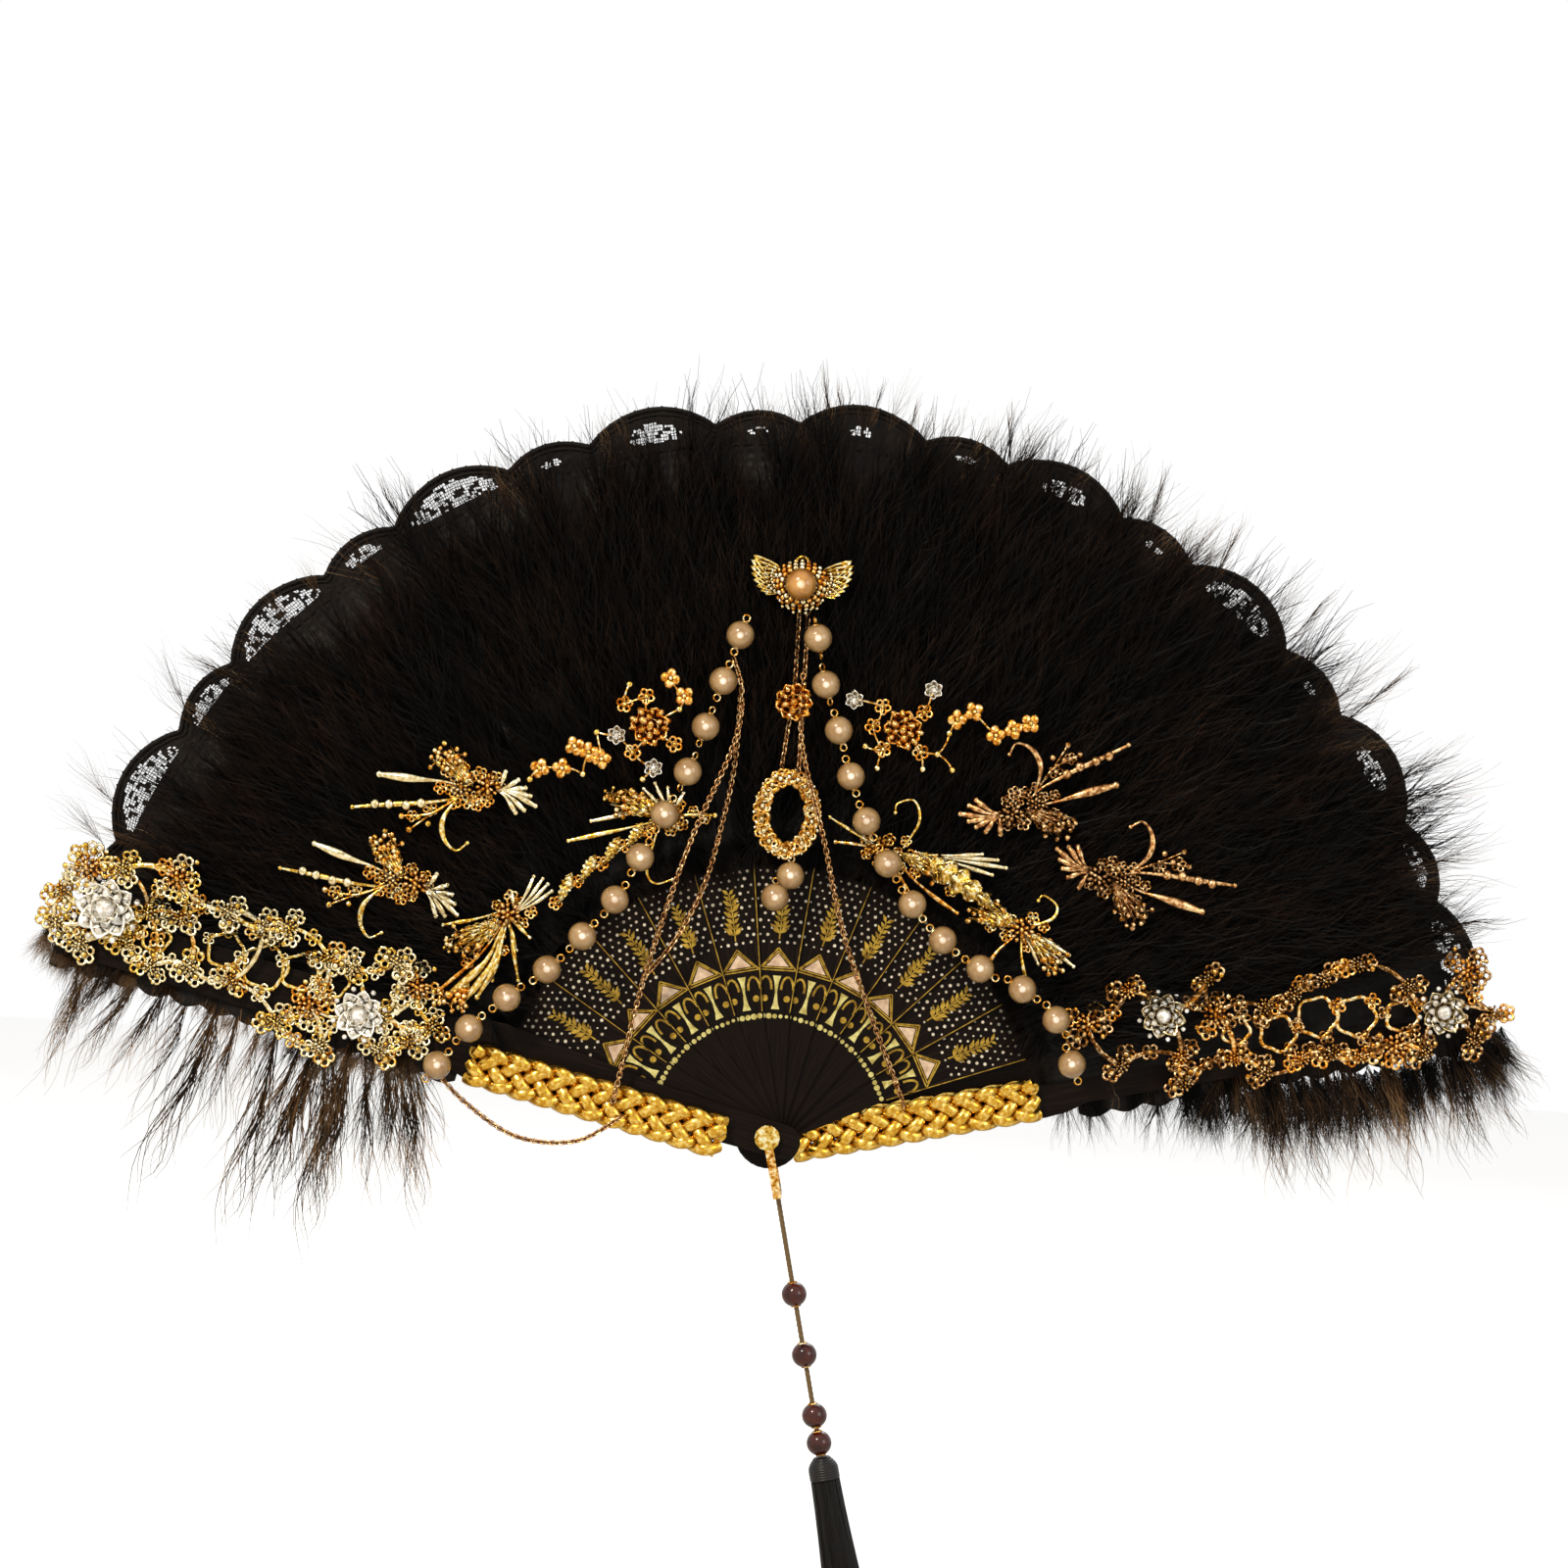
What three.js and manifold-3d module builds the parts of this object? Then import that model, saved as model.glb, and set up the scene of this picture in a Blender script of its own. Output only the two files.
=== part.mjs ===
// A folding fan with a cloth leaf, feathers, gold ornaments, pearl strands, fine chains and a beaded tassel.
// Millimetres. The rivet's axis is Y through the origin, +Z runs up the middle rib, and -Y is the front.
// Angles are in degrees from +Z, clockwise as seen from the front, so the left guard's angle is negative.

import * as THREE from 'three';
import { mergeVertices } from 'three/addons/utils/BufferGeometryUtils.js';
import Module from 'manifold-3d';

const wasm = await Module();
wasm.setup();

// Fan layout
const stickCount = 13;
const gapDegrees = 12.8;
const slideGap = 0.3;

// Sticks
const ribThickness = 1.0;
const guardThickness = 2.2;
const pinRadius = 1.6;
const pinClearance = 0.3;
const heelLength = 12;
const ribHeelHalfWidth = 5;
const ribPrintRadius = 41;
const ribPrintHalfWidth = 5.5;
const ribShoulderRadius = 99.6;
const ribBladeHalfWidth = 11.5;
const ribShoulderRound = 2.6;
const slipHalfWidth = 3;
const slipInset = 4;
const guardHeelHalfWidth = 6;
const guardPrintHalfWidth = 7;
const guardBladeHalfWidth = 12;
const guardOuterHalfWidth = 9;
const guardTaperLength = 16;
const guardReach = 12;

// Rivet, spacer and bail
const rivetHeadRadius = 4.5;
const rivetHeadThickness = 1.2;
const rivetCapThickness = 1.4;
const rivetSeatDepth = 0.6;
const spacerRadius = 5;
const spacerThickness = 4.5;
const bailWire = 1.0;
const bailEyeRadius = 4.5;
const bailArmHalfWidth = 1.5;
const bailLength = 22;
const bailBarHeight = 2;

// Leaf and lace edging
const leafEdgeGap = 0.4;
const leafOuterRadius = 250;
const leafThickness = 0.6;
const leafFlatShare = 0.2;
const leafPleatDepth = 3;
const laceScallops = 18;
const laceScallopSteps = 5;
const laceBandWidth = 3;
const laceScallopHeight = 11;

// Feathers
const tuftInset = 4;
const tuftReach = 26;
const tuftNotch = 9;
const tuftThickness = 6;
const tuftTeeth = 7;
const tuftSlotHalfWidth = 5;
const tuftGuardOffset = 20;
const fringeThickness = 5;
const fringeNotch = 8;
const fringeLeftDepth = 72;
const fringeRightDepth = 54;
const fringeInnerShare = 0.5;
const fringeRiseShares = [0.1, 0.28, 0.48, 0.66, 0.84, 0.95, 1, 0.98, 0.94, 0.88, 0.8, 0.7];

// Trims and filigree on the guards
const trimThickness = 4.2;
const trimHalfWidth = 8;
const trimOffset = 4.5;
const trimLeftStart = 15;
const trimRightStart = 8;
const trimLeftLength = 94;
const trimRightLength = 90;
const trimPlaits = 11;
const trimPlaitNotch = 1;
const filigreeThickness = 2;
const filigreeHalfWidth = 18;
const filigreeWave = 3;
const filigreeGap = 11;
const filigreeOverhang = 4;
const filigreeFlowers = 5;
const filigreeBorder = 3.4;
const filigreeRightStandOff = 7;
const filigreePetalShare = 0.75;
const filigreePetalDegrees = 28;

// Ornaments, strands and chains
const ornamentThickness = 2.5;
const ornamentGap = 0.4;
const postRadius = 1.5;
const petalNotchShare = 0.28;
const quillThinShare = 0.35;
const quillEndShare = 0.15;
const sprayLength = 65;
const sprayFlowerRadius = 7;
const sprayQuillWidth = 2.6;
const sprigFlowerRadius = 8;
const sprigBlossomRadius = 4;
const sprigStemWidth = 2.4;
const sprigBendShare = 0.08;
const broochPlaceShare = 0.784;
const broochChainLength = 29;
const broochWingSpan = 19;
const broochWingHeight = 10;
const broochBendShare = 0.12;
const broochCupRadius = 6;
const broochPearlRadius = 5.25;
const ovalChainLength = 15.5;
const connectorFlowerRadius = 7;
const ovalHalfWidth = 12.5;
const ovalHalfHeight = 16.5;
const ovalRim = 7;
const pearlRadius = 5;
const pendantDropShare = 1.6;
const pearlsPerStrand = 12;
const strandWireRadius = 0.9;
const strandFootDegrees = 2.7;
const broochHookOut = 8;
const chainRadius = 1.4;
const chainStep = 8.4;
const frontReach = 25;

// Tassel, which hangs a little to the right
const tasselLean = 13;
const cordDiameter = 2;
const cordStep = 4.5;
const capTop = 117;
const capHeight = 8;
const capTopRadius = 3;
const capRadius = 5.5;
const skirtHeight = 75;
const skirtRadius = 10;
const skirtFlutes = 12;
const skirtFluteDepth = 1.1;
const beadRadius = 4.5;
const beadBoreClearance = 0.3;
const beadDepths = [58, 80, 102, 112];

// Mesh fineness
const roundSides = 12;
const chainSides = 6;
const cordSides = 8;
const postSides = 6;
const arcSteps = 5;
const quillSteps = 4;
const petalSteps = 3;

// Sizes worked out from the ones above
const ribPitch = ribThickness + slideGap;
const midStick = (stickCount - 1) / 2;
const lastStick = stickCount - 1;
const halfSpan = midStick * gapDegrees;
const holeRadius = pinRadius + pinClearance;
const leafInnerRadius = ribShoulderRadius + leafEdgeGap;
const laceValleyRadius = leafOuterRadius + laceBandWidth;
const tuftInnerRadius = leafInnerRadius + tuftInset;
const tuftOuterRadius = leafOuterRadius + tuftReach;
const guardLength = leafOuterRadius + guardReach;
const filigreeStart = trimLeftStart + trimLeftLength + filigreeGap;
const filigreeLength = guardLength + filigreeOverhang - filigreeStart;
const broochRadius = leafOuterRadius * broochPlaceShare;
const connectorRadius = broochRadius - broochCupRadius - broochChainLength - connectorFlowerRadius;
const ovalRadius = connectorRadius - connectorFlowerRadius - ovalChainLength - ovalHalfHeight;
const ribBackY = (k) => (k - midStick) * ribPitch + ribThickness / 2;
const ribFrontY = (k) => ribBackY(k) - ribThickness;
const guardLeftBackY = ribFrontY(1) - slideGap;
const guardLeftFrontY = guardLeftBackY - guardThickness;
const spacerFrontY = ribBackY(lastStick - 1) + slideGap;
const spacerBackY = spacerFrontY + spacerThickness;
const guardRightFrontY = spacerBackY + slideGap;
const guardRightBackY = guardRightFrontY + guardThickness;
const bailFrontY = guardLeftFrontY - slideGap - bailWire;
const bailBackY = guardRightBackY + slideGap + bailWire;
const rivetHeadBackY = bailFrontY - slideGap;
const rivetCapFrontY = bailBackY + slideGap;
const stickAngle = (k) => (k - midStick) * gapDegrees;

// Materials
function finish(color, roughness, metalness) {
  return new THREE.MeshStandardMaterial({ color, roughness, metalness });
}

const blackWood = finish('#14100e', 0.4, 0);
const blackCloth = finish('#0c0a09', 0.9, 0);
const blackLace = finish('#0a0908', 0.85, 0);
const feather = finish('#0d0907', 0.95, 0);
const gold = finish('#d9a441', 0.3, 1);
const pearl = finish('#cbb89a', 0.25, 0);
const darkBead = finish('#2a0d0b', 0.2, 0);
const blackSilk = finish('#0b0a0a', 0.6, 0);

const fan = new THREE.Group();

function addPiece(name, geometry, material, degrees = 0) {
  const mesh = new THREE.Mesh(geometry, material);
  mesh.name = name;
  mesh.rotation.y = THREE.MathUtils.degToRad(degrees);
  fan.add(mesh);
  return mesh;
}

// Points and outlines lie in the XZ plane, as (x, z)
function polar(radius, degrees) {
  const angle = THREE.MathUtils.degToRad(degrees);
  return new THREE.Vector2(radius * Math.sin(angle), radius * Math.cos(angle));
}

function arc(center, radius, fromDegrees, toDegrees, steps) {
  const points = [];
  for (let i = 0; i <= steps; i += 1) {
    const degrees = fromDegrees + ((toDegrees - fromDegrees) * i) / steps;
    points.push(polar(radius, degrees).add(center));
  }
  return points;
}

function circle(center, radius, sides) {
  return arc(center, radius, 0, 360, sides).slice(0, sides);
}

function mirrored(points) {
  return points.map((p) => new THREE.Vector2(-p.x, p.y)).reverse();
}

// A flat plate: its outline stands in XZ and its thickness runs forward from backY
function plate(outline, backY, thickness, holes = []) {
  const shape = new THREE.Shape(THREE.ShapeUtils.isClockWise(outline) ? [...outline].reverse() : outline);
  for (const hole of holes) {
    shape.holes.push(new THREE.Path(hole));
  }
  const geometry = new THREE.ExtrudeGeometry(shape, { depth: thickness, bevelEnabled: false });
  geometry.rotateX(Math.PI / 2);
  geometry.translate(0, backY, 0);
  return geometry;
}

function toManifold(geometry) {
  const bare = geometry.clone();
  bare.deleteAttribute('normal');
  bare.deleteAttribute('uv');
  const merged = mergeVertices(bare);
  return new wasm.Manifold(
    new wasm.Mesh({
      numProp: 3,
      vertProperties: new Float32Array(merged.attributes.position.array),
      triVerts: new Uint32Array(merged.index.array),
    }),
  );
}

function toGeometry(manifold) {
  const mesh = manifold.getMesh();
  const geometry = new THREE.BufferGeometry();
  geometry.setAttribute('position', new THREE.BufferAttribute(new Float32Array(mesh.vertProperties), 3));
  geometry.setIndex(new THREE.BufferAttribute(new Uint32Array(mesh.triVerts), 1));
  geometry.computeVertexNormals();
  return geometry;
}

function joined(geometries) {
  const solids = geometries.map(toManifold);
  return toGeometry(solids.slice(1).reduce((sum, solid) => sum.add(solid), solids[0]));
}

// A round rod along Y between two depths
function rodAlongY(place, radius, frontY, backY, sides) {
  const geometry = new THREE.CylinderGeometry(radius, radius, backY - frontY, sides);
  geometry.translate(place.x, (frontY + backY) / 2, place.y);
  return geometry;
}

// A solid turned about the Y axis from (radius, y) points
function turnedAboutY(profile, sides) {
  return new THREE.LatheGeometry(profile.map(([radius, y]) => new THREE.Vector2(radius, y)), sides);
}

// A solid turned about the Z axis from (radius, height) points, moved to stand at depth y
function turnedAboutZ(profile, sides, y) {
  const geometry = turnedAboutY(profile, sides);
  geometry.rotateX(Math.PI / 2);
  geometry.translate(0, y, 0);
  return geometry;
}

// A tube along a smooth curve through the given points
function tube(points, radius, sides, step) {
  const curve = new THREE.CatmullRomCurve3(points);
  const section = new THREE.Shape(circle(new THREE.Vector2(0, 0), radius, sides));
  return new THREE.ExtrudeGeometry(section, {
    steps: Math.max(2, Math.round(curve.getLength() / step)),
    extrudePath: curve,
    bevelEnabled: false,
  });
}

// Sticks
function stickOutline(heelHalf, printHalf, bladeHalf, bladeEnd, outerStart, outerHalf, tip) {
  const heelCenter = new THREE.Vector2(0, heelHalf - heelLength);
  const right = [
    ...arc(heelCenter, heelHalf, 180, 90, arcSteps),
    new THREE.Vector2(printHalf, ribPrintRadius),
    new THREE.Vector2(bladeHalf, bladeEnd),
    new THREE.Vector2(bladeHalf - (bladeHalf - outerHalf) / 4, (bladeEnd + outerStart) / 2),
    new THREE.Vector2(outerHalf, outerStart),
    ...arc(new THREE.Vector2(0, tip - outerHalf), outerHalf, 90, 0, arcSteps),
  ];
  return [...right, ...mirrored(right.slice(1, -1))];
}

function ribGeometry(k) {
  const outline = stickOutline(
    ribHeelHalfWidth, ribPrintHalfWidth, ribBladeHalfWidth,
    ribShoulderRadius - ribShoulderRound, ribShoulderRadius, slipHalfWidth, leafOuterRadius - slipInset,
  );
  const hole = circle(new THREE.Vector2(0, 0), holeRadius, roundSides);
  return plate(outline, ribBackY(k), ribThickness, [hole]);
}

function guardGeometry(backY) {
  const outline = stickOutline(
    guardHeelHalfWidth, guardPrintHalfWidth, guardBladeHalfWidth,
    ribShoulderRadius, ribShoulderRadius + guardTaperLength, guardOuterHalfWidth, guardLength,
  );
  const hole = circle(new THREE.Vector2(0, 0), holeRadius, roundSides);
  return plate(outline, backY, guardThickness, [hole]);
}

addPiece('guard_left', guardGeometry(guardLeftBackY), blackWood, -halfSpan);
for (let k = 1; k < lastStick; k += 1) {
  addPiece(`rib_${String(k).padStart(2, '0')}`, ribGeometry(k), blackWood, stickAngle(k));
}
addPiece('guard_right', guardGeometry(guardRightBackY), blackWood, halfSpan);

// Rivet, its cap, the spacer washer and the bail
function rivetGeometry() {
  const headFrontY = rivetHeadBackY - rivetHeadThickness;
  const pinEndY = rivetCapFrontY + rivetSeatDepth - slideGap;
  return turnedAboutY(
    [[0, headFrontY], [rivetHeadRadius, headFrontY], [rivetHeadRadius, rivetHeadBackY],
      [pinRadius, rivetHeadBackY], [pinRadius, pinEndY], [0, pinEndY]],
    roundSides,
  );
}

function rivetCapGeometry() {
  const backY = rivetCapFrontY + rivetCapThickness;
  const seatY = rivetCapFrontY + rivetSeatDepth;
  return turnedAboutY(
    [[0, seatY], [holeRadius, seatY], [holeRadius, rivetCapFrontY],
      [rivetHeadRadius, rivetCapFrontY], [rivetHeadRadius, backY], [0, backY]],
    roundSides,
  );
}

function spacerGeometry() {
  return turnedAboutY(
    [[holeRadius, spacerFrontY], [spacerRadius, spacerFrontY], [spacerRadius, spacerBackY],
      [holeRadius, spacerBackY], [holeRadius, spacerFrontY]],
    roundSides,
  );
}

function bailGeometry() {
  const origin = new THREE.Vector2(0, 0);
  const armReach = THREE.MathUtils.radToDeg(Math.asin(bailArmHalfWidth / bailEyeRadius));
  const outline = [
    ...arc(origin, bailEyeRadius, armReach - 180, 180 - armReach, 2 * arcSteps),
    new THREE.Vector2(bailArmHalfWidth, -bailLength),
    new THREE.Vector2(-bailArmHalfWidth, -bailLength),
  ];
  const hole = circle(origin, holeRadius, roundSides);
  const bar = new THREE.BoxGeometry(2 * bailArmHalfWidth, bailBackY - bailFrontY, bailBarHeight);
  bar.translate(0, (bailBackY + bailFrontY) / 2, bailBarHeight / 2 - bailLength);
  return joined([
    plate(outline, bailFrontY + bailWire, bailWire, [hole]),
    plate(outline, bailBackY, bailWire, [hole]),
    bar,
  ]);
}

addPiece('rivet', rivetGeometry(), gold);
addPiece('rivet_cap', rivetCapGeometry(), gold);
addPiece('spacer_washer', spacerGeometry(), blackWood);
// Turns a piece that is drawn straight down to the way the tassel hangs
function leaning(geometry) {
  return geometry.rotateY(THREE.MathUtils.degToRad(-tasselLean));
}

addPiece('bail', leaning(bailGeometry()), gold);

// Leaf: flat over each stick and folded back between two sticks. A place along it is counted in sticks.
function leafSeatY(k) {
  if (k === 0) {
    return guardLeftBackY + slideGap + leafThickness;
  }
  return k === lastStick ? guardRightFrontY - slideGap : ribFrontY(k) - slideGap;
}

function leafBackY(place) {
  const k = Math.min(Math.floor(place), lastStick - 1);
  const share = place - k;
  const near = share < 0.5 ? leafSeatY(k) : leafSeatY(k + 1);
  const fold = (leafSeatY(k) + leafSeatY(k + 1)) / 2 + leafPleatDepth;
  const toStick = Math.min(share, 1 - share);
  const rise = Math.max(0, toStick - leafFlatShare) / (0.5 - leafFlatShare);
  return near + (fold - near) * rise;
}

// A thin sheet between an inner and an outer edge. Each station is [place, inner radius, outer radius].
function sheet(stations) {
  const positions = [];
  for (const [place, inner, outer] of stations) {
    const backY = leafBackY(place);
    const frontY = backY - leafThickness;
    for (const [radius, y] of [[inner, backY], [outer, backY], [outer, frontY], [inner, frontY]]) {
      const p = polar(radius, stickAngle(place));
      positions.push(p.x, y, p.y);
    }
  }
  const index = [];
  for (let i = 0; i + 1 < stations.length; i += 1) {
    for (let side = 0; side < 4; side += 1) {
      const a = 4 * i + side;
      const b = 4 * i + ((side + 1) % 4);
      index.push(a, b, a + 4, b, b + 4, a + 4);
    }
  }
  const end = 4 * (stations.length - 1);
  index.push(0, 2, 1, 0, 3, 2);
  index.push(end, end + 1, end + 2, end, end + 2, end + 3);
  const geometry = new THREE.BufferGeometry();
  geometry.setAttribute('position', new THREE.Float32BufferAttribute(positions, 3));
  geometry.setIndex(index);
  geometry.computeVertexNormals();
  return geometry;
}

function leafGeometry() {
  const stations = [];
  for (let k = 0; k <= lastStick; k += 1) {
    for (const place of [k - leafFlatShare, k + leafFlatShare, k + 0.5]) {
      const inside = Math.min(Math.max(place, 0), lastStick);
      if (stations.length === 0 || stations.at(-1)[0] < inside) {
        stations.push([inside, leafInnerRadius, leafOuterRadius]);
      }
    }
  }
  return sheet(stations);
}

function laceGeometry() {
  const stations = [];
  const count = laceScallops * laceScallopSteps;
  for (let i = 0; i <= count; i += 1) {
    const share = (i % laceScallopSteps) / laceScallopSteps;
    const outer = laceValleyRadius + laceScallopHeight * Math.sin(Math.PI * share);
    stations.push([(lastStick * i) / count, leafOuterRadius + slideGap, outer]);
  }
  return sheet(stations);
}

addPiece('leaf_cloth', leafGeometry(), blackCloth);
addPiece('lace_edging', laceGeometry(), blackLace);

// Feathers: a tuft spans the two gaps beside its stick, and its edges keep a distance from a stick's middle
function edgeAngle(stickPlace, offset, radius) {
  return stickAngle(stickPlace) + THREE.MathUtils.radToDeg(Math.asin(offset / radius));
}

function tuftBackY(k) {
  const front = Math.min(leafSeatY(k - 1), leafSeatY(k), leafSeatY(k + 1));
  return front - leafThickness - slideGap;
}

const tuftFrontY = (k) => tuftBackY(k) - tuftThickness;

function tuftGeometry(k) {
  const edgeOffset = (stick) => {
    if (stick === 0 || stick === lastStick) {
      return tuftGuardOffset;
    }
    return stick === midStick ? tuftSlotHalfWidth : slideGap / 2;
  };
  const from = (radius) => edgeAngle(k - 1, edgeOffset(k - 1), radius);
  const to = (radius) => edgeAngle(k + 1, -edgeOffset(k + 1), radius);
  const outline = [];
  for (let i = 0; i <= arcSteps; i += 1) {
    const share = i / arcSteps;
    outline.push(polar(tuftInnerRadius, from(tuftInnerRadius) * (1 - share) + to(tuftInnerRadius) * share));
  }
  const points = 2 * tuftTeeth;
  for (let i = points; i >= 0; i -= 1) {
    const radius = i % 2 === 0 ? tuftOuterRadius - tuftNotch : tuftOuterRadius;
    const share = i / points;
    outline.push(polar(radius, from(radius) * (1 - share) + to(radius) * share));
  }
  return plate(outline, tuftBackY(k), tuftThickness);
}

for (let k = 1; k < lastStick; k += 2) {
  addPiece(`feather_tuft_${String(k).padStart(2, '0')}`, tuftGeometry(k), feather);
}

// The fringe hangs from a guard's outer edge. Its outline is (distance out, distance along) the guard.
function fringeGeometry(side, depth, backY) {
  const top = guardOuterHalfWidth + slideGap;
  const start = guardLength * fringeInnerShare;
  const outline = [new THREE.Vector2(side * top, start), new THREE.Vector2(side * top, guardLength)];
  const last = fringeRiseShares.length - 1;
  for (let i = last; i >= 0; i -= 1) {
    const notch = i % 2 === 0 ? fringeNotch * fringeRiseShares[i] : 0;
    const along = start + ((guardLength + top - start) * i) / last;
    outline.push(new THREE.Vector2(side * (top + (depth - top) * fringeRiseShares[i] - notch), along));
  }
  return plate(outline, backY, fringeThickness);
}

const fringeLeftBackY = guardLeftFrontY + fringeThickness;
const fringeRightBackY = guardRightFrontY + fringeThickness;
addPiece('fringe_left', fringeGeometry(-1, fringeLeftDepth, fringeLeftBackY), feather, -halfSpan);
addPiece('fringe_right', fringeGeometry(1, fringeRightDepth, fringeRightBackY), feather, halfSpan);

// Plaited trim: a crowned bar with a notched edge, lying along the outer side of a guard
function trimGeometry(side, start, length, backY) {
  const half = [];
  const points = 2 * trimPlaits;
  for (let i = 0; i <= points; i += 1) {
    const bulge = i % 2 === 0 ? trimHalfWidth - trimPlaitNotch : trimHalfWidth;
    const share = i / points;
    const inset = share === 0 || share === 1 ? trimHalfWidth / 2 : 0;
    half.push(new THREE.Vector2(bulge - inset, start + length * share));
  }
  const shift = new THREE.Vector2(side * trimOffset, 0);
  const outline = [...half, ...mirrored(half)].map((p) => p.add(shift));
  const crownOutline = outline.map((p) => new THREE.Vector2((p.x - shift.x) / 2 + shift.x, p.y));
  const base = plate(outline, backY, trimThickness / 2);
  return joined([base, plate(crownOutline, backY, trimThickness)]);
}

const trimLeftBackY = guardLeftFrontY - slideGap;
const trimRightBackY = guardRightFrontY - slideGap;
const trimLeft = trimGeometry(-1, trimLeftStart, trimLeftLength, trimLeftBackY);
const trimRight = trimGeometry(1, trimRightStart, trimRightLength, trimRightBackY);
addPiece('braid_trim_left', trimLeft, gold, -halfSpan);
addPiece('braid_trim_right', trimRight, gold, halfSpan);

// Filigree band: a waved strip pierced by one four-petalled opening for each of its flowers
function filigreePlate(backY) {
  const pitch = filigreeLength / filigreeFlowers;
  const half = [];
  const points = filigreeFlowers * petalSteps;
  for (let i = 0; i <= points; i += 1) {
    const wave = Math.abs(Math.sin((Math.PI * i) / petalSteps));
    const width = filigreeHalfWidth - filigreeWave * (1 - wave);
    half.push(new THREE.Vector2(width, filigreeStart + (filigreeLength * i) / points));
  }
  const holes = [];
  for (let i = 0; i < filigreeFlowers; i += 1) {
    const center = new THREE.Vector2(0, filigreeStart + pitch * (i + 0.5));
    for (let petal = 0; petal < 4; petal += 1) {
      const turn = 90 * petal + 45;
      const reach = pitch / 2 - filigreeBorder / 2;
      const near = polar(filigreeBorder, turn).add(center);
      const left = polar(reach * filigreePetalShare, turn - filigreePetalDegrees).add(center);
      const far = polar(reach, turn).add(center);
      const right = polar(reach * filigreePetalShare, turn + filigreePetalDegrees).add(center);
      holes.push([near, left, far, right]);
    }
  }
  return plate([...half, ...mirrored(half)], backY, filigreeThickness, holes);
}

function filigreeRightGeometry() {
  const seatY = guardRightFrontY - slideGap;
  const backY = seatY - filigreeRightStandOff;
  const middle = backY - filigreeThickness / 2;
  const pitch = filigreeLength / filigreeFlowers;
  const posts = [1, filigreeFlowers - 1].map((i) => {
    const place = new THREE.Vector2(guardOuterHalfWidth / 2, filigreeStart + pitch * i);
    return rodAlongY(place, postRadius, middle, seatY, postSides);
  });
  return joined([filigreePlate(backY), ...posts]);
}

addPiece('filigree_band_left', filigreePlate(guardLeftFrontY - slideGap), gold, -halfSpan);
addPiece('filigree_band_right', filigreeRightGeometry(), gold, halfSpan);

// Ornament outlines. A flower has round petals, and a quill is a curved blade, thin at its root and tip.
function flower(center, radius, petals) {
  const points = [];
  const count = petals * petalSteps;
  for (let i = 0; i < count; i += 1) {
    const notch = petalNotchShare * (1 - Math.abs(Math.cos((Math.PI * i) / petalSteps)));
    points.push(polar(radius * (1 - notch), (360 * i) / count).add(center));
  }
  return points;
}

function bentCurve(root, tip, bend) {
  const along = tip.clone().sub(root);
  const across = new THREE.Vector2(-along.y, along.x).multiplyScalar(bend);
  return new THREE.QuadraticBezierCurve(root, root.clone().lerp(tip, 0.5).add(across), tip);
}

function quill(root, tip, width, bend) {
  const curve = bentCurve(root, tip, bend);
  const left = [];
  const right = [];
  for (let i = 0; i <= quillSteps; i += 1) {
    const share = i / quillSteps;
    const p = curve.getPoint(share);
    const tangent = curve.getTangent(share);
    const normal = new THREE.Vector2(-tangent.y, tangent.x);
    const swell = Math.sin(Math.PI * (quillEndShare + (1 - 2 * quillEndShare) * share));
    const half = (width / 2) * (quillThinShare + (1 - quillThinShare) * swell);
    left.push(p.clone().add(normal.clone().multiplyScalar(half)));
    right.push(p.clone().sub(normal.multiplyScalar(half)));
  }
  return [...left, ...right.reverse()];
}

// An ornament is one plate made of overlapping outlines, on a post that reaches back to its seat
function ornament(outlines, backY, postPlace, seatY) {
  const parts = outlines.map((outline) => plate(outline, backY, ornamentThickness));
  const post = rodAlongY(postPlace, postRadius, backY - ornamentThickness / 2, seatY - slideGap, postSides);
  return joined([...parts, post]);
}

// Quills of a spray as shares of its length: [out, up, width share of a quill, bend share]
const dragonflyShares = [
  [0.66, -0.11, 1.2, 0.06],
  [0.51, 0.07, 1.0, -0.12],
  [0.17, 0.23, 1.8, 0.1],
  [0.4, -0.18, 1.1, 0.14],
  [0.06, -0.3, 0.8, 0.35],
  [-0.32, -0.1, 0.8, 0],
  [-0.31, -0.01, 0.8, 0],
  [-0.25, -0.17, 0.8, 0],
];
// The right-hand dragonflies lie the other way up
const turnedOverShares = dragonflyShares.map(([out, up, widthShare, bend]) => [out, -up, widthShare, -bend]);
const phoenixShares = [
  [0.52, 0.02, 1.3, -0.1],
  [0.46, -0.14, 1.1, 0.12],
  [0.3, 0.16, 1.2, -0.16],
  [0.1, 0.2, 1.6, 0.08],
  [0.12, -0.21, 0.9, 0.3],
  [-0.3, 0.1, 0.9, -0.1],
  [-0.28, -0.04, 0.8, 0],
  [-0.2, -0.15, 0.8, 0.1],
];

// side is -1 on the left and 1 on the right. The post stands at a share of the way along one quill.
function sprayParts(side, spray) {
  const center = polar(leafOuterRadius * spray.place[0], side * halfSpan * spray.place[1]);
  const outlines = [flower(center, sprayFlowerRadius, 5)];
  const curves = [];
  for (const [out, up, widthShare, bend] of spray.shares) {
    const reach = new THREE.Vector2(out, up).multiplyScalar(sprayLength);
    reach.rotateAround(new THREE.Vector2(0, 0), THREE.MathUtils.degToRad(spray.turn));
    const tip = new THREE.Vector2(center.x + side * reach.x, center.y + reach.y);
    outlines.push(quill(center, tip, sprayQuillWidth * widthShare, side * bend));
    curves.push(bentCurve(center, tip, side * bend));
  }
  const [postQuill, postShare] = spray.post;
  return [outlines, curves[postQuill].getPoint(postShare)];
}

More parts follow.
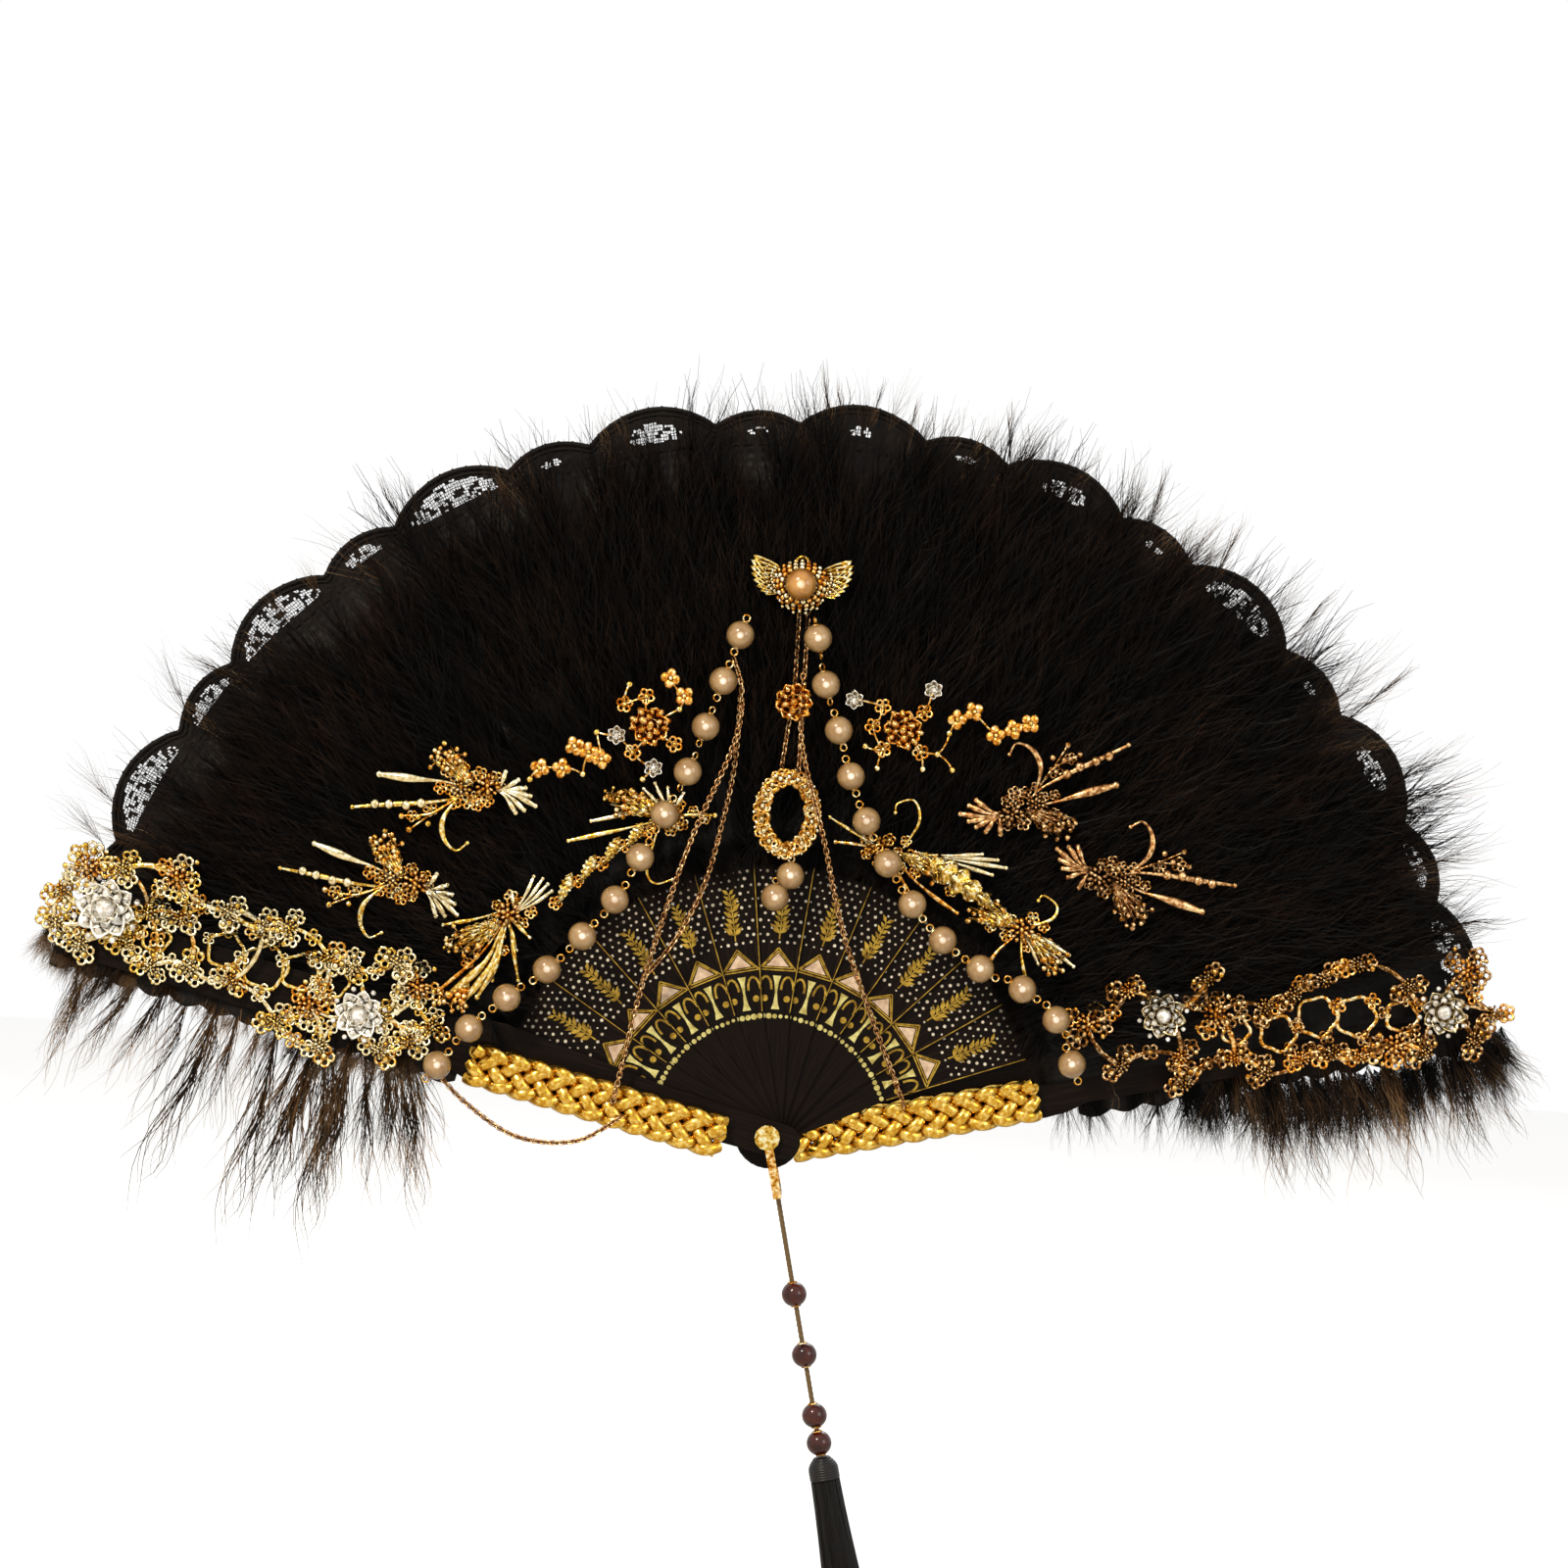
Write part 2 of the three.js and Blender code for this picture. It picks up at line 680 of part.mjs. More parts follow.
function sprigOutlines(side) {
  const stem = sprigShares.map(([radiusShare, angleShare]) => (
    polar(leafOuterRadius * radiusShare, side * halfSpan * angleShare)));
  const outlines = [flower(stem[0], sprigFlowerRadius, 5)];
  for (const place of stem.slice(1)) {
    outlines.push(quill(stem[0], place, sprigStemWidth, side * sprigBendShare));
    outlines.push(flower(place, sprigBlossomRadius, 4));
  }
  return outlines;
}

// The big flower comes first, then its blossoms: [radius share of the leaf, angle share of the half span]
const sprigShares = [
  [0.61, 0.241],
  [0.585, 0.354],
  [0.612, 0.4],
  [0.66, 0.2],
  [0.555, 0.27],
];

// Layers: each ornament clears the tufts under it and the ornaments that slide under it when the fan closes
const layerPitch = ornamentThickness + ornamentGap;
const tuftSeats = {
  left: { outer: 1, middle: 3, inner: midStick - 1 },
  right: { outer: lastStick - 1, middle: lastStick - 3, inner: midStick + 1 },
};
const layerBaseY = {
  left: tuftFrontY(tuftSeats.left.outer) - slideGap,
  right: tuftFrontY(tuftSeats.right.middle) - slideGap,
};
const layerY = (sideName, n) => layerBaseY[sideName] - (n - 1) * layerPitch;

const sprays = [
  {
    name: 'phoenix_spray_inner', shares: phoenixShares, place: [0.46, 0.36], post: [6, 0.8], turn: 20,
    layer: 2, seat: 'inner', right: { turn: -10 },
  },
  {
    name: 'phoenix_spray_outer', shares: phoenixShares, place: [0.47, 0.7], post: [0, 0], turn: -24,
    layer: 1, seat: 'outer',
  },
  {
    name: 'dragonfly_inner', shares: dragonflyShares, place: [0.651, 0.574], post: [5, 0.8], turn: 0,
    layer: 2, seat: 'middle',
    right: { shares: turnedOverShares, place: [0.603, 0.453], turn: 22 },
  },
  {
    name: 'dragonfly_outer', shares: dragonflyShares, place: [0.641, 0.764], post: [0, 0], turn: 15,
    layer: 1, seat: 'outer',
    right: { shares: turnedOverShares, place: [0.622, 0.658], post: [0, 0.4], turn: -12 },
  },
];
const sprigLayer = 3;

for (const [side, sideName] of [[-1, 'left'], [1, 'right']]) {
  for (const spray of sprays) {
    const placed = side < 0 ? spray : { ...spray, ...spray.right };
    const [outlines, post] = sprayParts(side, placed);
    const seatY = tuftFrontY(tuftSeats[sideName][spray.seat]);
    const geometry = ornament(outlines, layerY(sideName, spray.layer), post, seatY);
    addPiece(`${spray.name}_${sideName}`, geometry, gold);
  }
  const [radiusShare, angleShare] = sprigShares[0];
  const sprigPost = polar(leafOuterRadius * radiusShare, side * halfSpan * angleShare);
  const sprigSeatY = tuftFrontY(tuftSeats[sideName].inner);
  const sprigY = layerY(sideName, sprigLayer);
  addPiece(`sprig_${sideName}`, ornament(sprigOutlines(side), sprigY, sprigPost, sprigSeatY), gold);
}

// Ornaments of the middle rib, whose posts pass between two tufts down to the leaf
const centerBackY = tuftFrontY(midStick - 1) - slideGap;
const centerSeatY = leafSeatY(midStick) - leafThickness;

// Tips of the brooch's wings: [share of the wing span, share of the wing height]
const wingShares = [[1, 0.3], [0.84, 1], [0.62, -0.9]];

function broochSettingGeometry() {
  const center = new THREE.Vector2(0, broochRadius);
  const outlines = [circle(center, broochCupRadius, roundSides)];
  for (const side of [-1, 1]) {
    for (const [outShare, upShare] of wingShares) {
      const reach = new THREE.Vector2(side * broochWingSpan * outShare, broochWingHeight * upShare);
      const tip = reach.add(center);
      outlines.push(quill(center, tip, broochCupRadius, side * broochBendShare));
    }
  }
  const loop = new THREE.Vector2(0, broochRadius + broochCupRadius + postRadius);
  outlines.push(circle(loop, 2 * postRadius, roundSides));
  return ornament(outlines, centerBackY, center, centerSeatY);
}

function pearlGeometry(place, radius, detail) {
  const geometry = new THREE.IcosahedronGeometry(radius, detail);
  geometry.translate(place.x, place.y, place.z);
  return geometry;
}

function ellipse(center, halfWidth, halfHeight, sides) {
  return circle(new THREE.Vector2(0, 0), 1, sides).map((p) => (
    new THREE.Vector2(p.x * halfWidth, p.y * halfHeight).add(center)));
}

function ovalFrameGeometry() {
  const center = new THREE.Vector2(0, ovalRadius);
  const outline = ellipse(center, ovalHalfWidth, ovalHalfHeight, 2 * roundSides);
  const hole = ellipse(center, ovalHalfWidth - ovalRim, ovalHalfHeight - ovalRim, roundSides);
  const postPlace = new THREE.Vector2(0, ovalRadius + ovalHalfHeight - ovalRim / 2);
  const frame = plate(outline, centerBackY, ornamentThickness, [hole]);
  const middleY = centerBackY - ornamentThickness / 2;
  return joined([frame, rodAlongY(postPlace, postRadius, middleY, centerSeatY - slideGap, postSides)]);
}

function pendantPearlsGeometry() {
  const y = centerBackY - ornamentThickness / 2;
  const top = ovalRadius - ovalHalfHeight - slideGap - pearlRadius;
  const upper = new THREE.Vector3(pearlRadius / 2, y, top);
  const lower = new THREE.Vector3(-pearlRadius / 2, y, top - pendantDropShare * pearlRadius);
  return joined([pearlGeometry(upper, pearlRadius, 1), pearlGeometry(lower, pearlRadius, 1)]);
}

const connectorPlace = new THREE.Vector2(0, connectorRadius);
const broochPearlPlace = new THREE.Vector3(
  0, centerBackY - ornamentThickness - slideGap - broochPearlRadius, broochRadius,
);
addPiece('brooch_setting', broochSettingGeometry(), gold);
addPiece('brooch_pearl', pearlGeometry(broochPearlPlace, broochPearlRadius, 2), pearl);
addPiece(
  'flower_connector',
  ornament([flower(connectorPlace, connectorFlowerRadius, 5)], centerBackY, connectorPlace, centerSeatY),
  gold,
);
addPiece('oval_frame', ovalFrameGeometry(), gold);
addPiece('pendant_pearls', pendantPearlsGeometry(), pearl);

// Strands and chains: [radius share of the leaf, angle share of the half span, depth share of the reach]
function pathPoints(shares) {
  return shares.map(([radiusShare, angleShare, depthShare]) => {
    const p = polar(leafOuterRadius * radiusShare, halfSpan * angleShare);
    return new THREE.Vector3(p.x, -frontReach * depthShare, p.y);
  });
}

const strandLeftShares = [
  [0.712, -0.085, 0.73], [0.64, -0.122, 0.74], [0.585, -0.158, 0.78], [0.53, -0.204, 0.9],
  [0.482, -0.27, 1.02], [0.44, -0.35, 1.04], [0.402, -0.458, 1.04], [0.388, -0.578, 1.0],
  [0.39, -0.702, 0.92], [0.405, -0.803, 0.92], [0.436, -0.9, 0.9], [0.476, -1.05, 0.84],
];
const strandRightShares = [
  [0.71, 0.03, 0.84], [0.648, 0.05, 0.72], [0.596, 0.078, 0.68], [0.544, 0.11, 0.64],
  [0.488, 0.158, 0.64], [0.439, 0.232, 0.64], [0.396, 0.342, 0.64], [0.376, 0.456, 0.6],
  [0.38, 0.594, 0.56], [0.407, 0.703, 0.5], [0.44, 0.8, 0.46], [0.444, 0.95, 0.44],
];

function wireBetween(from, to) {
  const length = from.distanceTo(to);
  const wire = new THREE.CylinderGeometry(strandWireRadius, strandWireRadius, length, chainSides);
  const along = to.clone().sub(from).normalize();
  wire.applyQuaternion(new THREE.Quaternion().setFromUnitVectors(new THREE.Vector3(0, 1, 0), along));
  const middle = from.clone().lerp(to, 0.5);
  wire.translate(middle.x, middle.y, middle.z);
  return wire;
}

// A strand hangs from the front of a brooch wing and ends on the bare face of its guard
function strandGeometry(side, shares, guardFaceY) {
  const curve = new THREE.CatmullRomCurve3(pathPoints(shares));
  const pearls = curve.getSpacedPoints(pearlsPerStrand - 1);
  const parts = pearls.map((place) => pearlGeometry(place, pearlRadius, 1));
  const hookY = centerBackY - ornamentThickness - slideGap - strandWireRadius;
  const hook = new THREE.Vector3(side * broochHookOut, hookY, broochRadius - broochCupRadius);
  const foot = polar(filigreeStart - guardOuterHalfWidth / 2, side * (halfSpan + strandFootDegrees));
  const footY = guardFaceY - slideGap - strandWireRadius;
  const places = [hook, ...pearls, new THREE.Vector3(foot.x, footY, foot.y)];
  for (let i = 0; i + 1 < places.length; i += 1) {
    parts.push(wireBetween(places[i], places[i + 1]));
  }
  return joined(parts);
}

const chainShares = {
  chain_left_long: [
    [0.682, -0.0975, 0.596], [0.632, -0.088, 0.606], [0.56, -0.108, 0.64], [0.444, -0.22, 0.9],
    [0.35, -0.362, 0.86], [0.274, -0.578, 0.72], [0.232, -0.84, 0.66], [0.224, -1.042, 0.628],
  ],
  chain_left_short: [
    [0.64, -0.088, 0.482], [0.532, -0.11, 0.49], [0.45, -0.152, 0.52], [0.372, -0.224, 0.56],
    [0.312, -0.36, 0.62], [0.286, -0.54, 0.606],
  ],
  chain_right: [
    [0.69, -0.02, 0.6], [0.56, -0.005, 0.6], [0.436, 0.07, 0.62], [0.31, 0.219, 0.44],
    [0.223, 0.504, 0.16], [0.198, 0.88, -0.04], [0.2, 0.995, -0.236],
  ],
  chain_drop: [
    [0.484, -1.0625, 0.54], [0.428, -1.13, 0.58], [0.354, -1.21, 0.62], [0.27, -1.225, 0.64],
    [0.206, -1.1, 0.64],
  ],
};

// The middle chain hangs behind the brooch, the flower and the oval frame, beside their posts
function centerChainGeometry() {
  const y = centerBackY + slideGap + chainRadius;
  const x = postRadius + chainRadius + slideGap;
  const top = new THREE.Vector3(x, y, broochRadius - broochCupRadius / 2);
  const bottom = new THREE.Vector3(x, y, ovalRadius + ovalHalfHeight - ovalRim / 2);
  return tube([top, bottom], chainRadius, chainSides, top.z - bottom.z);
}

addPiece('pearl_strand_left', strandGeometry(-1, strandLeftShares, guardLeftFrontY), pearl);
addPiece('pearl_strand_right', strandGeometry(1, strandRightShares, guardRightFrontY), pearl);
addPiece('chain_center', centerChainGeometry(), gold);
for (const [name, shares] of Object.entries(chainShares)) {
  addPiece(name, tube(pathPoints(shares), chainRadius, chainSides, chainStep), gold);
}

// Tassel: a cord from the bail's bar, four bored beads on it, and a cap with its skirt
const tasselY = (bailFrontY + bailBackY) / 2;

function cordGeometry() {
  const top = -bailLength - slideGap;
  const bottom = slideGap - capTop;
  return tube(
    [new THREE.Vector3(0, tasselY, top), new THREE.Vector3(0, tasselY, bottom)],
    cordDiameter / 2, cordSides, cordStep,
  );
}

function beadGeometry(depth) {
  const bore = cordDiameter / 2 + beadBoreClearance;
  const from = Math.asin(bore / beadRadius);
  const profile = [];
  for (let i = 0; i <= arcSteps + 1; i += 1) {
    const angle = from + ((Math.PI - 2 * from) * i) / (arcSteps + 1);
    profile.push([beadRadius * Math.sin(angle), -beadRadius * Math.cos(angle)]);
  }
  profile.push(profile[0]);
  const geometry = turnedAboutZ(profile, roundSides, tasselY);
  geometry.translate(0, 0, -depth);
  return geometry;
}

function capGeometry() {
  const bottom = -capTop - capHeight;
  const shoulder = bottom + capHeight / 2;
  return turnedAboutZ(
    [[0, bottom], [capRadius, bottom], [capRadius, shoulder], [capTopRadius, -capTop], [0, -capTop]],
    roundSides, tasselY,
  );
}

function skirtGeometry() {
  const top = -capTop - capHeight - slideGap;
  const rings = [[capRadius, top], [skirtRadius, top - skirtHeight]];
  const count = 2 * skirtFlutes;
  const positions = [];
  for (const [radius, z] of rings) {
    for (let i = 0; i < count; i += 1) {
      const p = polar(i % 2 === 0 ? radius : radius - skirtFluteDepth, (360 * i) / count);
      positions.push(p.x, tasselY + p.y, z);
    }
  }
  const topCenter = positions.length / 3;
  positions.push(0, tasselY, top, 0, tasselY, top - skirtHeight);
  const index = [];
  for (let i = 0; i < count; i += 1) {
    const next = (i + 1) % count;
    for (let ring = 0; ring + 1 < rings.length; ring += 1) {
      const a = ring * count + i;
      const b = ring * count + next;
      index.push(a, b, a + count, b, b + count, a + count);
    }
    const low = (rings.length - 1) * count;
    index.push(topCenter, next, i, topCenter + 1, low + i, low + next);
  }
  const geometry = new THREE.BufferGeometry();
  geometry.setAttribute('position', new THREE.Float32BufferAttribute(positions, 3));
  geometry.setIndex(index);
  geometry.computeVertexNormals();
  return geometry;
}

addPiece('tassel_cord', leaning(cordGeometry()), blackSilk);
beadDepths.forEach((depth, i) => {
  addPiece(`tassel_bead_${i + 1}`, leaning(beadGeometry(depth)), darkBead);
});
addPiece('tassel_cap', leaning(capGeometry()), blackSilk);
addPiece('tassel_skirt', leaning(skirtGeometry()), blackSilk);

export default fan;
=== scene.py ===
# %% [markdown]
# # A feather fan
# A folding hand fan: thirteen black sticks on one rivet, a pleated cloth leaf, a lace edge, black down
# feathers, gold openwork ornaments, pearls, fine chains and a tassel. The working frame of the fan is
# loaded first, and most pieces made here ride on one of its sticks; the leaf, the lace and the chain links
# over the gaps are baked in place and ride on none.

# %% Load the frame
import random
from math import atan2, cos, exp, floor, hypot, pi, radians, sin, sqrt, tau

import bmesh
import bpy
from mathutils import Matrix, Vector
from mathutils.noise import noise as noise_at, noise_vector, seed_set


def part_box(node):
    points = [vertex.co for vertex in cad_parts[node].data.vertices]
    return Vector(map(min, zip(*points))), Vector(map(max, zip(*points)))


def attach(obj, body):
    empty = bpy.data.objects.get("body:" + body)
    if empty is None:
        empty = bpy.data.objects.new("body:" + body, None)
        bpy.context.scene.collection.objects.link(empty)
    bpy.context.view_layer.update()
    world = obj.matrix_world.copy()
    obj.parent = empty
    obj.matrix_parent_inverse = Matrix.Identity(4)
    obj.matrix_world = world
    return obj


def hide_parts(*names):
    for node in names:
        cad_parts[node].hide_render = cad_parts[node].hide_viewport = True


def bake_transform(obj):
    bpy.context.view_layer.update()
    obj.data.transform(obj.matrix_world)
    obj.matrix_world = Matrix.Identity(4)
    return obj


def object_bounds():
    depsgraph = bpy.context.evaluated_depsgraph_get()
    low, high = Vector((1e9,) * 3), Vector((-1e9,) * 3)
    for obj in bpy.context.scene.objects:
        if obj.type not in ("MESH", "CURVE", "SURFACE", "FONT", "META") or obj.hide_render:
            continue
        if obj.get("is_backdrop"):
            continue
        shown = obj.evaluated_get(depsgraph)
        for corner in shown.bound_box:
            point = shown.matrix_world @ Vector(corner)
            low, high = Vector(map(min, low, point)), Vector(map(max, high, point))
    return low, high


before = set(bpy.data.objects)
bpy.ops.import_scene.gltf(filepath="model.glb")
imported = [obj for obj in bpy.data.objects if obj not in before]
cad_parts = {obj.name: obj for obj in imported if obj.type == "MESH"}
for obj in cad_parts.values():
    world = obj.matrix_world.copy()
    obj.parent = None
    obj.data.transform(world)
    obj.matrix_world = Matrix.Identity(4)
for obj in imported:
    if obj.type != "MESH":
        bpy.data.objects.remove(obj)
CAD_LOW, CAD_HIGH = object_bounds()
print("frame box in mm", [round(1000 * x) for x in CAD_HIGH - CAD_LOW])

# %% [markdown]
# ## Measures
# A fan is drawn in polar form: a stick's number gives an angle and a distance from the rivet gives the
# place on it. Stick 0 is the left guard, stick 6 stands upright and stick 12 is the right guard. All depths
# come from the frame, because each stick lies a little behind the one to its left.

# %% The fan's own coordinates
MM = 0.001
MIDDLE = 6
LAST = 12
GAP = radians(12.8)
SLIDE = 0.3 * MM
LEAF_THICKNESS = 0.6 * MM
LEAF_INNER = 100 * MM
LEAF_OUTER = 250 * MM
HALF_SPAN = MIDDLE * GAP
RIBS = [f"rib_{k:02d}" for k in range(1, LAST)]
STICKS = ["guard_left", *RIBS, "guard_right"]
BODIES = ["middle_rib" if name == "rib_06" else name for name in STICKS]


def stick_angle(place):
    return (place - MIDDLE) * GAP


def polar(radius, angle, y=0.0):
    return Vector((radius * sin(angle), y, radius * cos(angle)))


def turned(angle):
    """Turns a piece drawn on an upright stick to the stick at this angle."""
    return Matrix.Rotation(angle, 4, "Y")


def place_of(point):
    """A point's place counted in sticks."""
    return atan2(point.x, point.z) / GAP + MIDDLE


def between(values, place):
    """The value at a place between two sticks."""
    low = min(int(place), len(values) - 2)
    return values[low] + (values[low + 1] - values[low]) * (place - low)


def cloth_front(k):
    if k == 0:
        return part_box("guard_left")[1].y + SLIDE
    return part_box(STICKS[k])[0].y - SLIDE - LEAF_THICKNESS


CLOTH_FRONTS = [cloth_front(k) for k in range(LAST + 1)]
print("cloth fronts in mm", [round(y / MM, 1) for y in CLOTH_FRONTS])

# %% [markdown]
# ## Camera
# The photograph looks straight at the fan from a good distance, and the fan leans a little to the right in
# it. A long lens keeps the sticks from spreading with perspective, and the lean is given by rolling the
# camera.

# %% Camera
PIXEL = 0.35 * MM
PHOTO_SIDE = 1600
RIVET_PIXEL = (783, 1158)
LEAN = radians(3.5)
LENS = 85
SENSOR = 36
PHOTO_RIGHT = Vector((cos(LEAN), 0, sin(LEAN)))
PHOTO_UP = Vector((-sin(LEAN), 0, cos(LEAN)))


def from_photo(pixel, y=0.0):
    """The point of the fan that lies under a pixel of the photograph, at depth y."""
    across = (pixel[0] - RIVET_PIXEL[0]) * PIXEL
    up = (RIVET_PIXEL[1] - pixel[1]) * PIXEL
    place = PHOTO_RIGHT * across + PHOTO_UP * up
    place.y = y
    return place


camera = bpy.data.objects.new("camera", bpy.data.cameras.new("camera"))
bpy.context.scene.collection.objects.link(camera)
camera.data.lens = LENS
camera.data.sensor_width = SENSOR
DISTANCE = PHOTO_SIDE * PIXEL * LENS / SENSOR
eye = from_photo((PHOTO_SIDE / 2, PHOTO_SIDE / 2), -DISTANCE)
axes = Matrix((PHOTO_RIGHT, PHOTO_UP, Vector((0, -1, 0)))).transposed()
camera.matrix_world = Matrix.Translation(eye) @ axes.to_4x4()
bpy.context.scene.camera = camera
print("camera distance in m", round(DISTANCE, 3))

# %% [markdown]
# ## Building tools
# A few helpers do the repeated work. Modifiers could thicken the sheets and instances could repeat the
# small shapes, but a plain mesh reads the same in every program, so shapes are stamped into one bmesh that
# becomes one piece.

# %% Pieces and stamps


def mesh_of(bm, name):
    mesh = bpy.data.meshes.new(name)
    bm.to_mesh(mesh)
    bm.free()
    return mesh


def finish_piece(name, bm, materials, node=None, body=None):
    """Makes the piece, hides the node of the frame that it stands for, and hangs it on the body that it rides
    on.
    """
    mesh = mesh_of(bm, name)
    for material in materials:
        mesh.materials.append(material)
    piece = bpy.data.objects.new(name, mesh)
    bpy.context.scene.collection.objects.link(piece)
    if node:
        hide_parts(node)
    if body:
        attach(piece, body)
    return piece


def template(build, *sizes):
    """A small mesh that is stamped many times."""
    bm = bmesh.new()
    build(bm, *sizes)
    return mesh_of(bm, build.__name__)


def stamp(bm, mesh, matrix, material=0):
    """Adds a copy of a template to a piece, with smooth shading."""
    copy = mesh.copy()
    copy.transform(matrix)
    copy.polygons.foreach_set("material_index", [material] * len(copy.polygons))
    copy.polygons.foreach_set("use_smooth", [True] * len(copy.polygons))
    bm.from_mesh(copy)
    bpy.data.meshes.remove(copy)


def verts_in(made):
    return [item for item in made if isinstance(item, bmesh.types.BMVert)]


def thicken(bm, depth):
    """Gives an open sheet its thickness towards the back."""
    made = bmesh.ops.extrude_face_region(bm, geom=bm.faces[:])["geom"]
    bmesh.ops.translate(bm, vec=(0, depth, 0), verts=verts_in(made))
    outward(bm)


def outward(bm):
    bmesh.ops.recalc_face_normals(bm, faces=bm.faces[:])


def moved(bm, matrix):
    bmesh.ops.transform(bm, matrix=matrix, verts=bm.verts[:])


def smooth_shaded(bm):
    for face in bm.faces:
        face.smooth = True


print("pieces ride on", len(BODIES), "sticks")

# %% [markdown]
# Wires, threads and chains follow routes. A route is smoothed through a few points, and a wire is a curve
# with a round bevel, because a curve keeps a tube even where it bends, and each point can have its own
# thickness.

# %% Smooth routes and wires
def smooth_route(points, step):
    """Points about step apart on a smooth curve through the given ones."""
    ends = [points[0] * 2 - points[1], *points, points[-1] * 2 - points[-2]]
    route = []
    for a, b, c, d in zip(ends, ends[1:], ends[2:], ends[3:]):
        count = max(2, round((c - b).length / step))
        for i in range(count):
            t = i / count
            route.append(0.5 * (2 * b + (c - a) * t + (2 * a - 5 * b + 4 * c - d) * t ** 2
                                + (3 * b - a - 3 * c + d) * t ** 3))
    return [*route, points[-1]]


def evenly(points, count):
    """A number of points at even distances along a route."""
    lengths = [0.0]
    for a, b in zip(points, points[1:]):
        lengths.append(lengths[-1] + (b - a).length)
    places, i = [], 0
    for n in range(count):
        wanted = lengths[-1] * n / (count - 1)
        while i + 2 < len(lengths) and lengths[i + 1] < wanted:
            i += 1
        share = (wanted - lengths[i]) / (lengths[i + 1] - lengths[i])
        places.append(points[i].lerp(points[i + 1], share))
    return places


def wires(bm, routes, sides=8, material=0):
    """Round wires. Each route is (points, radius), and the radius is one value or one for each point."""
    curve = bpy.data.curves.new("wires", "CURVE")
    curve.dimensions = "3D"
    curve.bevel_depth = 1.0
    curve.bevel_resolution = sides // 2 - 2
    curve.use_fill_caps = True
    for points, radius in routes:
        spline = curve.splines.new("POLY")
        spline.points.add(len(points) - 1)
        for i, (target, point) in enumerate(zip(spline.points, points)):
            target.co = (*point, 1)
            target.radius = radius[i] if isinstance(radius, list) else radius
    holder = bpy.data.objects.new("wires", curve)
    mesh = bpy.data.meshes.new_from_object(holder)
    stamp(bm, mesh, Matrix.Identity(4), material)
    bpy.data.objects.remove(holder)
    bpy.data.curves.remove(curve)
    bpy.data.meshes.remove(mesh)


quarter = smooth_route([polar(1.0, angle) for angle in (0.0, pi / 4, pi / 2)], 0.1)
print("a smoothed quarter turn strays by", round(max(abs(point.length - 1) for point in quarter), 3))


# %% [markdown]
# The castings repeat a few small forms: balls, rings, cupped petals and cut stones. Each is made once, with
# few faces, because some are stamped more than a thousand times.

# %% Small shapes: ball, ring, petal, gem
def ball(bm, around, rings):
    bmesh.ops.create_uvsphere(bm, u_segments=around, v_segments=rings, radius=1.0)


def ring(bm, radius, wire, around, sides):
    """A ring that faces forward, by spinning a small circle about the depth axis."""
    aside = Matrix.Translation((radius, 0, 0))
    section = bmesh.ops.create_circle(bm, segments=sides, radius=wire, matrix=aside)
    edges = list({edge for vert in section["verts"] for edge in vert.link_edges})
    bmesh.ops.spin(bm, geom=section["verts"] + edges, cent=(0, 0, 0), axis=(0, 1, 0),
                   angle=tau, steps=around, use_merge=True)
    outward(bm)


def petal(bm, length, width, cup):
    """A spoon-shaped petal along +Z, hollowed towards the front."""
    grid = bmesh.ops.create_grid(bm, x_segments=4, y_segments=5, size=0.5)
    for vert in grid["verts"]:
        across, along = vert.co.x, vert.co.y + 0.5
        half = width * (0.22 + 0.78 * sin(pi * min(0.95, 0.12 + 0.8 * along)))
        y = cup * (1 - 4 * across ** 2) * sin(pi * along) - cup * along ** 2
        vert.co = (across * half, y, along * length * (1 - 0.12 * abs(across) * 2))
    bmesh.ops.solidify(bm, geom=bm.faces[:], thickness=0.08 * width)
    outward(bm)


def gem(bm, radius):
    """A round cut stone that faces forward, eight facets on a crown and a pavilion."""
    facing = Matrix.Rotation(pi / 2, 4, "X")
    bmesh.ops.create_cone(bm, cap_ends=True, segments=8, radius1=radius, radius2=0.55 * radius,
                          depth=0.45 * radius, matrix=Matrix.Translation((0, -0.22 * radius, 0)) @ facing)
    bmesh.ops.create_cone(bm, cap_ends=True, segments=8, radius1=0.1 * radius, radius2=radius,
                          depth=0.8 * radius, matrix=Matrix.Translation((0, 0.4 * radius, 0)) @ facing)


RING = template(ring, 1.0, 0.28, 10, 5)
PETAL_RING = template(ring, 1.0, 0.44, 9, 5)
BALL = template(ball, 8, 5)
SEED = template(ball, 5, 4)
PETAL = template(petal, 1.0, 0.8, 0.18)
GEM = template(gem, 1.0)
print("template faces", [len(mesh.polygons) for mesh in (RING, PETAL_RING, BALL, SEED, PETAL, GEM)])

# %% [markdown]
# Three kinds of flower come from these forms: flat ones whose petals are rings, as in cast openwork, fuller
# ones with cupped petals, and domed ones of many small lumps. Each goes into a bmesh that is already being
# filled.

# %% Blossoms
def facing(place, size, spin=0.0, tilt=0.0):
    """Places a small shape that faces forward, turned by spin and leaned back by tilt."""
    return Matrix.Translation(place) @ turned(spin) @ Matrix.Rotation(tilt, 4, "X") @ Matrix.Scale(size, 4)


def ring_blossom(bm, place, radius, petals, spin, material, heart):
    """Rings round a ball. material and heart are slots of the piece."""
    for i in range(petals):
        turn = spin + tau * i / petals
        where = turned(turn) @ Vector((0, 0, 0.6 * radius))
        stamp(bm, PETAL_RING, facing(place + where, 0.36 * radius, turn, 0.35), material)
    stamp(bm, BALL, facing(place + Vector((0, -0.2 * radius, 0)), 0.3 * radius), heart)


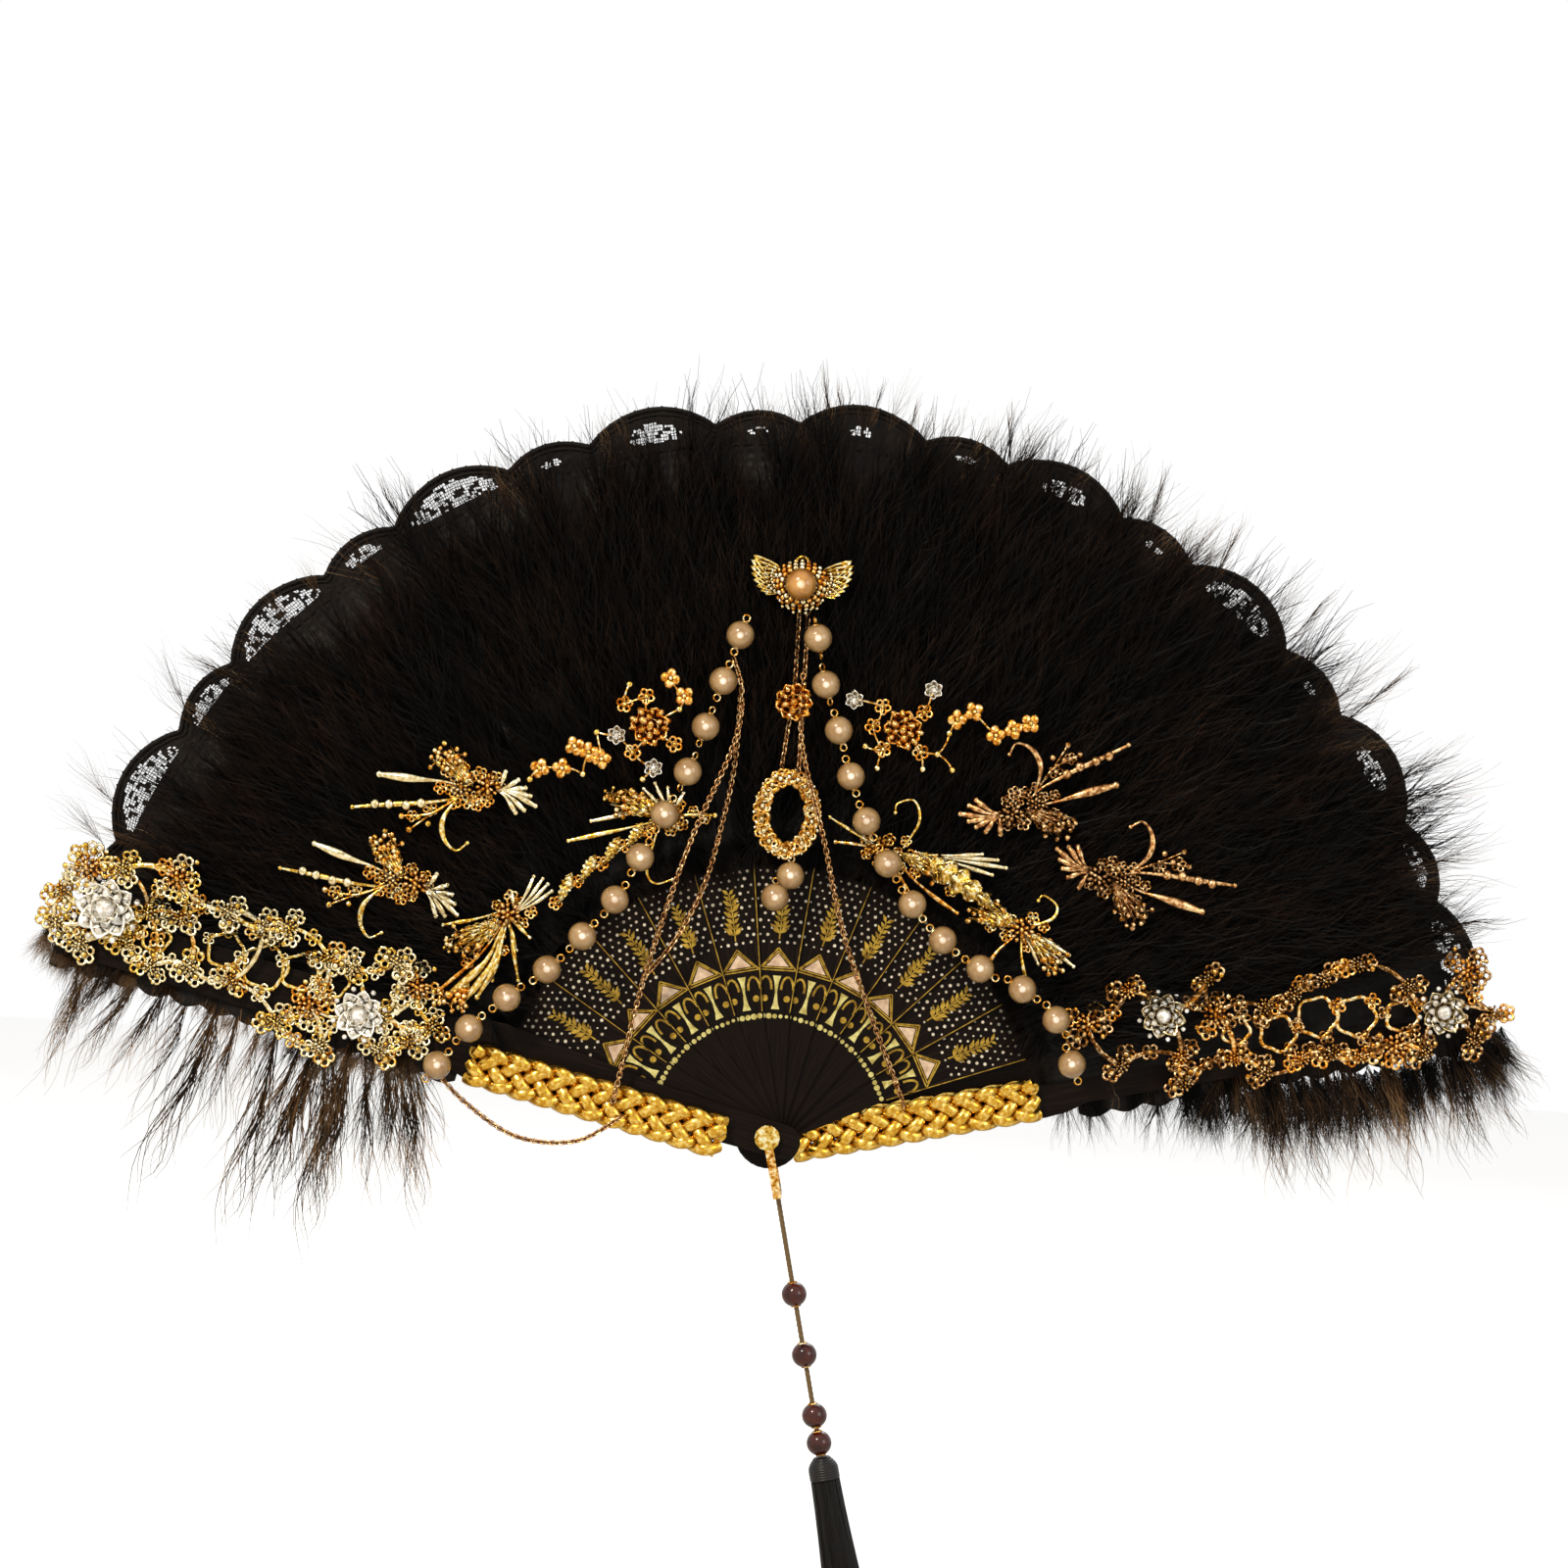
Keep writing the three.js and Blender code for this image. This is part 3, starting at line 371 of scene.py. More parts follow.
def petal_blossom(bm, place, radius, petals, spin, material, heart):
    """Two rows of cupped petals round a ball with six seeds."""
    for row, (size, tilt) in enumerate(((1.0, 0.35), (0.66, 0.8))):
        root = place - Vector((0, 0.12 * radius * row, 0))
        for i in range(petals):
            turn = spin + tau * (i + 0.5 * row) / petals
            stamp(bm, PETAL, facing(root, size * radius, turn, tilt), material)
    stamp(bm, BALL, facing(place + Vector((0, -0.35 * radius, 0)), 0.24 * radius), heart)
    for i in range(6):
        where = turned(tau * i / 6) @ Vector((0, -0.35 * radius, 0.3 * radius))
        stamp(bm, BALL, facing(place + where, 0.1 * radius), heart)


def dense_flower(bm, place, radius, rng, material, heart):
    """A domed flower of many small lumps, with a few bright seeds."""
    for count, reach in ((1, 0.0), (6, 0.4), (11, 0.78)):
        for i in range(count):
            turn = tau * (i + rng.uniform(-0.2, 0.2)) / count
            lump = place + polar(reach * radius * rng.uniform(0.9, 1.1), turn, -0.4 * radius * (1 - reach))
            size = radius * rng.uniform(0.2, 0.3)
            stamp(bm, BALL, facing(lump, size, turn, 0.5) @ Matrix.Scale(0.7, 4, (1, 0, 0)), material)
            stamp(bm, SEED, facing(lump - Vector((0, 0.8 * size, 0)), 0.4 * size), heart)


bm = bmesh.new()
ring_blossom(bm, Vector(), 3 * MM, 5, 0.0, 0, 1)
print("faces in a ring blossom", len(bm.faces))
bm.free()

# %% [markdown]
# ## Materials
# Each finish is a small network of nodes that ends in a Principled shader. One function turns a hex colour
# into the linear values that the shader wants, and one adds a node with its settings and links. Pattern
# sizes are real ones in millimetres, and a noise of scale 1 / size has blotches of about that size.

# %% Material tools
MULTIPLY = {"data_type": "RGBA", "blend_type": "MULTIPLY"}
FINE = {"Detail": 3.0, "Roughness": 0.55}


def linear(hex_colour):
    channels = [int(hex_colour[i:i + 2], 16) / 255 for i in (1, 3, 5)]
    return [c / 12.92 if c <= 0.04045 else ((c + 0.055) / 1.055) ** 2.4 for c in channels] + [1.0]


def add_node(owner, kind, settings=None, inputs=None):
    """Adds a node. The setting stops gives a ramp its (place, hex colour) pairs. An input is a value, the
    output socket that feeds it, or the node whose first output does."""
    node = owner.node_tree.nodes.new("ShaderNode" + kind)
    for key, value in (settings or {}).items():
        if key != "stops":
            setattr(node, key, value)
            continue
        while len(node.color_ramp.elements) < len(value):
            node.color_ramp.elements.new(0.5)
        for element, (place, colour) in zip(node.color_ramp.elements, value):
            element.position = place
            element.color = linear(colour)
    for key, value in (inputs or {}).items():
        if isinstance(value, bpy.types.Node):
            value = next(output for output in value.outputs if output.enabled)
        if isinstance(value, bpy.types.NodeSocket):
            owner.node_tree.links.new(value, node.inputs[key])
        else:
            node.inputs[key].default_value = value
    return node


def finished(material, colour, sheen, height, depth, even):
    """Ends a finish with its relief, the shader and the output. even holds what is the same all over it."""
    relief = add_node(material, "Bump", inputs={"Height": height, "Distance": depth})
    inputs = {**even, "Base Color": colour, "Roughness": sheen, "Normal": relief}
    shader = add_node(material, "BsdfPrincipled", inputs=inputs)
    add_node(material, "OutputMaterial", inputs={"Surface": shader})
    return material


def empty_nodes(owner):
    """Clears the nodes of a new material or world, so that its own ones are the only ones."""
    owner.use_nodes = True
    owner.node_tree.nodes.clear()
    return owner


print("middle grey in linear light", round(linear("#808080")[0], 3))

# %% [markdown]
# ### Gold-plated castings and polished gold
# The ornaments are cast in a zinc alloy and plated in warm gold, and the cast skin is faintly pitted. An
# ambient occlusion node finds the hollows and darkens them towards a brown that is part patina, where polish
# doesn't reach, and part painted shade. A Layer Weight node paints shade on what turns away, because a studio
# this white would otherwise wash the gold out. The skin's real grain is about 0.1 mm and wouldn't show in a
# picture of the fan, so it is drawn some ten times coarser.

# %% Gold
HOLLOW_REACH = 1.0 * MM
GRAIN = 1.5 * MM
WEAR_PATCH = 1.6 * MM
PIT_WIDTH = 0.9 * MM


def plated_gold(name, dark, mid, bright, roughness, pit_depth, patina_and_shade="#5a3a16"):
    """Plating with painted shade: darker in hollows, as patina and shade both, and towards the edges that turn
    away.
    """
    material = empty_nodes(bpy.data.materials.new(name))
    place = add_node(material, "TexCoord").outputs["Object"]
    grain = add_node(material, "TexNoise", inputs={"Vector": place, "Scale": 1 / GRAIN, **FINE})
    stops = [(0.36, dark), (0.5, mid), (0.62, bright)]
    plating = add_node(material, "ValToRGB", {"stops": stops}, {"Fac": grain})
    own = {"samples": 4, "only_local": True}
    # Painted shade: ambient occlusion darkens the hollows towards the patina colour, as brown patina and
    # painted shade both
    hollow = add_node(material, "AmbientOcclusion", own, {"Distance": HOLLOW_REACH}).outputs["AO"]
    opened = add_node(material, "MapRange", inputs={"Value": hollow, "To Min": -0.15, "To Max": 1.1})
    # Painted shade: the edges that turn away darken, in place of the dark surroundings that real gold would
    # reflect
    edge = add_node(material, "LayerWeight", inputs={"Blend": 0.45}).outputs["Facing"]
    towards = add_node(material, "MapRange", inputs={"Value": edge, "To Min": 1.12, "To Max": 0.1})
    lit = add_node(material, "Math", {"operation": "MULTIPLY", "use_clamp": True}, {0: opened, 1: towards})
    mixed = {"Factor": lit, "A": linear(patina_and_shade), "B": plating}
    colour = add_node(material, "Mix", {"data_type": "RGBA"}, mixed)
    wear = add_node(material, "TexNoise", inputs={"Vector": place, "Scale": 1 / WEAR_PATCH, **FINE})
    worn = {"Value": wear, "To Min": roughness - 0.08, "To Max": roughness + 0.12}
    sheen = add_node(material, "MapRange", inputs=worn)
    pitted = {"Vector": place, "Scale": 1 / PIT_WIDTH, **FINE, "Detail": 2.0}
    pits = add_node(material, "TexNoise", inputs=pitted)
    return finished(material, colour, sheen, pits, pit_depth, {"Metallic": 1.0})


# Cast and plated: warm gold with brown hollows, patina and painted shade both, which draws the openwork's edges
CAST_GOLD = plated_gold("cast_gold_plate", "#8a4e10", "#dd9f3c", "#fff0bc", 0.26, 0.14 * MM)
# Redder plating: the domed flowers stand out from the castings round them
AMBER_GOLD = plated_gold("amber_gold_plate", "#944c0e", "#e69a34", "#ffe09a", 0.28, 0.14 * MM, "#86500f")
# Stamped and polished: yellow glints on leaves, quills and seeds
BRIGHT_GOLD = plated_gold("polished_gold_plate", "#a8721c", "#efc658", "#fff8cc", 0.19, 0.05 * MM)
# Thin pale plating: prongs that look nearly white where they catch the lamp
PALE_GOLD = plated_gold("pale_gold_plate", "#cdb27a", "#f3e2ae", "#fffbe0", 0.18, 0.05 * MM)
# Plating rubbed off by handling: brownish links that stay quieter than the pearls
CHAIN_GOLD = plated_gold("worn_chain_gold", "#80502a", "#c8935c", "#f8d49c", 0.3, 0.05 * MM, "#50301a")
# Silvered alloy: cool white petals under the crystals
SILVER = plated_gold("silvered_alloy", "#e2dccc", "#f1ede0", "#ffffff", 0.2, 0.05 * MM, "#d6cdbc")
# Darker plating, as painted shade on the right-hand castings, away from the key lamp: only its crests shine
PAINTED_SHADE_GOLD = plated_gold("painted_shade_gold_plate", "#3a1e08", "#8a5a26", "#f2ce98", 0.28, 0.14 * MM, "#1e1006")
# Silver painted darker, as shade: petals of a grey beige between the shaded castings on the right
PAINTED_SHADE_SILVER = plated_gold("painted_shade_silver_alloy", "#7c6844", "#a8966e", "#f2e6cc", 0.24, 0.05 * MM, "#54442a")
# Stamped strip, hardly pitted: long soft highlights along the plait's strands
PLAIT_GOLD = plated_gold("stamped_plait_gold", "#c08a26", "#dcaa3c", "#f4d274", 0.2, 0.015 * MM, "#7e5210")
print("nodes in a plated finish", len(CAST_GOLD.node_tree.nodes))

# %% [markdown]
# ### Pearl, crystal and dark beads
# Imitation pearls are glass or plastic balls in a nacre lacquer: a soft body colour under a clear glossy
# coat, with a highlight painted at the middle and shade painted at the rim, where the ball turns away. Cut
# crystals are nearly colourless.
# The tassel's beads are dark red polished resin. Crystal, resin and foil differ only in values, so one
# function makes them all.

# %% Beads
NACRE_PATCH = 4 * MM


def pearl_lacquer(name, *stops):
    """Nacre with a painted highlight at its middle and painted shade where it turns away. Stops go from middle
    to edge.
    """
    material = empty_nodes(bpy.data.materials.new(name))
    place = add_node(material, "TexCoord").outputs["Object"]
    cloudy = {"Vector": place, "Scale": 1 / NACRE_PATCH, **FINE, "Detail": 2.0}
    patch = add_node(material, "TexNoise", inputs=cloudy)
    edge = add_node(material, "LayerWeight", inputs={"Blend": 0.5})
    # The ramp on Facing paints a highlight at the middle and shade at the rim
    body = add_node(material, "ValToRGB", {"stops": stops}, {"Fac": edge.outputs["Facing"]})
    tone = add_node(material, "ValToRGB", {"stops": [(0.35, "#dcd0c4"), (0.65, "#ffffff")]}, {"Fac": patch})
    colour = add_node(material, "Mix", MULTIPLY, {"Factor": 1.0, "A": body, "B": tone})
    sheen = add_node(material, "MapRange", inputs={"Value": patch, "To Min": 0.2, "To Max": 0.34})
    coat = {"Coat Weight": 0.5, "Coat Roughness": 0.06, "Specular IOR Level": 0.35}
    return finished(material, colour, sheen, patch, 0.02 * MM, coat)


def mottled(name, size, detail, stops, roughness, depth, even):
    """A smooth hard surface whose colour, roughness and height drift together, in blotches of this size."""
    material = empty_nodes(bpy.data.materials.new(name))
    place = add_node(material, "TexCoord").outputs["Object"]
    blotches = {"Vector": place, "Scale": 1 / size, **FINE, "Detail": detail}
    patch = add_node(material, "TexNoise", inputs=blotches)
    colour = add_node(material, "ValToRGB", {"stops": stops}, {"Fac": patch})
    low, high = roughness
    sheen = add_node(material, "MapRange", inputs={"Value": patch, "To Min": low, "To Max": high})
    return finished(material, colour, sheen, patch, depth, even)


# Nacre lacquer over a bead: a creamy ball with a painted white highlight at its middle and painted brown shade
# at its rim
PEARL = pearl_lacquer("nacre_lacquer", (0.0, "#ffffff"), (0.014, "#fff2dc"), (0.04, "#b8986c"),
                      (0.45, "#a48659"), (1.0, "#5c442a"))
# The same lacquer, tinted, with the same painted highlight and rim shade: the brooch's pearl looks like warm
# honey
GOLDEN_PEARL = pearl_lacquer("golden_nacre_lacquer", (0.0, "#fffbe8"), (0.02, "#ffe6b4"), (0.05, "#cc964e"),
                             (0.5, "#b07a34"), (1.0, "#5a3410"))
# Cut and polished lead glass: hard white facets that sparkle in small points
CRYSTAL = mottled("cut_crystal", 1.5 * MM, 1.0, [(0.4, "#c9c4b8"), (0.58, "#ffffff")], (0.03, 0.08), 0.01 * MM,
                  {"IOR": 1.52})
# Tumbled resin: dark red that looks black but for a soft highlight
RESIN = mottled("dark_red_resin", 4 * MM, 3.0, [(0.35, "#260a05"), (0.65, "#4c1c10")], (0.12, 0.22), 0.02 * MM,
                {"Coat Weight": 0.3, "Coat Roughness": 0.05, "Specular IOR Level": 0.25})
print("nodes in the nacre", len(PEARL.node_tree.nodes))

# %% [markdown]
# ### Feather, cloth, lace and silk
# Down strands are real ribbons here, so their material only has to vary from strand to strand and from root
# to tip. Each strand carries a UV map: U is a number of its own and V runs along it. The leaf is
# plain-woven satin, and the lace and the tassel are matt and shiny thread. Real threads are 0.1 to 0.3 mm
# thick, too fine to show, so the weaves are drawn two to four times as coarse.

# %% Textiles
DYE_PATCH = 26 * MM
BARBULE = 0.5 * MM
CLOTH_PATCH = 12 * MM


def dyed_down(name, root, middle, tip):
    """Strands that differ in tone, from a colour at the root to one at the tip, under uneven dye."""
    material = empty_nodes(bpy.data.materials.new(name))
    places = add_node(material, "TexCoord").outputs
    place = places["Object"]
    strand = add_node(material, "SeparateXYZ", inputs={"Vector": places["UV"]})
    length_stops = [(0.1, root), (0.7, middle), (1.0, tip)]
    length = add_node(material, "ValToRGB", {"stops": length_stops}, {"Fac": strand.outputs["Y"]})
    tone_stops = [(0.0, "#6e6e6e"), (0.75, "#e0e0e0"), (1.0, "#fff0dc")]
    tone = add_node(material, "ValToRGB", {"stops": tone_stops}, {"Fac": strand.outputs["X"]})
    dye = add_node(material, "TexNoise", inputs={"Vector": place, "Scale": 1 / DYE_PATCH, **FINE})
    patch = add_node(material, "ValToRGB", {"stops": [(0.38, "#6a6460"), (0.66, "#ffffff")]}, {"Fac": dye})
    toned = add_node(material, "Mix", MULTIPLY, {"Factor": 1.0, "A": length, "B": tone})
    colour = add_node(material, "Mix", MULTIPLY, {"Factor": 1.0, "A": toned, "B": patch})
    dulled = {"Value": strand.outputs["X"], "To Min": 0.52, "To Max": 0.68}
    sheen = add_node(material, "MapRange", inputs=dulled)
    downy = {"Vector": place, "Scale": 1 / BARBULE, **FINE, "Detail": 1.0}
    barbules = add_node(material, "TexNoise", inputs=downy)
    return finished(material, colour, sheen, barbules, 0.03 * MM, {"Specular IOR Level": 0.1})


def woven(name, dark, light, thread, roughness, gloss):
    """Plain weave, by two crossed bands of the thread's width on the piece's UV map, which is in metres."""
    material = empty_nodes(bpy.data.materials.new(name))
    cloth = add_node(material, "TexCoord").outputs["UV"]
    bands = []
    for direction in ("X", "Y"):
        inputs = {"Vector": cloth, "Scale": 0.05 / thread, "Distortion": 0.4}
        bands.append(add_node(material, "TexWave", {"bands_direction": direction}, inputs).outputs["Fac"])
    height = add_node(material, "Math", {"operation": "MULTIPLY"}, {0: bands[0], 1: bands[1]})
    patch = add_node(material, "TexNoise", inputs={"Vector": cloth, "Scale": 1 / CLOTH_PATCH, **FINE})
    colour = add_node(material, "ValToRGB", {"stops": [(0.3, dark), (0.7, light)]}, {"Fac": patch})
    rubbed = {"Value": patch, "To Min": roughness - 0.06, "To Max": roughness + 0.06}
    sheen = add_node(material, "MapRange", inputs=rubbed)
    return finished(material, colour, sheen, height, 0.15 * MM, {"Specular IOR Level": gloss})


# Marabou dyed black: soft and almost without highlights, brown only at the tips
DOWN = dyed_down("dyed_black_down", "#020101", "#0b0604", "#402c1e")
# The same down where it is thin, painted paler: light that shows through it is painted in, so single barbs look
# brown against white
THIN_DOWN = dyed_down("thin_brown_black_down", "#4a341e", "#b08a62", "#f0dcc0")
# Satin: a smooth black with a dim sheen on the pleats
SATIN = woven("black_satin", "#080706", "#120e0c", 0.5 * MM, 0.5, 0.12)
# Corded cotton lace: a duller black, so the net reads by its holes alone
LACE = woven("black_cord_lace", "#090706", "#15100d", 0.6 * MM, 0.7, 0.14)
# Silk thread: black with a light streak along the bundle
SILK = woven("black_silk_thread", "#080707", "#16110f", 0.4 * MM, 0.42, 0.3)
# Undyed silk cord: olive brown, the one pale line between the dark beads
BROWN_CORD = woven("olive_brown_silk_cord", "#3c2c18", "#8a7048", 0.4 * MM, 0.5, 0.3)
print("nodes in a weave", len(SATIN.node_tree.nodes))

# %% [markdown]
# ### Lacquered sticks and their print
# The sticks are thin bamboo or beech, dyed and lacquered black. The lacquer shows faint long streaks of
# grain, so the noise is stretched along the stick with a Mapping node. The print is foil: dull gold, cream
# and a rosy beige.

# %% Sticks and foil
WOOD_GRAIN = 0.8 * MM
FOIL_PATCH = 2.5 * MM


def black_lacquer():
    material = empty_nodes(bpy.data.materials.new("black_lacquered_wood"))
    along = add_node(material, "TexCoord").outputs["UV"]
    stretched = add_node(material, "Mapping", inputs={"Vector": along, "Scale": (1, 0.04, 1)})
    inputs = {"Vector": stretched, "Scale": 1 / WOOD_GRAIN, **FINE, "Detail": 4.0}
    grain = add_node(material, "TexNoise", inputs=inputs)
    stops = [(0.35, "#0a0604"), (0.6, "#150d08"), (0.8, "#261a11")]
    colour = add_node(material, "ValToRGB", {"stops": stops}, {"Fac": grain})
    sheen = add_node(material, "MapRange", inputs={"Value": grain, "To Min": 0.34, "To Max": 0.55})
    return finished(material, colour, sheen, grain, 0.03 * MM, {"Specular IOR Level": 0.07})


def foil(name, dark, light, roughness, metallic):
    stops = [(0.35, dark), (0.65, light)]
    return mottled(name, FOIL_PATCH, 3.0, stops, roughness, 0.02 * MM, {"Metallic": metallic})


# Lacquer over wood: black with faint brown streaks along the stick
LACQUER = black_lacquer()
# Hot foil: dull gold lines that brighten towards the lamp
GOLD_FOIL = foil("gold_foil", "#7a5a1a", "#c6a23e", (0.46, 0.3), 0.8)
# Paler foil: the bars and dots between the arches look lemon yellow
PALE_FOIL = foil("pale_gold_foil", "#a8964a", "#e2d88c", (0.43, 0.27), 0.6)
# Copper foil under a matt varnish: flat rosy triangles
ROSE_FOIL = foil("rose_beige_foil", "#b3947a", "#ddc4a6", (0.53, 0.37), 0.2)
# Screen-printed ink: plain cream dots without any glint
CREAM_INK = foil("cream_ink", "#a89e8a", "#ddd5c2", (0.68, 0.52), 0.0)
print("materials", len(bpy.data.materials))

# %% [markdown]
# ## Tassel cord
# Cords come first, because their room is checked against the camera's view. The tassel hangs on a twisted
# silk cord from the bail's bar. Three thin strands wound round one line would be right, and one tube with
# three lobes that twist gives the same look in one closed mesh.

# %% Cord
TASSEL_Y = (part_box("bail")[0].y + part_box("bail")[1].y) / 2
HANG = turned(radians(-13))
CORD_TOP = -22.3 * MM
CORD_END = -116.7 * MM
CORD_DIAMETER = 2 * MM
CORD_LAY = 6 * MM
CORD_RINGS = 96
CORD_SIDES = 12
LOBE_DEPTH = 0.14


def twisted_cord(bm, top, end, radius, lay, rings):
    section = bmesh.ops.create_circle(bm, cap_ends=False, segments=CORD_SIDES, radius=radius)["verts"]
    for i, vert in enumerate(section):
        vert.co *= 1 - LOBE_DEPTH + LOBE_DEPTH * abs(cos(1.5 * tau * i / CORD_SIDES))
    bmesh.ops.translate(bm, vec=(0, 0, end), verts=section)
    edges = [edge for edge in bm.edges]
    bmesh.ops.contextual_create(bm, geom=edges)
    rise = (top - end) / rings
    for _ in range(rings):
        made = bmesh.ops.extrude_edge_only(bm, edges=edges)["geom"]
        verts = verts_in(made)
        edges = [item for item in made if isinstance(item, bmesh.types.BMEdge)]
        turn = Matrix.Rotation(tau * rise / lay, 3, "Z")
        bmesh.ops.rotate(bm, cent=(0, 0, 0), matrix=turn, verts=verts)
        bmesh.ops.translate(bm, vec=(0, 0, rise), verts=verts)
    bmesh.ops.contextual_create(bm, geom=[edge for edge in edges if edge.is_valid])
    outward(bm)
    smooth_shaded(bm)


def hung(name, bm, materials, node):
    """Finishes a piece of the tassel, which is drawn straight down round the Z axis and then leans right."""
    bmesh.ops.translate(bm, vec=(0, TASSEL_Y, 0), verts=bm.verts[:])
    moved(bm, HANG)
    return finish_piece(name, bm, materials, node, "tassel")


bm = bmesh.new()
twisted_cord(bm, CORD_TOP, CORD_END, CORD_DIAMETER / 2, CORD_LAY, CORD_RINGS)
cord = hung("tassel_cord_twisted", bm, [BROWN_CORD], "tassel_cord")
print("cord length in mm", round((CORD_TOP - CORD_END) / MM, 1))

# %% [markdown]
# ## Tassel beads, cap and skirt
# The four beads are turned resin balls with a small collar at each hole. A ball is a sphere whose ends sink
# in where the cord goes through.

# %% Beads on the cord
BEAD_RADIUS = 4.5 * MM
BEAD_DEPTHS = [58 * MM, 80 * MM, 102 * MM, 112 * MM]
HOLE_REACH = 1.6 * MM
for n, depth in enumerate(BEAD_DEPTHS, 1):
    bm = bmesh.new()
    bmesh.ops.create_uvsphere(bm, u_segments=32, v_segments=20, radius=BEAD_RADIUS)
    for vert in bm.verts:
        hole = max(0.0, 1 - hypot(vert.co.x, vert.co.y) / HOLE_REACH)
        vert.co.z *= 1 - 0.14 * hole
    for end in (-1, 1):
        rim = Matrix.Translation((0, 0, end * 0.93 * BEAD_RADIUS)) @ Matrix.Rotation(pi / 2, 4, "X")
        stamp(bm, RING, rim @ Matrix.Scale(1.5 * MM, 4), 1)
    smooth_shaded(bm)
    bmesh.ops.translate(bm, vec=(0, 0, -depth), verts=bm.verts[:])
    hung(f"resin_bead_{n}", bm, [RESIN, CAST_GOLD], f"tassel_bead_{n}")

# %% [markdown]
# The cap is a knot of thread wound nine times round the end of the cord. Its profile, with a ridge for each
# turn, is spun about the cord's axis.

# %% Wrapped cap
CAP_TOP, CAP_END = -117 * MM, -125 * MM
CAP_RADIUS = 5.5 * MM
CAP_TURNS = 9
CAP_STEPS = 6 * CAP_TURNS
bm = bmesh.new()
profile = [bm.verts.new((0, 0, CAP_END))]
for i in range(CAP_STEPS + 1):
    share = i / CAP_STEPS
    radius = CAP_RADIUS * (0.45 + 0.55 * sin(pi / 2 * min(1, 1.6 * (1 - share) + 0.08)))
    ridge = 0.22 * MM * abs(sin(pi * CAP_TURNS * share))
    profile.append(bm.verts.new((radius - 0.25 * MM + ridge, 0, CAP_END + (CAP_TOP - CAP_END) * share)))
profile.append(bm.verts.new((0, 0, CAP_TOP)))
edges = [bm.edges.new(pair) for pair in zip(profile, profile[1:])]
bmesh.ops.spin(bm, geom=profile + edges, cent=(0, 0, 0), axis=(0, 0, 1), angle=tau, steps=32,
               use_merge=True)
bmesh.ops.remove_doubles(bm, verts=bm.verts[:], dist=0.01 * MM)
outward(bm)
smooth_shaded(bm)
print("cap faces", len(bm.faces))
cap = hung("wrapped_cap", bm, [SILK], "tassel_cap")

# %% [markdown]
# The skirt is a bundle of cut silk threads. They are thin wires that hang from the cap and spread a little,
# over an inner core, so that the tassel isn't hollow. The last lines list points along the cord.

# %% Skirt of threads
SKIRT_TOP, SKIRT_LENGTH = -125.3 * MM, 75 * MM
SKIRT_RADIUS = 10 * MM
THREADS = 420
THREAD_POINTS = 8
THREAD_RADIUS = 0.32 * MM
rng = random.Random(4)
bm = bmesh.new()
routes = []
for _ in range(THREADS):
    turn = rng.uniform(0, tau)
    depth = sqrt(rng.random())
    top_radius = 0.5 * SKIRT_RADIUS * (0.5 + 0.5 * depth)
    end_radius = SKIRT_RADIUS * (0.25 + 0.72 * depth)
    length = SKIRT_LENGTH * rng.uniform(0.93, 1.0)
    sway = rng.uniform(-0.12, 0.12)
    points = []
    for i in range(THREAD_POINTS):
        share = i / (THREAD_POINTS - 1)
        radius = top_radius + (end_radius - top_radius) * share ** 1.4
        angle = turn + sway * sin(3 * share + 6 * depth)
        points.append(Vector((radius * cos(angle), radius * sin(angle), SKIRT_TOP - length * share)))
    routes.append((points, THREAD_RADIUS))
wires(bm, routes, sides=4)
core = bmesh.ops.create_cone(bm, cap_ends=True, segments=16, radius1=0.5 * SKIRT_RADIUS,
                             radius2=0.45 * SKIRT_RADIUS, depth=0.9 * SKIRT_LENGTH)["verts"]
bmesh.ops.translate(bm, vec=(0, 0, SKIRT_TOP - 0.45 * SKIRT_LENGTH), verts=core)
hung("silk_skirt", bm, [SILK], "tassel_skirt")
path = [HANG @ Vector((0, TASSEL_Y, CORD_TOP + (CORD_END - CORD_TOP) * i / 40)) for i in range(41)]
print("tassel threads", THREADS)

# %% [markdown]
# ## Sticks
# The blades are cut from thin wood and tumbled, so their edges are slightly round and catch a thin line of
# light. Each one starts as a merged copy of its solid, gets a narrow bevel, and carries a UV map in metres
# that runs along the blade, whatever way it points.

# %% Blades
EDGE_ROUND = 0.18 * MM
SHARP = 1.2


def blade(k):
    bm = bmesh.new()
    bm.from_mesh(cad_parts[STICKS[k]].data)
    bmesh.ops.remove_doubles(bm, verts=bm.verts[:], dist=0.001 * MM)
    bmesh.ops.dissolve_limit(bm, angle_limit=0.02, verts=bm.verts[:], edges=bm.edges[:])
    sharp = [edge for edge in bm.edges if edge.is_manifold and edge.calc_face_angle() > SHARP]
    bmesh.ops.bevel(bm, geom=sharp, offset=EDGE_ROUND, offset_type="OFFSET", segments=2, profile=0.5,
                    affect="EDGES", material=-1, clamp_overlap=True)
    uv = bm.loops.layers.uv.new("along_the_stick")
    upright = turned(-stick_angle(k))
    for face in bm.faces:
        for loop in face.loops:
            local = upright @ loop.vert.co
            loop[uv].uv = (local.x, local.z)
    return finish_piece(f"blade_{k:02d}", bm, [LACQUER], STICKS[k], BODIES[k])


print("blade faces", sum(len(blade(k).data.polygons) for k in range(LAST + 1)))

# %% [markdown]
# ## Foil print on the blades
# From the middle outwards the print has a row of dots, an hourglass bar between arches, a triangle with a
# double outline, and a field of small dots round a plume. It could be drawn by texture nodes. Thin raised
# foil shapes are used instead: they stay crisp at any size, and real hot foil stands a little proud too.

# %% Foil shapes
FOIL_HEIGHT = 0.05 * MM
HEEL, SHOULDER = 41 * MM, 97 * MM
HEEL_HALF, SHOULDER_HALF = 5.5 * MM, 11.5 * MM


def blade_half_width(radius):
    """Half the width of a blade between its heel and its shoulder."""
    share = max(0.0, min(1.0, (radius - HEEL) / (SHOULDER - HEEL)))
    return HEEL_HALF + (SHOULDER_HALF - HEEL_HALF) * share


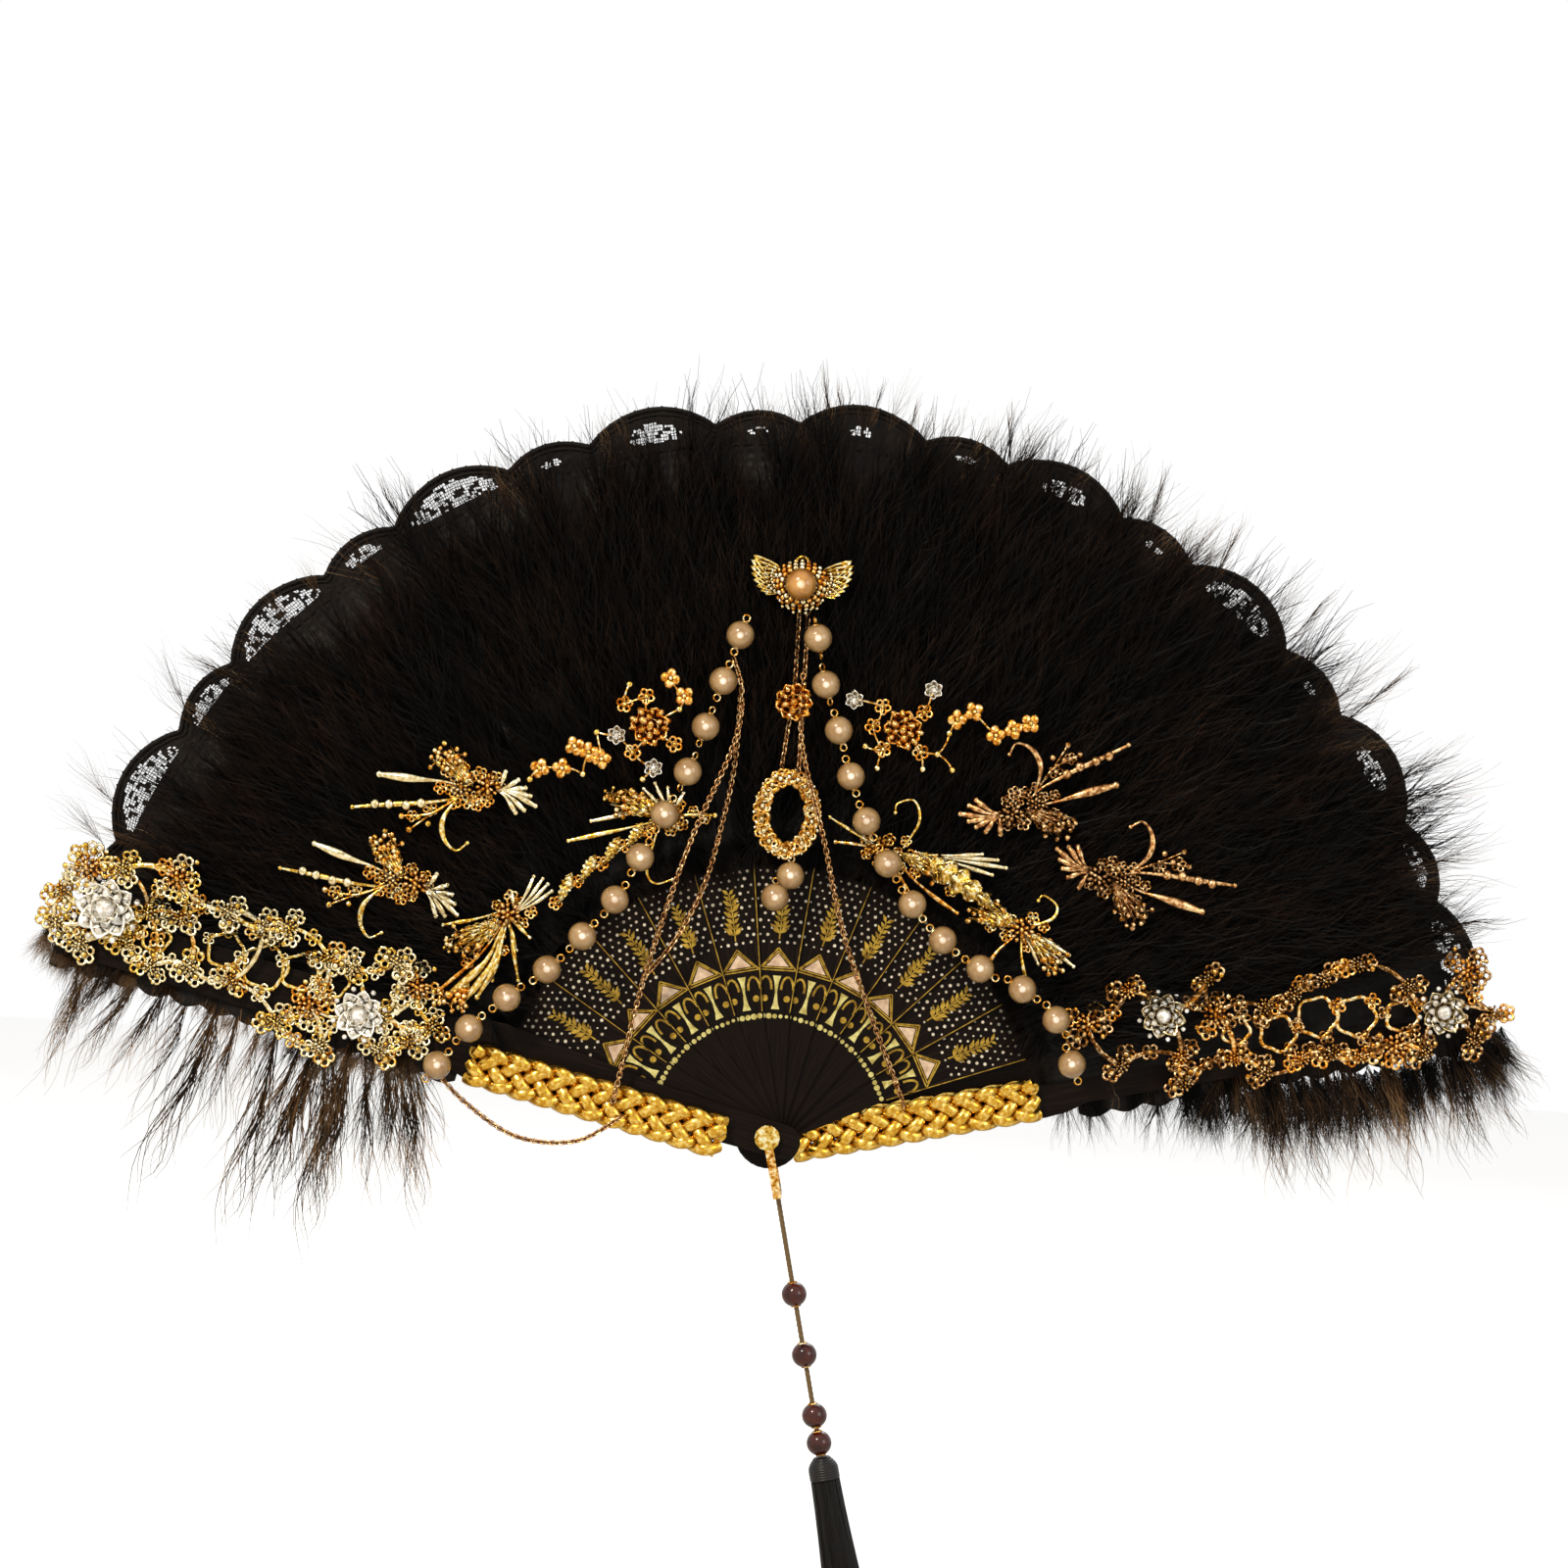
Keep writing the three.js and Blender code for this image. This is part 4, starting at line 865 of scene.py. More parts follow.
def foil_shape(bm, corners, material):
    """A flat shape from its corners, given as (across, along)."""
    face = bm.faces.new([bm.verts.new((x, 0, z)) for x, z in corners])
    face.normal_update()
    if face.normal.y > 0:
        face.normal_flip()
    face.material_index = material
    made = bmesh.ops.extrude_face_region(bm, geom=[face])["geom"]
    raised = verts_in(made)
    bmesh.ops.translate(bm, vec=(0, -FOIL_HEIGHT, 0), verts=raised)
    for vert in raised:
        for side in vert.link_faces:
            side.material_index = material


def foil_disc(bm, x, z, radius, material, sides=6):
    turns = [tau * i / sides for i in range(sides)]
    foil_shape(bm, [(x + radius * sin(turn), z + radius * cos(turn)) for turn in turns], material)


def foil_line(bm, points, width, material):
    """A line of even width through points, as one quad for each stretch."""
    for (x1, z1), (x2, z2) in zip(points, points[1:]):
        length = hypot(x2 - x1, z2 - z1)
        nx, nz = -(z2 - z1) / length * width / 2, (x2 - x1) / length * width / 2
        corners = [(x1 + nx, z1 + nz), (x2 + nx, z2 + nz), (x2 - nx, z2 - nz), (x1 - nx, z1 - nz)]
        foil_shape(bm, corners, material)


print("half width at the heel and the shoulder in mm", HEEL_HALF / MM, SHOULDER_HALF / MM)

# %% [markdown]
# The print is drawn on an upright blade and then turned to its stick. Each motif is a function of its own,
# so it can be changed alone. The sizes are those of the photographed motifs, and dots vary a little, as
# screened foil does.

# %% Motifs near the rivet
GOLD, LEMON, ROSE, CREAM = range(4)
DOT_ROW = 42.5 * MM
BAR_START, BAR_END = 45 * MM, 57 * MM
TRIANGLE_BASE, TRIANGLE_TIP = 59 * MM, 67 * MM
ARCH_OFFSET = 3.9 * MM


def dots_and_bar(bm, rng):
    """A row of dots, and an hourglass bar between two arches with a drop in each."""
    for i in range(5):
        foil_disc(bm, (i - 2) * 2.1 * MM, DOT_ROW, rng.uniform(0.6, 1.15) * MM, LEMON, 8)
    middle = (BAR_START + BAR_END) / 2
    half_bar = (BAR_END - BAR_START) / 2
    side = [((0.35 + 1.15 * s ** 2) * MM, middle + s * half_bar) for s in (-1, -0.6, 0, 0.6, 1)]
    foil_shape(bm, side + [(-x, z) for x, z in reversed(side)], LEMON)
    for direction in (-1, 1):
        centre = direction * ARCH_OFFSET
        arch = [(centre + 2.2 * MM * cos(a), middle + 1 * MM + 4.6 * MM * sin(a))
                for a in [pi * i / 8 for i in range(9)]]
        foil_line(bm, arch, 0.8 * MM, GOLD)
        foil_disc(bm, centre, middle - 2.2 * MM, 1.2 * MM, GOLD, 8)


def triangle(bm):
    """A rose triangle inside a double gold outline."""
    for inset in (0.0, 0.9 * MM):
        half = blade_half_width(TRIANGLE_BASE) - 0.7 * MM - 1.4 * inset
        base = TRIANGLE_BASE + inset
        corners = [(-half, base), (0, TRIANGLE_TIP - 1.3 * inset), (half, base)]
        foil_line(bm, [corners[2], *corners], 0.45 * MM, GOLD)
    half = blade_half_width(TRIANGLE_BASE) - 3.4 * MM
    base = TRIANGLE_BASE + 1.4 * MM
    foil_shape(bm, [(-half, base), (0, TRIANGLE_TIP - 1.9 * MM), (half, base)], ROSE)


print("bar length in mm", round((BAR_END - BAR_START) / MM, 1))

# %% Motifs further out
FIELD_START, FIELD_END = 69 * MM, 95 * MM
DOT_PITCH = 2.8 * MM
DOT_RADIUS = 0.6 * MM
PLUME_HALF = 2.0 * MM


def dot_field(bm, rng):
    """Rows of dots, every second one shifted by half a pitch, with room left for the plume."""
    row, along = 0, FIELD_START
    while along < FIELD_END:
        half = blade_half_width(along) - 1.6 * MM
        count = int(half / DOT_PITCH) + 1
        for i in range(-count, count + 1):
            across = (i + 0.5 * (row % 2)) * DOT_PITCH
            in_plume = abs(across) < PLUME_HALF and FIELD_START + 2 * MM < along < FIELD_END - 6 * MM
            if abs(across) < half and not in_plume:
                shift = rng.uniform(-0.3, 0.3) * MM
                foil_disc(bm, across + shift, along, DOT_RADIUS * rng.uniform(0.6, 1.1), CREAM)
        row += 1
        along += 0.9 * DOT_PITCH


def printed_plume(bm, rng):
    stem = [(0.5 * MM * sin(0.3 * i), FIELD_START + (1 + 2.1 * i) * MM) for i in range(9)]
    foil_line(bm, stem, 0.5 * MM, GOLD)
    for i, (x, z) in enumerate(stem[1:]):
        for direction in (-1, 1):
            reach = (3.1 - 0.12 * i) * MM * rng.uniform(0.7, 1.2)
            barb = [(0, 0), (0.55, 0.15), (1, 0.9), (0.3, 0.7)]
            foil_shape(bm, [(x + direction * a * reach, z + b * reach) for a, b in barb], GOLD)


def print_on(k):
    rng = random.Random(k)
    bm = bmesh.new()
    dots_and_bar(bm, rng)
    triangle(bm)
    dot_field(bm, rng)
    printed_plume(bm, rng)
    for direction in (-1, 1):
        line = [(direction * (blade_half_width(r * MM) - 0.5 * MM), r * MM) for r in (44, 60, 78, 96)]
        foil_line(bm, line, 0.3 * MM, GOLD)
    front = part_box(STICKS[k])[0].y
    moved(bm, turned(stick_angle(k)) @ Matrix.Translation((0, front, 0)))
    inks = [GOLD_FOIL, PALE_FOIL, ROSE_FOIL, CREAM_INK]
    return finish_piece(f"print_{k:02d}", bm, inks, body=BODIES[k])


print("foil faces", sum(len(print_on(k).data.polygons) for k in range(1, LAST)))

# %% [markdown]
# ## Pleated leaf
# The leaf is one cloth glued to the front of the sticks, folded back between each two. Here it is one strip
# for each gap and each ring of radius, baked where it lies.

# %% Leaf strips
FLAT_SHARE = 0.2
PLEAT_DEPTH = 3 * MM
LEAF_RINGS = [100 * MM, 132 * MM, 180 * MM, 250 * MM]


def cloth_depth(place):
    """The depth of the cloth's front at a place between two sticks."""
    k = min(int(place), LAST - 1)
    share = place - k
    near = CLOTH_FRONTS[k] if share < 0.5 else CLOTH_FRONTS[k + 1]
    fold = (CLOTH_FRONTS[k] + CLOTH_FRONTS[k + 1]) / 2 + PLEAT_DEPTH
    rise = max(0.0, min(share, 1 - share) - FLAT_SHARE) / (0.5 - FLAT_SHARE)
    return near + (fold - near) * rise


def across_gap(piece):
    """Bakes a piece's transform into its mesh; the piece lies across a gap between two sticks."""
    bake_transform(piece)


def cloth_strip(bm, k, inner, outer, columns, rows):
    """A strip of cloth over one gap. inner and outer are radii at a place."""
    uv = bm.loops.layers.uv.new("cloth")
    bmesh.ops.create_grid(bm, x_segments=columns, y_segments=rows, size=0.5)
    for face in bm.faces:
        face.smooth = True
        for loop in face.loops:
            across, along = loop.vert.co.x + 0.5, loop.vert.co.y + 0.5
            loop[uv].uv = (across * GAP * LEAF_INNER * 1.7, inner(k) + (outer(k) - inner(k)) * along)
    for vert in bm.verts:
        place = k + vert.co.x + 0.5
        radius = inner(place) + (outer(place) - inner(place)) * (vert.co.y + 0.5)
        vert.co = polar(radius, stick_angle(place), cloth_depth(place))
    outward(bm)
    if sum(face.normal.y for face in bm.faces) > 0:
        bmesh.ops.reverse_faces(bm, faces=bm.faces[:])


strips = []
for k in range(LAST):
    for n, (near, far) in enumerate(zip(LEAF_RINGS, LEAF_RINGS[1:])):
        bm = bmesh.new()
        cloth_strip(bm, k, lambda place: near, lambda place: far, 20, 3)
        bmesh.ops.solidify(bm, geom=bm.faces[:], thickness=LEAF_THICKNESS)
        strip = finish_piece(f"leaf_{k:02d}_{n}", bm, [SATIN], "leaf_cloth")
        across_gap(strip)
        strips.append(strip)
print("leaf strips", len(strips))

# %% [markdown]
# A narrow satin tape covers the cloth's inner edge on each blade, where the leaf is glued to the shoulders.
# It is a thickened grid, bent to the same arc as the leaf.

# %% Hem tape
HEM_START, HEM_END = 96.6 * MM, 104 * MM
TAPE_THICKNESS = 0.45 * MM
for k in range(1, LAST):
    bm = bmesh.new()
    bmesh.ops.create_grid(bm, x_segments=10, y_segments=2, size=0.5)
    for vert in bm.verts:
        angle = stick_angle(k) + vert.co.x * GAP
        radius = HEM_START + (HEM_END - HEM_START) * (vert.co.y + 0.5)
        vert.co = polar(radius, angle, CLOTH_FRONTS[k] + 0.1 * MM)
    bmesh.ops.solidify(bm, geom=bm.faces[:], thickness=TAPE_THICKNESS)
    outward(bm)
    finish_piece(f"hem_tape_{k:02d}", bm, [SATIN], body=BODIES[k])
print("tape width in mm", round((HEM_END - HEM_START) / MM, 1))

# %% [markdown]
# ## Lace edge
# The lace is a scalloped border with a corded rim, eighteen scallops round the leaf. Its net shows as small
# openings in the dense black work. A grid takes the scallop's shape, some of its faces are inset and their
# middles deleted, and the rim is a wire.

# %% Lace
VALLEY = 253 * MM
LACE_START = 246 * MM
LACE_THREAD = 0.4 * MM
NET_BAR = 0.15 * MM
MOTIF = 2.0 * MM
THREAD_WANDER = 0.55 * MM
RIM_STEPS = 36
FIRST_LOBE = 1 / 15
SMALL_WIDTH, BIG_WIDTH = 8 / 15, 12 / 15
SMALL_RISE, BIG_RISE = 5 * MM, 9 * MM
# How wide the net is in each scallop, against a full one
NET_SHARES = {0: 0.5, 1: 1.1, 2: 0.9, 3: 1.2, 4: 0.5, 5: 1.1, 7: 0.4, 11: 0.3, 13: 0.8, 15: 0.35, 16: 0.6,
              17: 1.0}
# The noise starts from the clock without a seed, and the openings would differ from run to run
seed_set(1)


def lobe_at(place):
    """The number of the lobe at a place, and how far across it the place lies, from -1 to 1."""
    pair, along = divmod(place - FIRST_LOBE, SMALL_WIDTH + BIG_WIDTH)
    if along < SMALL_WIDTH:
        return 2 * int(pair), 2 * along / SMALL_WIDTH - 1
    return 2 * int(pair) + 1, 2 * (along - SMALL_WIDTH) / BIG_WIDTH - 1


def lace_outer(place):
    number, phase = lobe_at(place)
    rise = BIG_RISE if number % 2 else SMALL_RISE
    return VALLEY + rise * cos(pi / 2 * phase) ** 0.75


def is_open(middle):
    """Whether a cell of the lace is net. Net fills a round field low in a scallop, mottled by thicker work."""
    radius = hypot(middle.x, middle.z)
    place = place_of(middle)
    number, phase = lobe_at(place)
    height = (radius - LACE_START) / (lace_outer(place) - LACE_START)
    field = (phase / 0.72) ** 2 + ((height - 0.46) / 0.36) ** 2
    return field < NET_SHARES.get(number, 0.1) and noise_at(middle / MOTIF) < 0.16


def lace_piece(k):
    bm = bmesh.new()
    cloth_strip(bm, k, lambda place: LACE_START, lace_outer, 60, 14)
    for vert in bm.verts:
        if not vert.is_boundary:
            vert.co += noise_vector(vert.co / THREAD_WANDER) * THREAD_WANDER
    opened = [face for face in bm.faces if is_open(face.calc_center_median())]
    bmesh.ops.inset_individual(bm, faces=opened, thickness=NET_BAR)
    bmesh.ops.delete(bm, geom=opened, context="FACES")
    thicken(bm, LACE_THREAD)
    rim, inner_rim, picots = [], [], []
    for i in range(RIM_STEPS + 1):
        place = k + i / RIM_STEPS
        outer, angle, depth = lace_outer(place), stick_angle(place), cloth_depth(place)
        rim.append(polar(outer, angle, depth))
        inner_rim.append(polar(outer - 2.0 * MM, angle, depth - 0.2 * MM))
        if i % 3 == 0:
            picots.append(polar(outer + 0.7 * MM, angle, depth))
    wires(bm, [(rim, 0.9 * MM), (inner_rim, 0.5 * MM)], sides=8)
    for place in picots:
        stamp(bm, BALL, facing(place, 0.5 * MM))
    piece = finish_piece(f"lace_{k:02d}", bm, [LACE], "lace_edging")
    across_gap(piece)
    return len(opened)


print("openings in the lace", sum(lace_piece(k) for k in range(LAST)))

# %% [markdown]
# ## Down feathers
# Marabou down has a short quill and long, loose, wavy barbs. Hair particles would be the usual way, but
# they don't travel well to other programs. Here a barb is a narrow ribbon of a few faces and a plume is a
# quill with 26 to 90 barbs. Each stick carries some dozens of plumes laid like roof tiles, so that the
# fan's feathers close with it.

# %% One barb
BARB_WANDER = 5


def add_barb(bm, uv, rng, root, reach, lean, rise, curl, width, faces, wave):
    """A ribbon that leaves the quill at an angle, bends towards its tip and waves a little."""
    tone, phase, sway = rng.random(), rng.uniform(0, tau), rng.uniform(0.4, 1.0) * wave
    roll = rng.uniform(-1.3, 1.3)
    made = bmesh.ops.create_grid(bm, x_segments=1, y_segments=faces, size=0.5)["verts"]
    for face in {face for vert in made for face in vert.link_faces}:
        face.smooth = True
        for loop in face.loops:
            loop[uv].uv = (tone, loop.vert.co.y + 0.5)
    for vert in made:
        side, along = 2 * vert.co.x, vert.co.y + 0.5
        angle = lean * (1 - curl * along)
        half = side * width / 2 * (1 - 0.8 * along)
        x = reach * along * sin(angle) + sway * along * sin(phase + BARB_WANDER * along)
        y = -reach * along * sin(rise) + 0.6 * sway * along * cos(phase + 4 * along)
        z = reach * along * cos(angle)
        across = Vector((cos(angle) * cos(roll), sin(roll), -sin(angle) * cos(roll)))
        vert.co = root + Vector((x, y, z)) + half * across


bm = bmesh.new()
uv = bm.loops.layers.uv.new("strand")
add_barb(bm, uv, random.Random(1), Vector(), 30 * MM, 0.6, 0.1, 0.4, 0.4 * MM, 4, MM)
print("faces in a barb", len(bm.faces))
bm.free()

# %% [markdown]
# Four kinds of plume are made from barbs: full ones that cover the leaf, hair-thin ones, bare-quilled tips
# and the long locks of the fringes. Four to six of each are enough, because they are mirrored, turned and
# scaled when they are laid.

# %% One plume
def plume(seed, length, barbs, reach, lean, rise, width, quill=0.35 * MM, faces=4, wave=1.6 * MM, bow=2 * MM):
    """A plume along +Z. lean and rise are ranges in degrees."""
    rng = random.Random(seed)
    bm = bmesh.new()
    uv = bm.loops.layers.uv.new("strand")
    bow = rng.uniform(-1, 1) * bow
    for i in range(barbs):
        share = (i + rng.random()) / barbs
        root = Vector((bow * share ** 2, 0, length * share))
        angle = radians(rng.uniform(*lean)) * (1 - 0.45 * share) * (1 if i % 2 else -1)
        lift = radians(rng.uniform(*rise))
        add_barb(bm, uv, rng, root, reach * rng.uniform(0.55, 1.0), angle, lift, rng.uniform(0.2, 0.7), width,
                 faces, wave)
    stem = [Vector((bow * (i / 6) ** 2, 0, 1.1 * length * i / 6)) for i in range(7)]
    wires(bm, [(stem, [quill * (1 - 0.12 * i) for i in range(7)])], sides=4)
    return mesh_of(bm, "plume")


COVER_PLUMES = [plume(s, 26 * MM, 90, 30 * MM, (12, 58), (-4, 14), 0.42 * MM, wave=2.6 * MM) for s in range(6)]
HAIR_LENGTH = 60 * MM
HAIR = (20 * MM, 26, 42 * MM, (3, 36), (-6, 6), 0.27 * MM, 0.18 * MM, 7, 3 * MM, 4 * MM)
HAIR_PLUMES = [plume(20 + s, *HAIR) for s in range(6)]
TIP_LENGTH = 48 * MM
TIP = (30 * MM, 34, 20 * MM, (5, 22), (-6, 6), 0.34 * MM, 0.35 * MM, 5, 1.6 * MM, 4 * MM)
TIP_PLUMES = [plume(30 + s, *TIP) for s in range(4)]
LOCK_LENGTH = 62 * MM
LOCK = (26 * MM, 32, 40 * MM, (1, 17), (-8, 8), 0.42 * MM, 0.3 * MM, 8, 4.5 * MM, 7 * MM)
LOCKS = [plume(40 + s, *LOCK) for s in range(6)]
print("faces in a plume", len(COVER_PLUMES[0].polygons))

# %% [markdown]
# Every plume needs a depth. The frame's own tufts give it for each second stick, and the sticks between get
# the mean of their neighbours. A plume is laid with its root at a radius and a place, leaned a little and
# mirrored at random.

# %% Laying a plume
def down_depth(k):
    """The depth on which the feathers of a stick lie, from the frame's tufts."""
    if k == 0:
        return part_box("guard_left")[0].y - 0.3 * MM
    if k == LAST:
        return CLOTH_FRONTS[k] - 3 * MM
    near = k if k % 2 else k - 1
    far = k if k % 2 else k + 1
    return (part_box(f"feather_tuft_{near:02d}")[1].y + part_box(f"feather_tuft_{far:02d}")[1].y) / 2


DOWN_DEPTHS = [down_depth(k) for k in range(LAST + 1)]


def lay_plume(bm, mesh, rng, radius, place, lift, scale, swing):
    angle = stick_angle(place)
    root = polar(radius, angle, between(DOWN_DEPTHS, max(0.0, min(LAST, place))) - lift)
    pose = turned(angle + swing) @ Matrix.Rotation(radians(rng.uniform(0, 7)), 4, "X")
    mirror = Matrix.Scale(-1, 4, (1, 0, 0)) if rng.random() < 0.5 else Matrix.Identity(4)
    stamp(bm, mesh, Matrix.Translation(root) @ pose @ mirror @ Matrix.Scale(scale, 4))


print("depths of the down in mm", [round(y / MM, 1) for y in DOWN_DEPTHS])

# %% [markdown]
# The cover's plumes overlap like roof tiles from the rim inwards, and each row's roots hide under the row
# below it. Near the guards they turn along the guard. A broad noise turns neighbours the same way, which
# gives clumps.

# %% Feathers on the sticks
FEATHER_START = 103 * MM
ROW_STEP = 12 * MM
PLUME_SPACING = 8.5 * MM
TOP_ROW_LEFT, TOP_ROW_RIGHT = 213 * MM, 223 * MM
BAND_ROOM = 15 * MM
EDGE_REACH = 20 * MM
CLUMP = 22 * MM


def feathers_of(k):
    rng = random.Random(200 + k)
    bm = bmesh.new()
    bm.loops.layers.uv.new("strand")
    radius = TOP_ROW_RIGHT if k > MIDDLE else TOP_ROW_LEFT
    while radius > FEATHER_START - 4 * MM:
        count = max(1, round(radius * GAP / PLUME_SPACING))
        for i in range(count):
            place = k - 0.5 + (i + rng.uniform(0.1, 0.9)) / count
            left_room, right_room = place * GAP * radius, (LAST - place) * GAP * radius
            room = min(left_room, right_room)
            if room < BAND_ROOM:
                continue
            edge_turn = 14 * exp(-left_room / EDGE_REACH) - 14 * exp(-right_room / EDGE_REACH)
            clump = 14 * noise_at(polar(radius, stick_angle(place)) / CLUMP)
            where = radius + rng.uniform(-6, 6) * MM
            lay_plume(bm, rng.choice(COVER_PLUMES), rng, where, place, rng.uniform(0.5, 3.5) * MM,
                      rng.uniform(0.75, 1.15), radians(rng.uniform(-14, 14) + edge_turn + clump))
        radius -= ROW_STEP
    for i in range(8):
        place = k - 0.5 + (i + rng.random()) / 8
        if 0.5 < place < LAST - 0.3:
            lay_plume(bm, rng.choice(COVER_PLUMES), rng, FEATHER_START + 4 * MM, place, 0.5 * MM,
                      rng.uniform(0.28, 0.42), pi + rng.uniform(-0.7, 0.7))
    tuft = f"feather_tuft_{k:02d}" if k % 2 else None
    return finish_piece(f"down_{k:02d}", bm, [DOWN], tuft, BODIES[k])


print("down faces", sum(len(feathers_of(k).data.polygons) for k in range(LAST + 1)))

# %% [markdown]
# Loose wisps reach past the rim in groups, at the valleys between the scallops. The ones that stand out in
# the photograph are laid from a root to a tip that were read there, so they come from a short list.

# %% Thin plumes at the rim
VALLEYS = [FIRST_LOBE + n * (SMALL_WIDTH + BIG_WIDTH) + part for n in range(9) for part in (0, SMALL_WIDTH)]
# Plumes, how many on the right and on the left, their leans there, root radii in mm and largest scale
WISPS = [(HAIR_PLUMES, 3, (0, 1, 1), (2, 30), (-30, 2), (218, 232), 1.0),
         (TIP_PLUMES, 2, (0, 1), (0, 24), (-24, 4), (224, 236), 1.05)]
# Single plumes that stand out in the photograph: (root pixel, tip pixel, whether it is a bare-quilled tip)
MARKED_PLUMES = [
    ((425, 560), (388, 476), True), ((440, 555), (412, 478), True), ((530, 535), (488, 452), False),
    ((545, 530), (515, 455), False), ((300, 640), (258, 585), False), ((330, 610), (300, 560), False),
    ((200, 740), (150, 650), False), ((130, 830), (75, 755), False), ((110, 860), (55, 800), False),
    ((848, 440), (838, 368), True), ((862, 445), (858, 380), True), ((885, 445), (905, 380), True),
    ((905, 445), (935, 372), False), ((880, 450), (880, 372), False), ((925, 450), (945, 400), True),
    ((1030, 480), (1037, 404), True), ((1010, 480), (1022, 412), False), ((1050, 480), (1062, 424), False),
    ((1150, 545), (1168, 445), False), ((1165, 560), (1195, 462), True), ((1200, 590), (1255, 505), False),
    ((1235, 600), (1275, 520), True), ((1290, 650), (1350, 570), False), ((1310, 660), (1375, 600), True),
    ((1360, 720), (1440, 640), False), ((1375, 735), (1455, 670), True), ((1420, 800), (1510, 745), False),
    ((1430, 820), (1545, 790), False), ((1460, 880), (1548, 850), False), ((760, 450), (722, 385), False),
    ((770, 450), (800, 392), False), ((650, 470), (620, 415), False),
]

def rim_wisps_of(k):
    """Thin plumes at the scallops' valleys, more of them on the right, where they also lean further."""
    rng = random.Random(300 + k)
    bm = bmesh.new()
    bm.loops.layers.uv.new("strand")
    for place in VALLEYS:
        if round(place) != k or not 0.4 < place < LAST - 0.4:
            continue
        thick = place > MIDDLE
        for plumes, most, few, right_lean, left_lean, radii, largest in WISPS:
            for _ in range(most if thick else rng.choice(few)):
                lean = rng.uniform(*(right_lean if thick else left_lean))
                lay_plume(bm, rng.choice(plumes), rng, rng.uniform(*radii) * MM,
                          place + rng.uniform(-0.3, 0.3), rng.uniform(-4, 0) * MM,
                          rng.uniform(0.7, largest), radians(lean))
    for root_pixel, tip_pixel, bare in MARKED_PLUMES:
        root, tip = from_photo(root_pixel), from_photo(tip_pixel)
        if round(place_of(root)) != k:
            continue
        hang = tip - root
        root.y = between(DOWN_DEPTHS, place_of(root))
        pose = Matrix.Translation(root) @ turned(atan2(hang.x, hang.z))
        kind, length = (TIP_PLUMES, TIP_LENGTH) if bare else (HAIR_PLUMES, HAIR_LENGTH)
        stamp(bm, rng.choice(kind), pose @ Matrix.Scale(hang.length / length, 4))
    return finish_piece(f"wisps_{k:02d}", bm, [THIN_DOWN], body=BODIES[k])


print("wisp faces", sum(len(rim_wisps_of(k).data.polygons) for k in range(1, LAST)))

# %% [markdown]
# ## Fringe under the guards
# Longer down hangs from the outer edge of each guard in separate locks, with gaps that show what is behind.
# Each lock here goes from a root on the guard to a tip, both read as places in the photograph.

# %% Locks seen in the photograph
LEFT_LOCKS = [
    ((85, 985), (38, 1090)), ((95, 985), (62, 1050)), ((110, 995), (60, 1065)), ((130, 1000), (72, 1080)),
    ((150, 1015), (78, 1100)), ((170, 1010), (128, 1085)), ((190, 1020), (130, 1130)),
    ((210, 1025), (168, 1120)), ((225, 1030), (165, 1190)), ((240, 1030), (182, 1160)),
    ((262, 1040), (205, 1150)), ((285, 1060), (215, 1205)), ((300, 1070), (245, 1190)),
    ((318, 1080), (262, 1220)), ((330, 1085), (285, 1245)), ((345, 1088), (318, 1205)),
    ((362, 1090), (330, 1235)), ((380, 1092), (362, 1220)), ((395, 1092), (385, 1195)),
    ((412, 1092), (415, 1210)),
    ((425, 1088), (442, 1218)),
]
RIGHT_LOCKS = [
    ((1130, 1110), (1122, 1150)), ((1180, 1110), (1176, 1150)), ((1240, 1110), (1222, 1155)),
    ((1262, 1115), (1262, 1170)), ((1280, 1115), (1290, 1185)), ((1298, 1118), (1312, 1220)),
    ((1315, 1118), (1330, 1195)), ((1335, 1118), (1352, 1210)), ((1355, 1116), (1374, 1205)),
    ((1375, 1114), (1392, 1190)), ((1395, 1112), (1416, 1200)), ((1415, 1110), (1434, 1185)),
    ((1435, 1107), (1460, 1192)), ((1455, 1104), (1478, 1176)), ((1475, 1100), (1502, 1184)),
    ((1495, 1094), (1528, 1168)), ((1512, 1086), (1550, 1162)), ((1525, 1076), (1572, 1134)),
    ((1535, 1060), (1582, 1100)),
]
LEFT_EDGE = [(452, 1078), (330, 1062), (200, 1010), (75, 965), (54, 940)]
RIGHT_EDGE = [(1085, 1088), (1250, 1100), (1400, 1096), (1540, 1050)]
print("locks", len(LEFT_LOCKS), len(RIGHT_LOCKS))

# %% [markdown]
# Each lock is two or three long plumes from a little inside the guard's edge. Between the locks, short
# fluff follows the edge, and both are thinner on one stretch of each guard, as on the real fan.

# %% Fringes
LOCK_OVERLAP = 12 * MM
FLUFF_SPACING = 3 * MM
LOCK_SPREAD = 9
FLUFF_SPREAD = 25


def hanging_pose(root, hang, size):
    return Matrix.Translation(root) @ turned(atan2(hang.x, hang.z)) @ Matrix.Scale(size, 4)


